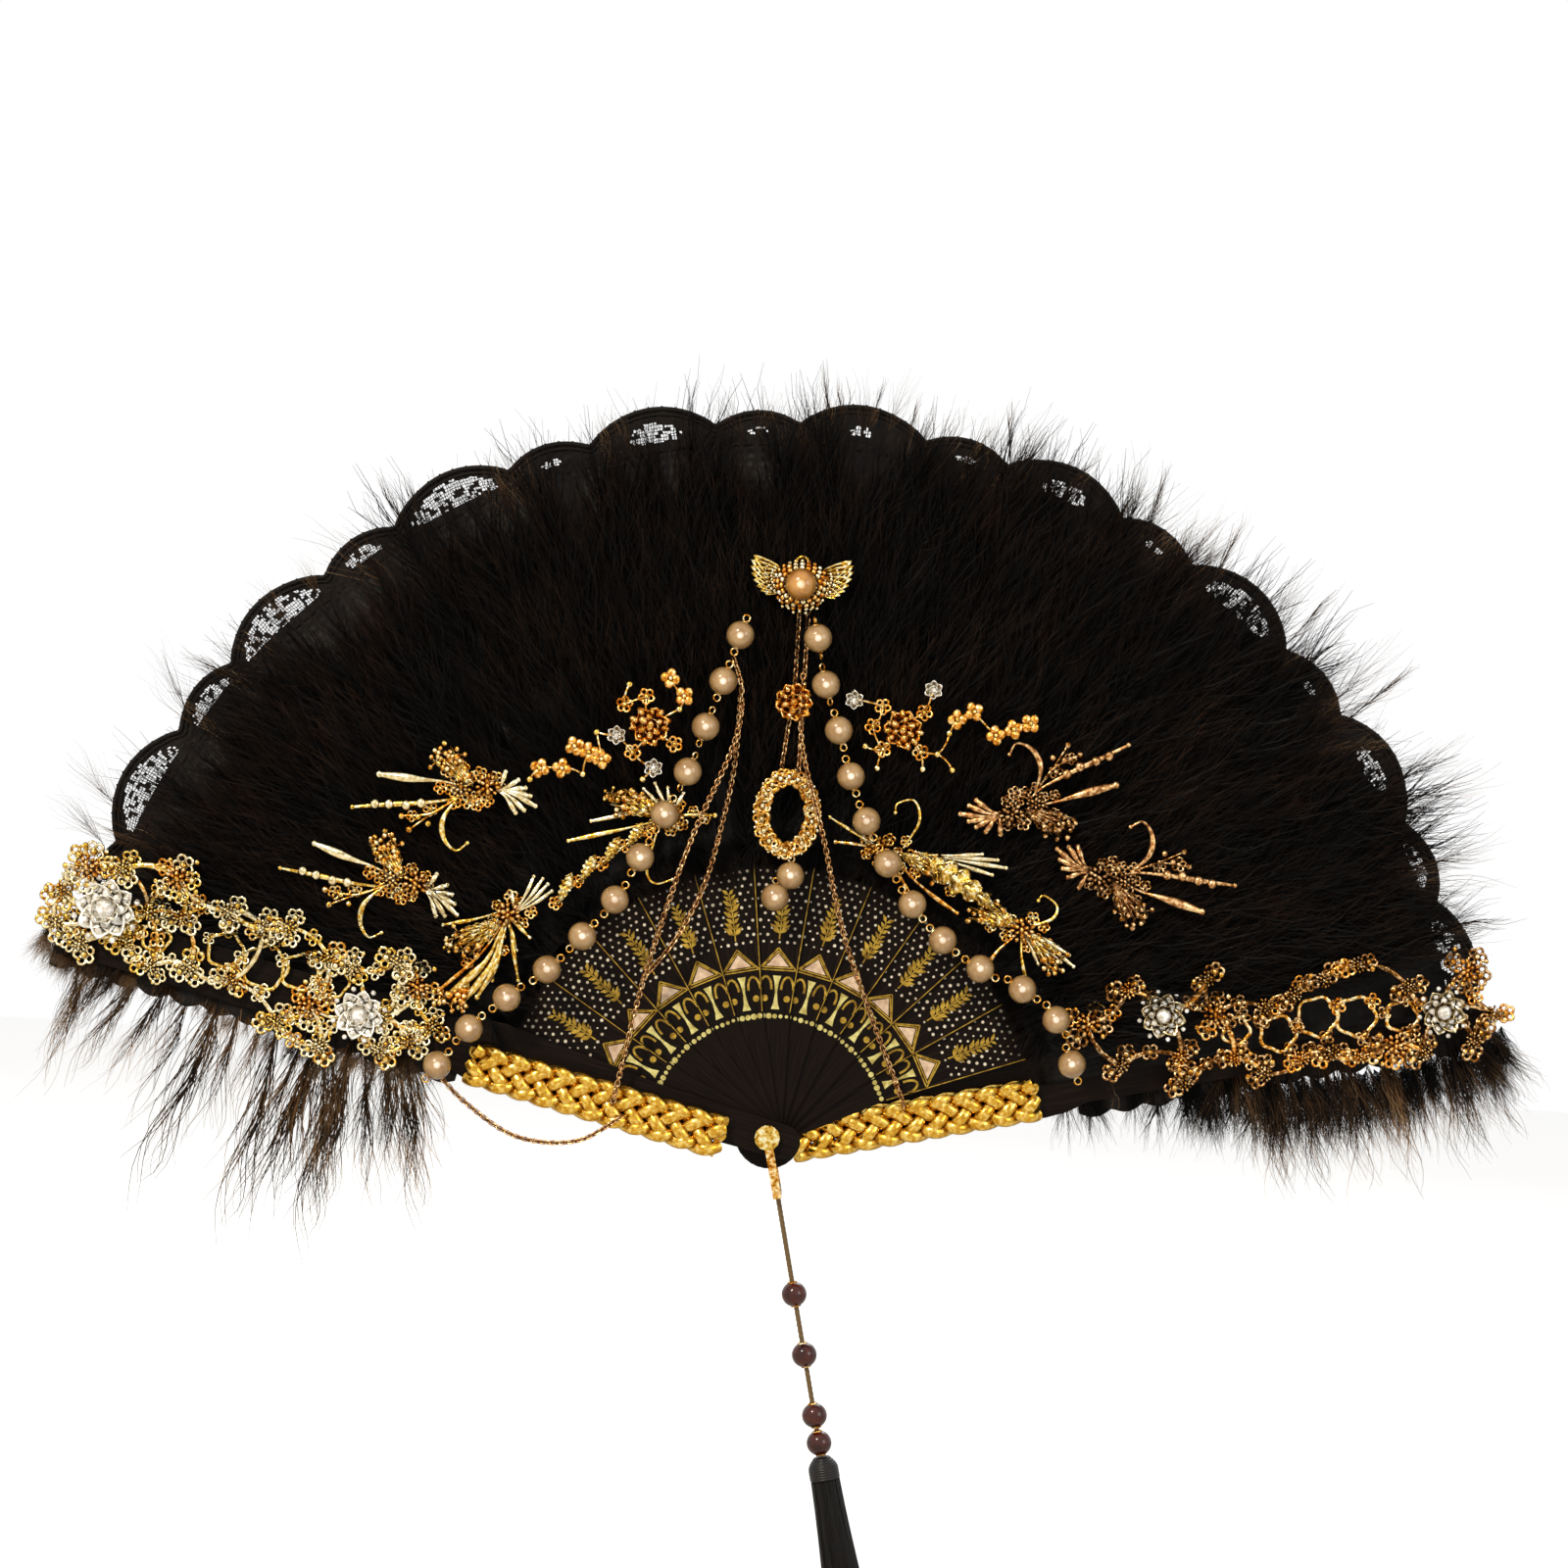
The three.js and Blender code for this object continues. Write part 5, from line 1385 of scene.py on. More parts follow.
def fringe(body, node, locks, plumes, edge, splay, fluff_size, dye, sparse):
    """Long locks and short fluff, which leans by splay degrees. Both thin out on the sparse stretch."""
    rng = random.Random(node)
    long_down, fluff = bmesh.new(), bmesh.new()
    for bm in (long_down, fluff):
        bm.loops.layers.uv.new("strand")
    low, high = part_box(node)
    depth = (low.y + high.y) / 2
    for root_pixel, tip_pixel in locks:
        root, tip = from_photo(root_pixel, depth), from_photo(tip_pixel, depth)
        hang = tip - root
        root = root - hang.normalized() * LOCK_OVERLAP
        for _ in range(1 if sparse[0] < root_pixel[0] < sparse[1] else plumes):
            way = turned(radians(rng.uniform(-LOCK_SPREAD, LOCK_SPREAD))) @ hang
            size = (hang.length + LOCK_OVERLAP) / LOCK_LENGTH * rng.uniform(0.9, 1.3)
            shift = [rng.uniform(-reach, reach) * MM for reach in (4, 1.5, 2)]
            place = root + Vector(shift)
            stamp(long_down, rng.choice(LOCKS), hanging_pose(place, way, size))
    route = smooth_route([from_photo(pixel, depth) for pixel in edge], FLUFF_SPACING)
    ends = [from_photo((x, edge[0][1])).x for x in sparse]
    for place in route:
        for _ in range(rng.choice((0, 1)) if ends[0] < place.x < ends[1] else 2):
            way = turned(radians(-splay + rng.uniform(-FLUFF_SPREAD, FLUFF_SPREAD))) @ Vector((0, 0, -1))
            tuft = rng.choice(COVER_PLUMES)
            stamp(fluff, tuft, hanging_pose(place, way, fluff_size * rng.uniform(0.75, 1.2)))
    for name, bm, material in (("locks", long_down, THIN_DOWN), ("fluff", fluff, dye)):
        piece = finish_piece(f"{node}_{name}", bm, [material], node, body)
        print(piece.name, "faces", len(piece.data.polygons))


fringe("guard_left", "fringe_left", LEFT_LOCKS, 2, LEFT_EDGE, -24, 0.26, THIN_DOWN, (140, 305))
fringe("guard_right", "fringe_right", RIGHT_LOCKS, 3, RIGHT_EDGE, 14, 0.52, DOWN, (1080, 1225))

# %% [markdown]
# A strip of dense black lace is gathered under each guard, between the metal and the fringe. It is a
# rippled grid with a wavy lower edge.

# %% Lace under the guards
RIBBON_START, RIBBON_END = 112 * MM, 262 * MM
RIBBON_TOP, RIBBON_DROP = -4 * MM, 15 * MM
RIPPLE = 0.8 * MM


def ribbon(body, node, side):
    low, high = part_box(node)
    bm = bmesh.new()
    uv = bm.loops.layers.uv.new("cloth")
    bmesh.ops.create_grid(bm, x_segments=14, y_segments=130, size=0.5)
    for vert in bm.verts:
        down, along = vert.co.x + 0.5, vert.co.y + 0.5
        z = RIBBON_START + (RIBBON_END - RIBBON_START) * along
        drop = RIBBON_DROP * (0.86 + 0.14 * abs(sin(40 * along)))
        ripple = RIPPLE * down * sin(55 * along)
        vert.co = (side * (RIBBON_TOP + (drop - RIBBON_TOP) * down), (low.y + high.y) / 2 + ripple, z)
    for face in bm.faces:
        face.smooth = True
        for loop in face.loops:
            loop[uv].uv = (loop.vert.co.x, loop.vert.co.z)
    thicken(bm, LACE_THREAD)
    moved(bm, turned(side * HALF_SPAN))
    outward(bm)
    piece = finish_piece(f"{body}_lace_strip", bm, [LACE], body=body)


ribbon("guard_left", "fringe_left", -1)
ribbon("guard_right", "fringe_right", 1)
print("lace strip length in mm", round((RIBBON_END - RIBBON_START) / MM))

# %% [markdown]
# ## Plaited trims
# A gold plait lies on each guard near the rivet. Five thick strands cross in turn: each one swings from
# side to side, and passes over and under four times while it swings once.

# %% Plaits
PLAIT_STRANDS = 5
STRAND_RADIUS = 2.35 * MM
PLAIT_SWING = 5.8 * MM
PLAIT_RISE = 2.1 * MM
PLAIT_PERIOD = 42 * MM
PLAIT_FLATNESS = 0.7
PLAIT_OFFSET = 4.5 * MM
PLAIT_CORE = 2.75 * MM


def plait(node, body, side, start, length):
    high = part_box(node)[1]
    bm = bmesh.new()
    routes = []
    steps = round(length / (0.9 * MM))
    for strand in range(PLAIT_STRANDS):
        points = []
        for i in range(steps + 1):
            along = length * i / steps
            phase = tau * (along / PLAIT_PERIOD + strand / PLAIT_STRANDS)
            swing, rise = PLAIT_SWING * sin(phase), PLAIT_RISE * sin(4 * phase)
            points.append(Vector((swing, rise, start + along)))
        routes.append((points, STRAND_RADIUS))
    wires(bm, routes, sides=12)
    moved(bm, Matrix.Scale(PLAIT_FLATNESS, 4, (0, 1, 0)))
    middle = Matrix.Translation((side * PLAIT_OFFSET, high.y - PLAIT_CORE, 0))
    moved(bm, turned(side * HALF_SPAN) @ middle)
    return finish_piece(node + "_plait", bm, [PLAIT_GOLD], node, body)


left_plait = plait("braid_trim_left", "guard_left", -1, 16 * MM, 92 * MM)
right_plait = plait("braid_trim_right", "guard_right", 1, 9 * MM, 88 * MM)
print("plait faces", len(left_plait.data.polygons), len(right_plait.data.polygons))

# %% [markdown]
# ## Spray ornaments
# Each spray has a flower at its heart, long quills that swell near one end, a fan of short prongs, and
# small blossoms on wires. The two upper pairs look like dragonflies. The lower pairs have toothed leaves
# set side by side as wings. Each drawing is in millimetres right of and above its heart, which has its
# place in the photograph.

# %% Bent routes and a toothed leaf
CAST, BRIGHT, SILVERED, STONE, AMBER, PALE = range(6)


def bent_route(root, tip, bend, arch, steps=18):
    """A route from root to tip, bent to one side in the plane and arched forward."""
    along = tip - root
    side = Vector((-along.z, 0, along.x)) * bend
    middle = root.lerp(tip, 0.5) + side
    points = []
    for i in range(steps + 1):
        t = i / steps
        point = root * (1 - t) ** 2 + middle * 2 * t * (1 - t) + tip * t ** 2
        points.append(point - Vector((0, arch * sin(pi * t), 0)))
    return points


def leaf_shape(bm):
    """A cast leaf with a deeply toothed edge and raised ribs, one unit long and one wide."""
    grid = bmesh.ops.create_grid(bm, x_segments=8, y_segments=34, size=0.5)["verts"]
    for vert in grid:
        across, along = vert.co.x * 2, vert.co.y + 0.5
        teeth = 0.45 + 0.55 * abs(sin(20 * along - 2 * abs(across)))
        outline = 0.5 * (0.12 + 0.88 * sin(pi * along ** 0.8)) * teeth
        ridge = -0.05 * (1 - abs(across)) - 0.035 * cos(40 * along - 4 * abs(across))
        vert.co = (across * outline, ridge - 0.08 * sin(pi * along), along)
    bmesh.ops.solidify(bm, geom=bm.faces[:], thickness=0.03)
    outward(bm)


LEAF = template(leaf_shape)
print("faces in a leaf", len(LEAF.polygons))

# %% [markdown]
# One class keeps what every drawing needs: the heart's place, the bmesh that is being filled and a random
# source of its own, so that a change to one ornament leaves the others as they are.

# %% An ornament's drawing tools
# Ornaments whose platings are painted darker, as shade on the side away from the key lamp
PAINTED_SHADE_NODES = ("dragonfly_inner_right", "dragonfly_outer_right")


class Ornament:
    """An ornament drawn in millimetres, right and up, round a heart that has its place in the photograph."""

    def __init__(self, node, heart_pixel, turn=0.0):
        low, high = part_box(node)
        self.node = node
        self.back = high.y
        self.heart = from_photo(heart_pixel, low.y + 1.4 * MM)
        self.turn = radians(turn)
        self.bm = bmesh.new()
        self.rng = random.Random(node)

    def at(self, x, z, forward=0.0):
        across = (x * cos(self.turn) - z * sin(self.turn)) * MM
        up = (x * sin(self.turn) + z * cos(self.turn)) * MM
        return self.heart + PHOTO_RIGHT * across + PHOTO_UP * up - Vector((0, forward * MM, 0))

    def stalk(self, points, thin, thick, swell, material, end=0.8):
        """A wire through points that swells into a spindle at a share of its length, and ends in a ball."""
        route = smooth_route([self.at(*point) for point in points], 0.9 * MM)
        radii = []
        for i in range(len(route)):
            t = i / (len(route) - 1)
            radii.append((thin + (thick - thin) * exp(-((t - swell) / 0.25) ** 2)) * MM)
        wires(self.bm, [(route, radii)], sides=8, material=material)
        if end:
            stamp(self.bm, BALL, facing(route[-1], end * MM), material)

    def leaf(self, root, tip, width, material):
        start, end = self.at(*root), self.at(*tip)
        way = end - start
        pose = Matrix.Translation(start) @ turned(atan2(way.x, way.z))
        sizes = Matrix.Diagonal((width * MM, way.length, way.length, 1))
        stamp(self.bm, LEAF, pose @ sizes, material)

    def balls(self, places, radius, material):
        for place in places:
            stamp(self.bm, BALL, facing(self.at(*place), radius * MM), material)

    def blossoms(self, places, radius, material):
        for place in places:
            size = radius * self.rng.uniform(0.85, 1.15) * MM
            ring_blossom(self.bm, self.at(*place), size, 5, self.rng.random(), material, BRIGHT)

    def wing(self, root, tips, width):
        """A lacy wing: narrow leaves side by side, with lumps on them and pins at their tips."""
        for x, z in tips:
            self.leaf((*root, 0.4), (x, z, 0.9), width * self.rng.uniform(0.7, 1.1), BRIGHT)
            inner = (0.88 * x + 0.12 * root[0], 0.88 * z + 0.12 * root[1], 0.9)
            self.burst(inner, 2.3, 3, CAST, 1.0)
            for share in (0.3, 0.5, 0.7):
                lump = (root[0] + share * (x - root[0]), root[1] + share * (z - root[1]), 1.3)
                self.balls([lump], self.rng.uniform(1.0, 1.6), AMBER)

    def burst(self, place, reach, count, material, end_size=0.7):
        """Short pins with ball ends all round a place."""
        centre = self.at(*place)
        for i in range(count):
            turn = tau * (i + self.rng.random()) / count
            end = centre + polar(reach * self.rng.uniform(0.7, 1.1) * MM, turn, -self.rng.uniform(0.5, 2) * MM)
            wires(self.bm, [([centre, end], 0.3 * MM)], sides=6, material=material)
            stamp(self.bm, BALL, facing(end, end_size * MM), material)

    def finish(self, body, pin=(0, 0)):
        start = self.at(*pin)
        wires(self.bm, [([start, Vector((start.x, self.back, start.z))], 0.6 * MM)], sides=8, material=CAST)
        materials = [CAST_GOLD, BRIGHT_GOLD, SILVER, CRYSTAL, AMBER_GOLD, PALE_GOLD]
        # Painted shade: the right-hand dragonflies take darker copies of the platings, as their side lies away
        # from the key lamp
        if self.node in PAINTED_SHADE_NODES:
            materials = [PAINTED_SHADE_GOLD, CHAIN_GOLD, SILVER, CRYSTAL, PAINTED_SHADE_GOLD, CHAIN_GOLD]
        piece = finish_piece(self.node + "_ornament", self.bm, materials, self.node, body)
        print(piece.name, "faces", len(piece.data.polygons))


print("nodes with browner plating", len(PAINTED_SHADE_NODES))

# %% [markdown]
# The four upper sprays are the same casting, turned. Each looks like a dragonfly, with a body of blossoms,
# thick prongs for a tail, two long quills, one lacy wing and a hooked tendril.

# %% Dragonflies
def dragonfly(node, pixel, turn, body):
    o = Ornament(node, pixel, turn)
    dense_flower(o.bm, o.at(7.7, 1.0, 1.4), 4.4 * MM, o.rng, AMBER, BRIGHT)
    dense_flower(o.bm, o.at(-1.5, 0.5, 1.0), 3.6 * MM, o.rng, CAST, BRIGHT)
    for tip in ((24.5, -6.0), (22.7, -2.5), (21.0, 0.4), (17.5, -8.4), (20.5, -7.5), (14.0, 6.0), (18.5, 3.2)):
        middle = (11.2 + 0.5 * (tip[0] - 11.2), -0.4 + 0.35 * (tip[1] + 0.4), 1.2)
        o.stalk([(11.2, -0.4), middle, tip], 0.5, 1.2, 0.78, PALE, 1.1)
    o.wing((2.5, 1.0), [(-8.7, 14.0), (-3.0, 13.4), (-12.4, 10.4), (-6.0, 9.5), (-5.6, 15.4), (-11.4, 13.6)],
           2.4)
    o.balls([(-10.5, 13, 0.8), (-7.5, 16, 0.6), (-5, 12, 1.0), (-9.5, 9, 1.0), (-2.2, 7.5, 1.0)], 1.2, BRIGHT)
    o.stalk([(0, 1), (-8.7, 2.8), (-16, 3.4, 1.2), (-30.5, 5.2)], 0.5, 1.9, 0.74, PALE, 1.4)
    o.stalk([(0, -1), (-5, -3.5), (-16, -4.9, 1.2), (-27, -5.4), (-40, -6.3)], 0.5, 1.2, 0.62, BRIGHT, 1.0)
    o.balls([(-15.7, -4.9, 1.0), (-21, -5.6, 1.0), (-27, -5.3, 0.8), (-32, -5.2, 0.5)], 1.9, PALE)
    o.stalk([(-3, -3), (-12, -8.5, 0.8), (-22.7, -9.5)], 0.35, 0.4, 0.5, CAST, 1.3)
    o.stalk([(-8, -6), (-14, -10), (-20, -14.3)], 0.35, 0.4, 0.5, CAST, 1.3)
    o.balls([(-16.8, -9.8, 0.4), (-13.3, -12.2, 0.4)], 1.2, BRIGHT)
    o.stalk([(-3, -3), (-8, -10.5, 0.6), (-7.7, -17.5), (-3.5, -21.7), (0.5, -19)], 0.4, 1.3, 0.45, BRIGHT, 0.9)
    o.blossoms([(1.5, 3.8), (3.5, -2.6), (-3, 4.2), (-5, -0.5), (5, 5.4), (-6.5, 6.5), (0.5, -4.4), (10.5, 3.8),
                (-12.5, -7.0), (-19, -9.5)], 2.4, CAST)
    o.blossoms([(-9, 0.4), (4, -5.6), (-1, 7.4), (7.5, -4.0), (-4.0, -4.8), (12.6, 0.2)], 2.3, AMBER)
    o.finish(body)


dragonfly("dragonfly_inner_left", (480, 805), 0, "rib_03")
dragonfly("dragonfly_outer_left", (407, 897), -15, "rib_01")
dragonfly("dragonfly_inner_right", (1050, 820), 202, "rib_09")
dragonfly("dragonfly_outer_right", (1142, 897), 168, "rib_11")

# %% [markdown]
# The four lower sprays are castings of their own, so each has its own drawing: a domed flower, lacy wings
# of leaves, quills with a swelling, a few hooked tendrils and blossoms over the joints.

# %% Left sprays
def phoenix_outer_left(node, body):
    o = Ornament(node, (522, 932))
    dense_flower(o.bm, o.at(0, 0, 1.4), 4.6 * MM, o.rng, AMBER, BRIGHT)
    for tip in ((14, 10.9), (12.2, 12.8), (15.4, 8.4), (9, 13.6), (1.4, 8.0)):
        o.stalk([(2.0, 0.7), (0.55 * tip[0] + 1, 0.5 * tip[1], 1.0), tip], 0.42, 0.85, 0.72, PALE, 0.85)
    o.wing((-2.5, -2.0), [(-21.7, -9.2), (-22.4, -12.6), (-18.0, -13.6), (-20.0, -6.4), (-14.0, -14.6)], 4.0)
    for tip in ((-24.0, -30.5), (-17.5, -32.5), (-11.0, -29.0)):
        o.stalk([(-2.0, -4.0), (0.35 * tip[0], 0.55 * tip[1], 1.0), tip], 0.6, 1.7, 0.62, BRIGHT, 1.2)
    o.wing((-14.0, -24.0), [(-21, -32.6), (-17.0, -33.6), (-23.5, -30.0)], 3.2)
    for tip in ((3.5, -23.1), (-5.6, -23.1), (2.8, -12.5), (7.5, -8.0)):
        o.stalk([(0, -1), (0.5 * tip[0], 0.5 * tip[1], 0.9), tip], 0.4, 0.95, 0.6, BRIGHT, 0.9)
    o.stalk([(-2, -3), (-10, -14, 1.2), (-24.5, -26.6)], 0.4, 0.8, 0.8, AMBER, 0.9)
    o.stalk([(-3, 1), (-12, -1.5, 1.0), (-23, -3.5)], 0.4, 0.9, 0.7, BRIGHT, 0.9)
    o.burst((-20, -10.5, 0.6), 3.0, 6, BRIGHT)
    o.blossoms([(4, 4), (-4, 3.4), (5, -3), (-5.5, -2), (1, 6.4), (-8, -6), (-3, -8), (-13, -6)], 2.3, CAST)
    o.blossoms([(-11, -11), (-14.5, -17), (-1.5, -12.5), (8, 1)], 2.1, AMBER)
    o.finish(body)


def phoenix_inner_left(node, body):
    o = Ornament(node, (686, 832))
    dense_flower(o.bm, o.at(0, 0, 1.4), 4.4 * MM, o.rng, AMBER, BRIGHT)
    o.wing((-3.0, 0.6), [(-22.5, 8.7), (-22.0, 4.2), (-17.0, 9.8), (-19.0, 1.4), (-13.0, 8.6)], 3.8)
    o.stalk([(-2, -1), (-14.7, -4.2, 1.2), (-36, -8.8)], 0.42, 1.1, 0.75, BRIGHT, 0.9)
    o.stalk([(-2, 0), (-14, 0.6, 1.0), (-28, -1.8)], 0.4, 0.9, 0.75, PALE, 0.9)
    chain = [(-8, -5.5), (-16.1, -10.5), (-24.5, -16.8), (-32.9, -23.1), (-40.6, -30.8)]
    o.stalk([(-1, -1), *chain], 0.5, 0.6, 0.5, CAST, 0)
    for start, end in zip(chain, chain[1:]):
        o.leaf((start[0] - 2, start[1] + 3.0, 0.6), (end[0] + 1, end[1] - 0.5, 0.6), 4.6, BRIGHT)
    o.blossoms(chain, 2.5, AMBER)
    o.stalk([(-5, -6), (-8.4, -18.9, 0.6), (-5.6, -23.8), (0.7, -22.4)], 0.4, 0.7, 0.4, BRIGHT, 0.9)
    o.stalk([(1, 0), (7.7, 0.4, 0.6), (15.5, 0.2)], 0.45, 0.7, 0.5, BRIGHT, 1.1)
    for tip in ((-9.5, 9.5), (-5.5, 11.5), (-1.0, 10.0), (4.5, 8.0)):
        o.stalk([(0, 1), (0.5 * tip[0], 0.5 * tip[1], 0.9), tip], 0.4, 0.8, 0.7, PALE, 0.85)
    o.burst((-21, 7.0, 0.6), 3.0, 6, BRIGHT)
    o.blossoms([(-4, 4), (4, -3), (-6, -3), (3, 4), (-12, 2.5), (0, -5), (8, 1.5), (12, -1)], 2.2, CAST)
    o.finish(body)


phoenix_outer_left("phoenix_spray_outer_left", "rib_01")
phoenix_inner_left("phoenix_spray_inner_left", "rib_05")

# %% Right sprays
def phoenix_inner_right(node, body):
    o = Ornament(node, (895, 865))
    dense_flower(o.bm, o.at(0, 0, 1.4), 4.4 * MM, o.rng, AMBER, BRIGHT)
    o.leaf((15, -1.8, 0.6), (44, -22.8, 0.8), 10.5, BRIGHT)
    o.wing((8, -2.0), [(27, -8.5), (24, -5.0), (22, -11.5), (29, -12.0)], 3.4)
    for tip in ((45.5, -7.0), (42.5, -4.2), (40.5, -9.5), (37.0, -2.2)):
        o.stalk([(18, -2.5), (0.5 * tip[0] + 10, 0.5 * tip[1] - 1.5, 1.0), tip], 0.42, 0.95, 0.75, PALE, 0.9)
    o.stalk([(9, 0), (14.7, 9.5, 0.6), (13, 16.8), (7.0, 15.8), (6.2, 12.6)], 0.4, 0.7, 0.4, BRIGHT, 0.9)
    o.stalk([(8, -6), (16, -14, 1.0), (28, -23)], 0.42, 0.95, 0.7, AMBER, 0.9)
    o.stalk([(5, -4), (9, -12, 1.0), (14, -21)], 0.4, 0.8, 0.7, CAST, 0.9)
    o.stalk([(-1, 1), (-9, 6, 0.8), (-17, 11)], 0.4, 0.8, 0.6, BRIGHT, 0.9)
    o.stalk([(-1, 0), (-8, 1.5, 0.8), (-15, 2.2)], 0.4, 0.7, 0.6, CAST, 0.9)
    o.burst((5, -5, 0.6), 4.0, 7, BRIGHT)
    o.blossoms([(4, 3), (-4, 3), (4, -4), (8, -7), (12, -3), (0, -5.5), (16, -6), (21, -10), (10, 2.5)], 2.3,
               CAST)
    o.blossoms([(7, -1.5), (13, -9), (26, -15), (-4, -2)], 2.1, AMBER)
    o.finish(body)


def phoenix_outer_right(node, body):
    o = Ornament(node, (1041, 948))
    dense_flower(o.bm, o.at(0, 0, 1.4), 4.6 * MM, o.rng, AMBER, BRIGHT)
    for tip in ((14, -11.5), (10.5, -13.5), (17, -9), (6, -12), (13, -6.0), (18.5, -13)):
        o.stalk([(0, -1), (0.5 * tip[0], 0.45 * tip[1], 1.0), tip], 0.42, 0.9, 0.75, PALE, 0.9)
    o.wing((-2, 1.5), [(-19, 8.5), (-15, 11.0), (-19.5, 4.5), (-12, 12.0)], 3.6)
    o.wing((2, 0), [(14.5, -15.5), (10.5, -15.0), (16.5, -11.5)], 3.2)
    o.stalk([(3, 1), (11, 4, 0.8), (12.6, 8.5), (8, 12.2), (6, 10.4)], 0.4, 0.7, 0.4, BRIGHT, 0.9)
    o.stalk([(-2, -2), (-9, -8, 1.0), (-14, -16)], 0.4, 0.85, 0.7, AMBER, 0.9)
    o.stalk([(0, -2), (0, -10, 1.0), (2, -19)], 0.4, 0.8, 0.7, BRIGHT, 0.9)
    o.burst((-12, 5, 0.6), 3.4, 7, BRIGHT)
    o.blossoms([(4, 4), (-4, 3.4), (5, -3), (-5.5, -2), (-9, 6.5), (9, -5), (-11, 1)], 2.3, CAST)
    o.blossoms([(-7, 2), (2, -6), (8, 1)], 2.1, AMBER)
    o.finish(body)


phoenix_inner_right("phoenix_spray_inner_right", "rib_07")
phoenix_outer_right("phoenix_spray_outer_right", "rib_11")

# %% [markdown]
# ## Filigree bands
# The bands are cast openwork: clusters of blossoms joined by short bent twigs, some open rings, and a few
# crystal flowers. The clusters stand where the photograph shows the main ones, and each is joined to its
# nearest neighbours. The right-hand castings have darker plating: painted shade for the side away from the key
# lamp.

# %% Places on the bands
LEFT_CRYSTALS = [((116, 926), 66), ((371, 1033), 54)]
LEFT_CLUSTERS = [
    (98, 884), (190, 895), (192, 935), (135, 960), (240, 928), (275, 945), (302, 945),
    (340, 975), (365, 985), (430, 1005), (320, 1025), (330, 1065), (240, 1000), (200, 985), (160, 985),
    (390, 1070), (420, 1060), (445, 1045), (410, 980), (285, 1040), (70, 908), (64, 940), (88, 962), (158, 930),
    (395, 1035), (135, 885),
]
LEFT_LOOPS = [((235, 968), 18), ((275, 985), 22), ((310, 990), 18), ((345, 1000), 15), ((165, 955), 14)]
RIGHT_CRYSTALS = [((1186, 1036), 50), ((1473, 1033), 50)]
RIGHT_CLUSTERS = [
    (1110, 1045), (1145, 1087), (1231, 998), (1240, 1035), (1206, 1078), (1260, 1081), (1291, 1096),
    (1210, 1105), (1291, 1027), (1350, 1000), (1384, 984), (1437, 1007), (1497, 990), (1425, 1068),
    (1505, 1062), (1525, 1035),
    (1329, 1081), (1360, 1075), (1150, 1010), (1390, 1078), (1320, 1015), (1455, 1075),
]
RIGHT_LOOPS = [((1305, 1055), 18), ((1345, 1038), 20), ((1385, 1038), 20), ((1432, 1038), 16),
               ((1262, 1052), 14)]
TALL_CLUSTERS = {(98, 884), (190, 895), (430, 1005), (320, 1025),
                 (1110, 1045), (1240, 1035), (1497, 990), (1425, 1068)}
print("clusters", len(LEFT_CLUSTERS), len(RIGHT_CLUSTERS))

# %% [markdown]
# A band's parts come first: the cast branch that joins two clusters, the cluster itself, and the crystal
# flower with silvered petals. Slots have the same numbers as in the sprays.

# %% Twigs, clusters and crystal flowers
def twig(bm, start, end, bow, radius, material):
    """A short cast branch between two places, thicker at its ends, with a swelling on it."""
    points = bent_route(start, end, bow, 0.5 * MM, 10)
    radii = [radius * (0.85 + 0.3 * abs(cos(pi * i / 10)) + 0.35 * (i == 5)) for i in range(11)]
    wires(bm, [(points, radii)], sides=8, material=material)


def blossom_cluster(bm, place, radius, rng, heart, tones, buds):
    """A small flower among ring blossoms and seeds."""
    dense_flower(bm, place - Vector((0, 0.6 * MM, 0)), 0.66 * radius, rng, heart, BRIGHT)
    count = buds if radius < 6 * MM else buds + 2
    for i in range(count):
        turn = tau * (i + 0.5 * rng.random()) / count
        bud = place + polar(radius * rng.uniform(0.75, 1.0), turn, rng.uniform(-0.5, 0.5) * MM)
        ring_blossom(bm, bud, rng.uniform(3.1, 4.1) * MM, 5, rng.random(), rng.choice((*tones, heart)), BRIGHT)
        seed = place + polar(radius * rng.uniform(1.0, 1.35), turn + 0.5, -0.3 * MM)
        stamp(bm, SEED, facing(seed, rng.uniform(0.9, 1.3) * MM), BRIGHT)


def crystal_flower(bm, place, radius):
    """Silvered petals in two rows, with stones in three rings round a larger one."""
    for i in range(8):
        turn = 0.2 + tau * i / 8
        stamp(bm, PETAL, facing(place, radius, turn, 0.15), SILVERED)
        stamp(bm, PETAL, facing(place - Vector((0, 0.1 * radius, 0)), 0.6 * radius, turn + 0.3, 0.5), SILVERED)
    for i in range(24):
        reach, size = ((0.46, 0.14), (0.72, 0.12), (0.98, 0.1))[i % 3]
        stone = place + polar(reach * radius, tau * i / 24, -0.16 * radius)
        stamp(bm, GEM, facing(stone, size * radius), STONE)
    stamp(bm, GEM, facing(place + Vector((0, -0.42 * radius, 0)), 0.3 * radius), STONE)


bm = bmesh.new()
crystal_flower(bm, Vector(), 10 * MM)
print("faces in a crystal flower", len(bm.faces))
bm.free()

# %% [markdown]
# A band is filled in four rounds: branches between near clusters, open loops, the clusters, and the crystal
# flowers. Its inner side climbs forward, because the feathers lie thicker there.

# %% Filigree
NEAR_FEATHERS = 9 * MM
CLIMB = 0.32
LONGEST_TWIG = 26 * MM
LOOP_STEPS = 32


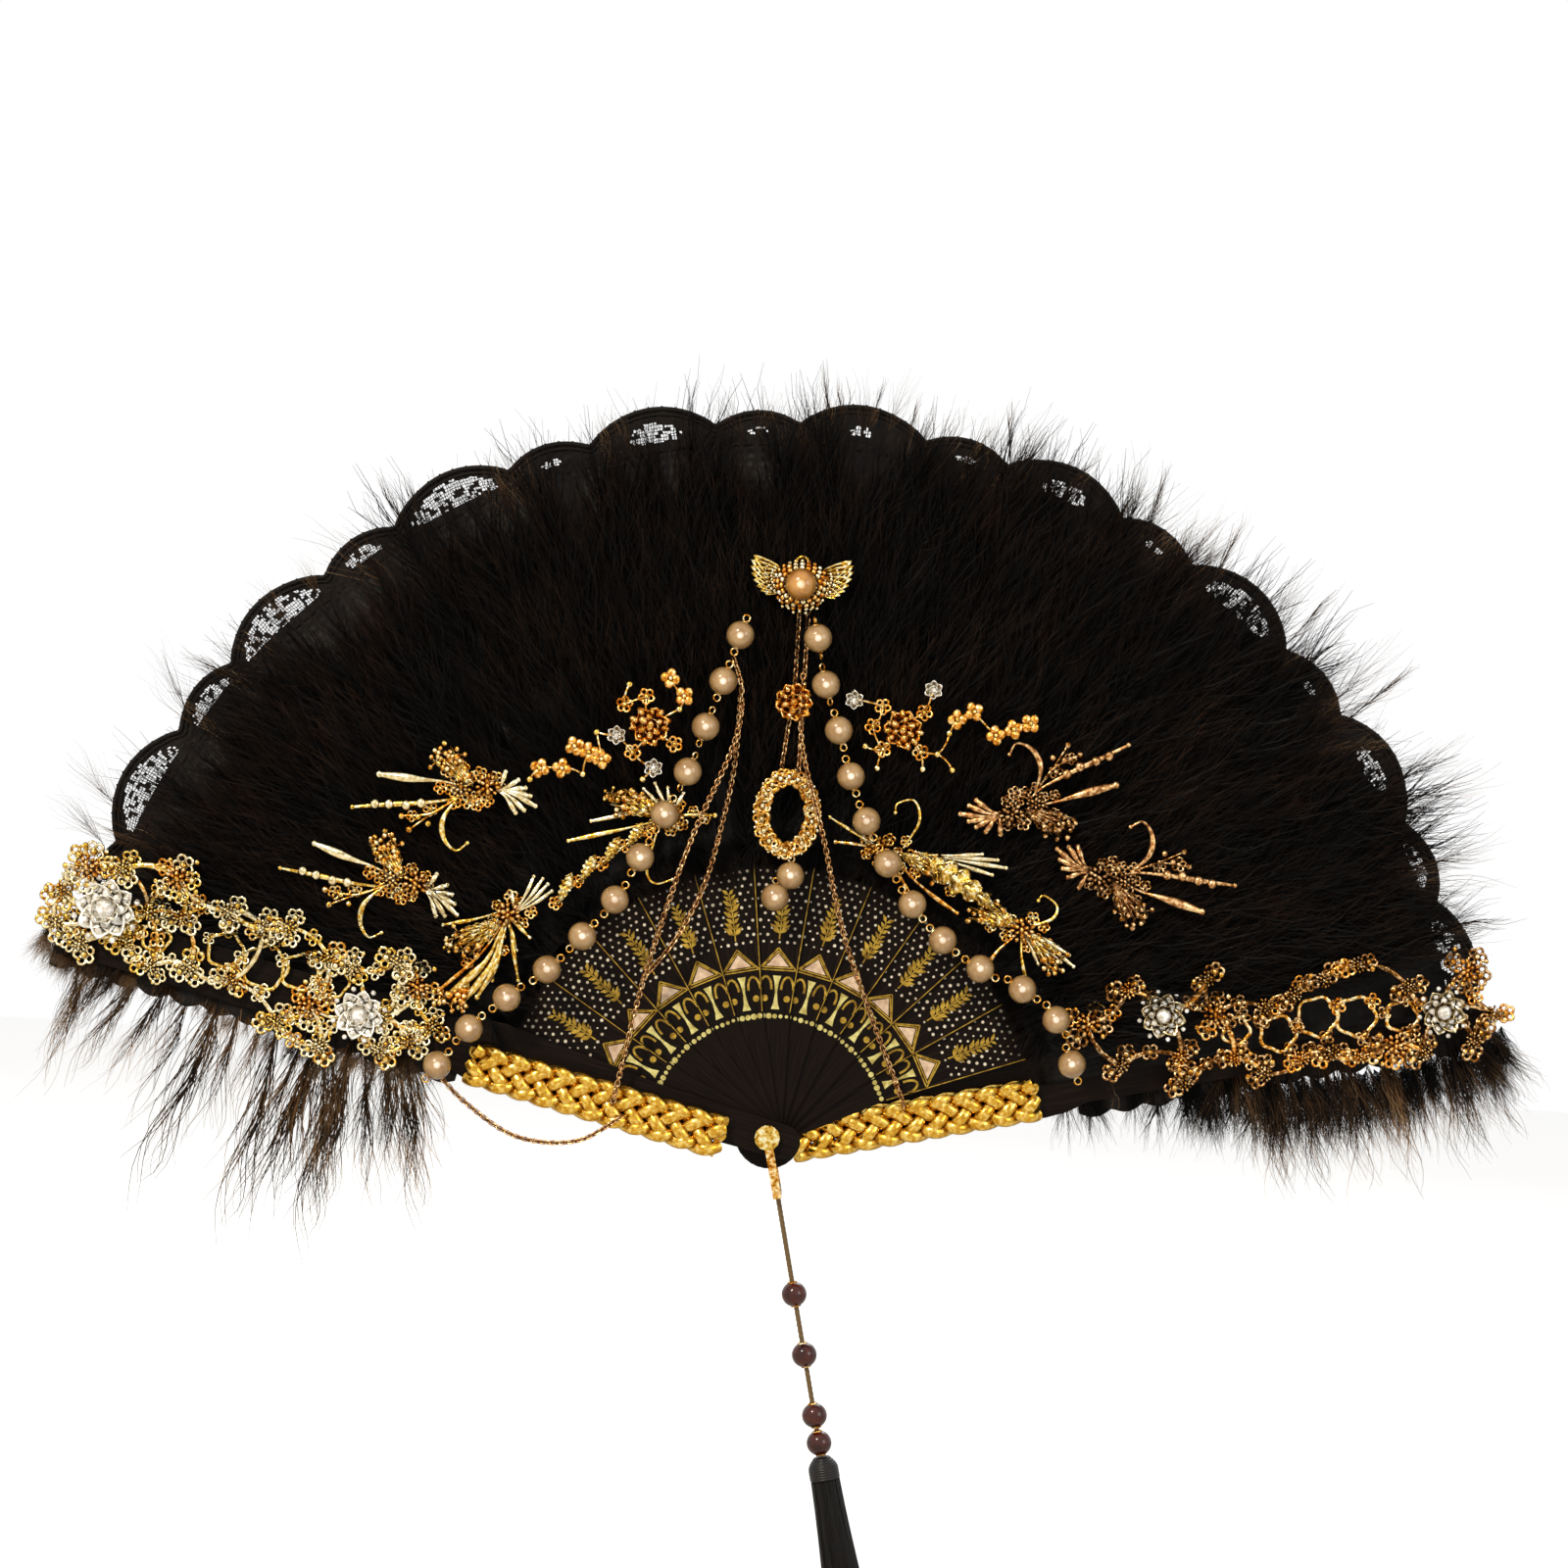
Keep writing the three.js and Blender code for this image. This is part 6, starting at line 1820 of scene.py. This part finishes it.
def band(node, body, side, crystals, clusters, loops, golds, tones, branches):
    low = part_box(node)[0]
    rng = random.Random(node)
    bm = bmesh.new()

    def drawn(pixel, forward=0.0):
        place = from_photo(pixel)
        inward = -side * (turned(-side * HALF_SPAN) @ place).x - NEAR_FEATHERS
        place.y = low.y + 0.8 * MM - forward - CLIMB * max(0.0, inward)
        return place

    places = [drawn(pixel) for pixel in clusters]
    joints = places + [drawn(pixel) for pixel, width in crystals]
    made = set()
    for n, place in enumerate(joints):
        near = sorted(range(len(joints)), key=lambda i: (joints[i] - place).length)[1:branches + 1]
        for i in near:
            if (min(i, n), max(i, n)) in made or (joints[i] - place).length > LONGEST_TWIG:
                continue
            made.add((min(i, n), max(i, n)))
            bow = rng.choice((-0.28, 0.28))
            twig(bm, place, joints[i], bow, rng.uniform(0.85, 1.15) * MM, rng.choice(tones))
            if len(made) % branches:
                bud = bent_route(place, joints[i], bow, 0.8 * MM, 4)[2]
                ring_blossom(bm, bud, rng.uniform(2.6, 3.4) * MM, 4, rng.random(), rng.choice(tones), BRIGHT)
    for pixel, half_width in loops:
        middle = drawn(pixel, 0.4 * MM)
        radius = half_width * PIXEL
        turns = [tau * i / LOOP_STEPS for i in range(LOOP_STEPS + 1)]
        route = [middle + polar(radius * (1 + 0.08 * sin(5 * turn)), turn) for turn in turns]
        wires(bm, [(route, 0.85 * MM)], sides=8, material=BRIGHT)
        for i in range(3):
            bud = middle + polar(1.15 * radius, tau * (i + 0.6 * rng.random()) / 3, -0.4 * MM)
            ring_blossom(bm, bud, rng.uniform(2.4, 3.2) * MM, 4, rng.random(), rng.choice(tones), BRIGHT)
    for pixel, place in zip(clusters, places):
        tall = pixel in TALL_CLUSTERS
        heart = AMBER if tall else rng.choice(tones)
        size = (6.6 if tall else 4.6) * MM
        blossom_cluster(bm, place - Vector((0, 0.6 * MM, 0)), size, rng, heart, tones, branches)
    for pixel, width in crystals:
        crystal_flower(bm, drawn(pixel, 2.2 * MM), width / 2 * PIXEL)
    piece = finish_piece(node + "_openwork", bm, [*golds, CRYSTAL, AMBER_GOLD, PALE_GOLD], node, body)
    print(piece.name, "faces", len(piece.data.polygons))


band("filigree_band_left", "guard_left", -1, LEFT_CRYSTALS, LEFT_CLUSTERS, LEFT_LOOPS,
     [CAST_GOLD, BRIGHT_GOLD, SILVER], (CAST, BRIGHT, PALE, PALE), 3)
# Painted shade: the right band takes darker platings in place of the bright ones
band("filigree_band_right", "guard_right", 1, RIGHT_CRYSTALS, RIGHT_CLUSTERS, RIGHT_LOOPS,
     [PAINTED_SHADE_GOLD, CAST_GOLD, PAINTED_SHADE_SILVER], (CAST, CAST, CAST, CAST, AMBER), 2)

# %% [markdown]
# ## Blossom sprigs
# A sprig has one large double flower and smaller blossoms on short wires, with a crystal one among them.

# %% Sprigs
LEFT_SPRIG = {
    "flower": (666, 742),
    "amber": [(590, 762), (617, 775), (555, 784), (577, 784), (686, 694), (604, 768), (700, 712)],
    "cast": [(640, 720), (648, 768), (690, 760), (662, 712)], "silver": [(632, 751)], "stone": [(669, 784)],
    "balls": [(645, 700), (612, 748), (598, 790), (545, 795), (658, 795), (695, 725)],
}
RIGHT_SPRIG = {
    "flower": (920, 745), "amber": [(992, 727), (1014, 751), (1049, 739), (975, 735), (1032, 745)],
    "cast": [(900, 722), (942, 728), (900, 765), (938, 768), (890, 742)], "silver": [(951, 705), (871, 715)],
    "stone": [], "balls": [(967, 749), (970, 786), (940, 785), (894, 784), (955, 770), (882, 762)],
}
KINDS = ("amber", "cast", "silver", "stone", "balls")


def sprig(node, body, drawing):
    o = Ornament(node, drawing["flower"])
    heart = o.at(0, 0)
    buds = [(from_photo(pixel, heart.y), kind) for kind in KINDS for pixel in drawing[kind]]
    buds.sort(key=lambda bud: (bud[0] - heart).length)
    joined = [heart]
    for place, kind in buds:
        root = min(joined, key=lambda other: (other - place).length)
        joined.append(place)
        route = bent_route(root, place, o.rng.uniform(-0.2, 0.2), 0.6 * MM, 10)
        wires(o.bm, [(route, 0.42 * MM)], sides=6, material=CAST)
        if kind == "amber":
            for i in range(4):
                petal = place + polar(1.9 * MM, tau * i / 4 + place.x / MM, -0.3 * MM)
                stamp(o.bm, BALL, facing(petal, 1.9 * MM) @ Matrix.Scale(0.6, 4, (0, 1, 0)), AMBER)
            stamp(o.bm, BALL, facing(place - Vector((0, 1.2 * MM, 0)), 0.9 * MM), BRIGHT)
        elif kind == "cast":
            ring_blossom(o.bm, place, 3.0 * MM, 5, o.rng.random(), AMBER, BRIGHT)
        elif kind == "balls":
            stamp(o.bm, BALL, facing(place, 1.3 * MM), BRIGHT)
        else:
            petal_blossom(o.bm, place, 4.0 * MM, 6, 0.0, SILVERED, STONE)
    petal_blossom(o.bm, o.at(0, 0, 0.6), 8.0 * MM, 7, 0.3, AMBER, BRIGHT)
    dense_flower(o.bm, o.at(0, 0, 1.8), 7.2 * MM, o.rng, AMBER, BRIGHT)
    o.finish(body)
    return len(buds)


print("buds on the left sprig", sprig("sprig_left", "rib_05", LEFT_SPRIG))
print("buds on the right sprig", sprig("sprig_right", "rib_07", RIGHT_SPRIG))

# %% [markdown]
# ## Brooch, flower and oval frame
# The brooch is a pearl in a beaded cup between two wings of small cast feathers. Below it hang a flower and
# an oval openwork frame with two pearls.

# %% Brooch
BROOCH_RADIUS = 196 * MM
low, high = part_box("brooch_setting")
brooch = Vector((0, low.y + 1.2 * MM, BROOCH_RADIUS))
WING_FEATHERS = 8
bm = bmesh.new()
for side in (-1, 1):
    for n in range(WING_FEATHERS):
        share = n / (WING_FEATHERS - 1)
        lift = radians(62 - 106 * share)
        reach = (20.5 - 7 * share ** 1.3) * MM
        rise = 0.5 * reach * sin(lift) + 0.6 * MM
        tip = brooch + Vector((side * reach * cos(lift * 0.5), -0.4 * MM, rise))
        root = brooch + Vector((side * 4 * MM, 0, 0))
        direction = (tip - root).normalized()
        pose = Matrix.Translation(root) @ turned(atan2(direction.x, direction.z))
        size = (tip - root).length
        stamp(bm, PETAL, pose @ Matrix.Scale(size, 4) @ Matrix.Scale(0.42, 4, (1, 0, 0)), 0)
        for i in range(5):
            lump = root.lerp(tip, 0.3 + 0.16 * i) - Vector((0, 0.7 * MM, 0))
            stamp(bm, BALL, facing(lump, 0.62 * MM), 1)
for count, reach, size in ((19, 6.1, 1.1), (22, 7.3, 1.1), (26, 8.5, 0.9)):
    for i in range(count):
        turn = tau * i / count
        rim = Vector((1.12 * reach * sin(turn), (reach - 8.8) * 0.9, reach * cos(turn)))
        place = brooch + rim * MM
        stamp(bm, BALL, facing(place, size * MM), 1 if i % 3 == 0 else 2)
for i in range(9):
    drop = brooch + polar((9.2 + 0.8 * (i % 2)) * MM, pi + (i - 4) * 0.22, -0.4 * MM)
    stamp(bm, BALL, facing(drop, 0.7 * MM), 1)
stamp(bm, RING, facing(brooch + Vector((0, 0, 8 * MM)), 2.2 * MM), 0)
bmesh.ops.create_cone(bm, cap_ends=True, segments=24, radius1=5.6 * MM, radius2=5.2 * MM, depth=1.6 * MM,
                      matrix=Matrix.Translation(brooch) @ Matrix.Rotation(pi / 2, 4, "X"))
wires(bm, [([brooch, Vector((0, high.y, BROOCH_RADIUS))], 0.8 * MM)], sides=8)
print("brooch faces", len(bm.faces))
finish_piece("winged_brooch", bm, [BRIGHT_GOLD, PALE_GOLD, AMBER_GOLD], "brooch_setting", "middle_rib")

# %% [markdown]
# A pearl is bored through its middle, and its bore shows as a slight dimple at each end. The brooch has the
# largest pearl. Two more hang from the oval frame, each from a small ring.

# %% Pearls of the middle
PEARL_BIG = 5.5 * MM
PEARL_RADIUS = 5 * MM


def bored_pearl(bm):
    """A pearl with a slight dimple where its bore comes out."""
    bmesh.ops.create_uvsphere(bm, u_segments=28, v_segments=18, radius=1.0)
    for vert in bm.verts:
        dimple = max(0.0, 1 - hypot(vert.co.x, vert.co.y) / 0.3)
        vert.co.z *= 1 - 0.07 * dimple


PEARL_SHAPE = template(bored_pearl)


def along(axis):
    """Turns a shape drawn along +Z to another direction."""
    return Vector((0, 0, 1)).rotation_difference(axis).to_matrix().to_4x4()


def pearl_ball(bm, place, radius, axis):
    stamp(bm, PEARL_SHAPE, Matrix.Translation(place) @ along(axis) @ Matrix.Scale(radius, 4))


low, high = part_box("brooch_pearl")
bm = bmesh.new()
pearl_ball(bm, (low + high) / 2, PEARL_BIG, Vector((1, 0, 0)))
print("faces in a pearl", len(bm.faces))
finish_piece("brooch_pearl_round", bm, [GOLDEN_PEARL], "brooch_pearl", "middle_rib")

low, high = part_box("pendant_pearls")
depth = (low.y + high.y) / 2
bm = bmesh.new()
for place in (Vector((high.x - PEARL_RADIUS, depth, high.z - PEARL_RADIUS)),
              Vector((low.x + PEARL_RADIUS, depth, low.z + PEARL_RADIUS))):
    pearl_ball(bm, place, PEARL_RADIUS, Vector((0, 0, 1)))
    stamp(bm, RING, facing(place + Vector((0, 0, PEARL_RADIUS + 0.8 * MM)), 1.1 * MM), 1)
finish_piece("pendant_pearls_round", bm, [PEARL, CAST_GOLD], "pendant_pearls", "middle_rib")

# %% [markdown]
# The connector is a domed flower on petals. The oval frame has two rippled wires with ring blossoms between
# them and small balls round the rim. A post behind each stands for its riveted pin.

# %% Flower connector and oval frame
low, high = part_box("flower_connector")
bm = bmesh.new()
place = Vector((0, low.y + 1.4 * MM, (low.z + high.z) / 2))
petal_blossom(bm, place - Vector((0, 1.5 * MM, 0)), 7.8 * MM, 9, 0.2, 0, 1)
dense_flower(bm, place - Vector((0, 2.6 * MM, 0)), 6.8 * MM, random.Random("connector"), 0, 1)
wires(bm, [([place, Vector((0, high.y, place.z))], 0.8 * MM)], sides=8)
finish_piece("flower_cluster", bm, [AMBER_GOLD, BRIGHT_GOLD], "flower_connector", "middle_rib")

low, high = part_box("oval_frame")
OVAL_WIDTH = (high.x - low.x) / 2
OVAL_HEIGHT = (high.z - low.z) / 2
middle = Vector((0, low.y + 1.3 * MM, (low.z + high.z) / 2))


def on_oval(turn, inset, y=0.0):
    """A place on the oval, this far inside its outline."""
    return middle + Vector(((OVAL_WIDTH - inset) * sin(turn), y, (OVAL_HEIGHT - inset) * cos(turn)))


bm = bmesh.new()
rng = random.Random("oval")
for inset, wire_radius in ((2.2 * MM, 1.3 * MM), (5.4 * MM, 1.2 * MM)):
    turns = [tau * i / 48 for i in range(49)]
    points = [on_oval(turn, inset - 0.5 * MM * sin(12 * turn)) for turn in turns]
    wires(bm, [(points, wire_radius)], sides=8)
for i in range(18):
    turn = tau * i / 18
    place = on_oval(turn, 3.4 * MM, -0.8 * MM)
    ring_blossom(bm, place, rng.uniform(2.6, 3.5) * MM, 5, rng.random(), 0, 1)
    stamp(bm, BALL, facing(on_oval(turn + 0.17, 0.8 * MM, -0.4 * MM), 0.8 * MM), 1)
top = on_oval(0.0, 3.5 * MM)
wires(bm, [([top, Vector((0, high.y, top.z))], 0.8 * MM)], sides=8)
print("oval size in mm", round(2 * OVAL_WIDTH / MM, 1), round(2 * OVAL_HEIGHT / MM, 1))
finish_piece("oval_openwork", bm, [CAST_GOLD, PALE_GOLD], "oval_frame", "middle_rib")

# %% [markdown]
# ## Pearl strands and chains
# Strands and chains hang over the feathers from the middle to the guards. Their routes are the frame's own:
# each point is a share of the leaf's radius, a share of half the span and a share of the depth in front.

# %% Routes
FRONT_REACH = 25 * MM
STRAND_LEFT = [
    (0.712, -0.085, 0.73), (0.64, -0.122, 0.74), (0.585, -0.158, 0.78), (0.53, -0.204, 0.9),
    (0.482, -0.27, 1.02), (0.44, -0.35, 1.04), (0.402, -0.458, 1.04), (0.388, -0.578, 1.0),
    (0.39, -0.702, 0.92), (0.405, -0.803, 0.92), (0.436, -0.9, 0.9), (0.476, -1.05, 0.84),
]
STRAND_RIGHT = [
    (0.71, 0.03, 0.84), (0.648, 0.05, 0.72), (0.596, 0.078, 0.68), (0.544, 0.11, 0.64),
    (0.488, 0.158, 0.64), (0.439, 0.232, 0.64), (0.396, 0.342, 0.64), (0.376, 0.456, 0.6),
    (0.38, 0.594, 0.56), (0.407, 0.703, 0.5), (0.44, 0.8, 0.46), (0.444, 0.95, 0.44),
]
CHAINS = {
    "chain_left_long": [
        (0.682, -0.0975, 0.596), (0.632, -0.088, 0.606), (0.56, -0.108, 0.64), (0.444, -0.22, 0.9),
        (0.35, -0.362, 0.86), (0.274, -0.578, 0.72), (0.232, -0.84, 0.66), (0.224, -1.042, 0.628),
    ],
    "chain_left_short": [
        (0.64, -0.088, 0.482), (0.532, -0.11, 0.49), (0.45, -0.152, 0.52), (0.372, -0.224, 0.56),
        (0.312, -0.36, 0.62), (0.286, -0.54, 0.606),
    ],
    "chain_right": [
        (0.658, 0.012, 0.55), (0.56, 0.02, 0.6), (0.436, 0.09, 0.62), (0.31, 0.219, 0.44),
        (0.223, 0.504, 0.16), (0.198, 0.88, -0.04), (0.2, 0.995, -0.236),
    ],
    "chain_drop": [
        (0.484, -1.0625, 0.54), (0.428, -1.13, 0.58), (0.354, -1.21, 0.62), (0.27, -1.225, 0.64),
        (0.206, -1.1, 0.64),
    ],
}


def route_points(shares):
    return [polar(LEAF_OUTER * r, HALF_SPAN * a, -FRONT_REACH * depth) for r, a, depth in shares]


def nearest_body(point):
    return BODIES[max(0, min(LAST, round(place_of(point))))]


print("routes", 2 + len(CHAINS))

# %% [markdown]
# Each strand has twelve pearls joined by small gold rings, and hangs from the brooch to a guard. A pearl is
# stiff, so it rides on the nearest stick.

# %% Strands
def strand(node, shares):
    pearls = evenly(smooth_route(route_points(shares), 2 * MM), 12)
    for n, place in enumerate(pearls):
        before = pearls[max(0, n - 1)]
        after = pearls[min(len(pearls) - 1, n + 1)]
        axis = (after - before).normalized()
        bm = bmesh.new()
        pearl_ball(bm, place, PEARL_RADIUS, axis)
        turn = along(axis)
        for end in (-1, 1):
            collar = place + axis * end * 0.96 * PEARL_RADIUS
            lying = Matrix.Translation(collar) @ turn @ Matrix.Rotation(pi / 2, 4, "X")
            stamp(bm, RING, lying @ Matrix.Scale(1.1 * MM, 4), 1)
            eye_ring = place + axis * end * (PEARL_RADIUS + 1.3 * MM)
            stamp(bm, RING, Matrix.Translation(eye_ring) @ turn @ Matrix.Scale(1.25 * MM, 4), 1)
        finish_piece(f"{node}_{n + 1:02d}", bm, [PEARL, CAST_GOLD], node, nearest_body(place))
    return pearls


left_pearls = strand("pearl_strand_left", STRAND_LEFT)
right_pearls = strand("pearl_strand_right", STRAND_RIGHT)
print("pearls", len(left_pearls) + len(right_pearls))

# %% [markdown]
# The chains are small oval links, each turned a quarter against the last. The links over one gap are one
# piece, because hundreds of separate links would be slow to handle.

# %% Chain links


def oval_link(bm, length, width, wire):
    """A link along +Z, by stretching a ring."""
    ring(bm, width / 2, wire, 10, 4)
    bmesh.ops.scale(bm, vec=(1, 1, length / width), verts=bm.verts[:])


LINK_PITCH = 1.65 * MM
LINK = template(oval_link, 2.7 * MM, 1.7 * MM, 0.3 * MM)


def links_along(bm, points):
    count = max(2, round(sum((b - a).length for a, b in zip(points, points[1:])) / LINK_PITCH))
    places = evenly(points, count + 1)
    for i, (a, b) in enumerate(zip(places, places[1:])):
        direction = (b - a).normalized()
        turn = along(direction)
        twist = Matrix.Rotation(pi / 4 + pi / 2 * (i % 2), 4, "Z")
        stamp(bm, LINK, Matrix.Translation(a.lerp(b, 0.5)) @ turn @ twist)


def chain_pieces(node, route):
    """The links over each gap are one piece, and links outside the sticks ride on a guard."""
    sectors = {}
    for point in route:
        k = floor(place_of(point))
        sectors.setdefault(k if 0 <= k < LAST else (-1 if k < 0 else LAST), []).append(point)
    order = list(sectors)
    for here, after in zip(order, order[1:]):
        sectors[here].append(sectors[after][0])
    for k, points in sectors.items():
        if len(points) < 2:
            continue
        bm = bmesh.new()
        links_along(bm, points)
        piece = finish_piece(f"{node}_{k % 100:02d}", bm, [CHAIN_GOLD], node)
        if 0 <= k < LAST:
            across_gap(piece)
        else:
            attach(piece, BODIES[0] if k < 0 else BODIES[LAST])
    print(node, "pieces", len(sectors))


for node, shares in CHAINS.items():
    if node != "chain_drop":
        chain_pieces(node, smooth_route(route_points(shares), 1 * MM))
bm = bmesh.new()
links_along(bm, smooth_route(route_points(CHAINS["chain_drop"]), 1 * MM))
finish_piece("drop_chain_links", bm, [CHAIN_GOLD], "chain_drop", "guard_left")
low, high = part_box("chain_center")
x, y = (low.x + high.x) / 2, (low.y + high.y) / 2
bm = bmesh.new()
for offset in (0.0, -2 * x):
    links_along(bm, [Vector((x + offset, y, low.z)), Vector((x + offset / 2, y, (low.z + high.z) / 2)),
                     Vector((x + offset / 2, y, high.z))])
finish_piece("middle_chain_links", bm, [CHAIN_GOLD], "chain_center", "middle_rib")

# %% [markdown]
# ## Rivet, washer and bail
# These keep their exact solids and only get their finishes: plated metal for the rivet, its cap and the
# bail, and black lacquer for the washer.

# %% Small fixed parts
FIXED = {"rivet": BRIGHT_GOLD, "rivet_cap": BRIGHT_GOLD, "bail": CAST_GOLD, "spacer_washer": LACQUER}
for node, material in FIXED.items():
    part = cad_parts[node]
    part.data.materials.clear()
    part.data.materials.append(material)
print("solids shown as they are", len(FIXED))

# %% [markdown]
# ## Floor and light
# A pale floor lies under the tassel and the world behind is white, also in reflections. Light Path's Is
# Camera Ray lifts the floor's tone for the eye alone, so that no more light falls on the fan.

# %% Stage
FLOOR_Z = CAD_LOW.z - 4 * MM
FLOOR_GLOW = 0.62
WORLD_LIGHT = 0.26
bm = bmesh.new()
bmesh.ops.create_grid(bm, x_segments=1, y_segments=1, size=3.0)
ground = bpy.data.objects.new("floor", mesh_of(bm, "floor"))
bpy.context.scene.collection.objects.link(ground)
ground.location = (0, 0, FLOOR_Z)
# Matt plaster: a pale ground that keeps the fan's shadow
plaster = empty_nodes(bpy.data.materials.new("white_plaster"))
matt = add_node(plaster, "BsdfPrincipled", inputs={"Base Color": linear("#f5f5f3"), "Roughness": 0.9})
path = add_node(plaster, "LightPath")
seen = {"Value": path.outputs["Is Camera Ray"], "To Min": 0.0, "To Max": FLOOR_GLOW}
strength = add_node(plaster, "MapRange", inputs=seen)
glow = add_node(plaster, "Emission", inputs={"Color": linear("#ffffff"), "Strength": strength})
total = add_node(plaster, "AddShader", inputs={0: matt, 1: glow})
add_node(plaster, "OutputMaterial", inputs={"Surface": total})
ground.data.materials.append(plaster)
ground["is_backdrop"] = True

world = empty_nodes(bpy.data.worlds.new("studio"))
bpy.context.scene.world = world
path = add_node(world, "LightPath")
seen = path.outputs["Is Camera Ray"]
for ray in ("Is Glossy Ray", "Is Transmission Ray"):
    seen = add_node(world, "Math", {"operation": "MAXIMUM"}, {0: seen, 1: path.outputs[ray]})
strength = add_node(world, "MapRange", inputs={"Value": seen, "To Min": WORLD_LIGHT, "To Max": 1.0})
sky = add_node(world, "Background", inputs={"Color": linear("#ffffff"), "Strength": strength})
add_node(world, "OutputWorld", inputs={"Surface": sky})
print("floor height in mm", round(FLOOR_Z / MM, 1))

# %% [markdown]
# A small warm lamp from the upper left gives the metal its highlights. A larger, weaker one fills from the
# right, and a third comes from behind and draws the down's edges.

# %% Lamps
def lamp(name, place, target, size, power, colour):
    light = bpy.data.lights.new(name, "AREA")
    light.size = size
    light.energy = power
    light.color = linear(colour)[:3]
    holder = bpy.data.objects.new(name, light)
    bpy.context.scene.collection.objects.link(holder)
    holder.location = place
    holder.rotation_euler = (Vector(target) - Vector(place)).to_track_quat("-Z", "Y").to_euler()


TARGET = (0, 0, 0.12)
lamp("key", (-0.8, -1.4, 1.3), TARGET, 0.2, 34, "#fff0da")
lamp("fill", (1.2, -1.1, 0.5), TARGET, 0.7, 6, "#ffffff")
lamp("rim", (0.3, 1.2, 1.1), TARGET, 0.8, 8, "#ffffff")
bpy.context.scene.view_settings.view_transform = "Standard"
print("lamps", len(bpy.data.lights))

# %% Sizes and finish
low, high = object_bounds()
print("grown in mm", [round((a - b) / MM, 1) for a, b in zip(CAD_LOW, low)],
      [round((b - a) / MM, 1) for a, b in zip(CAD_HIGH, high)])
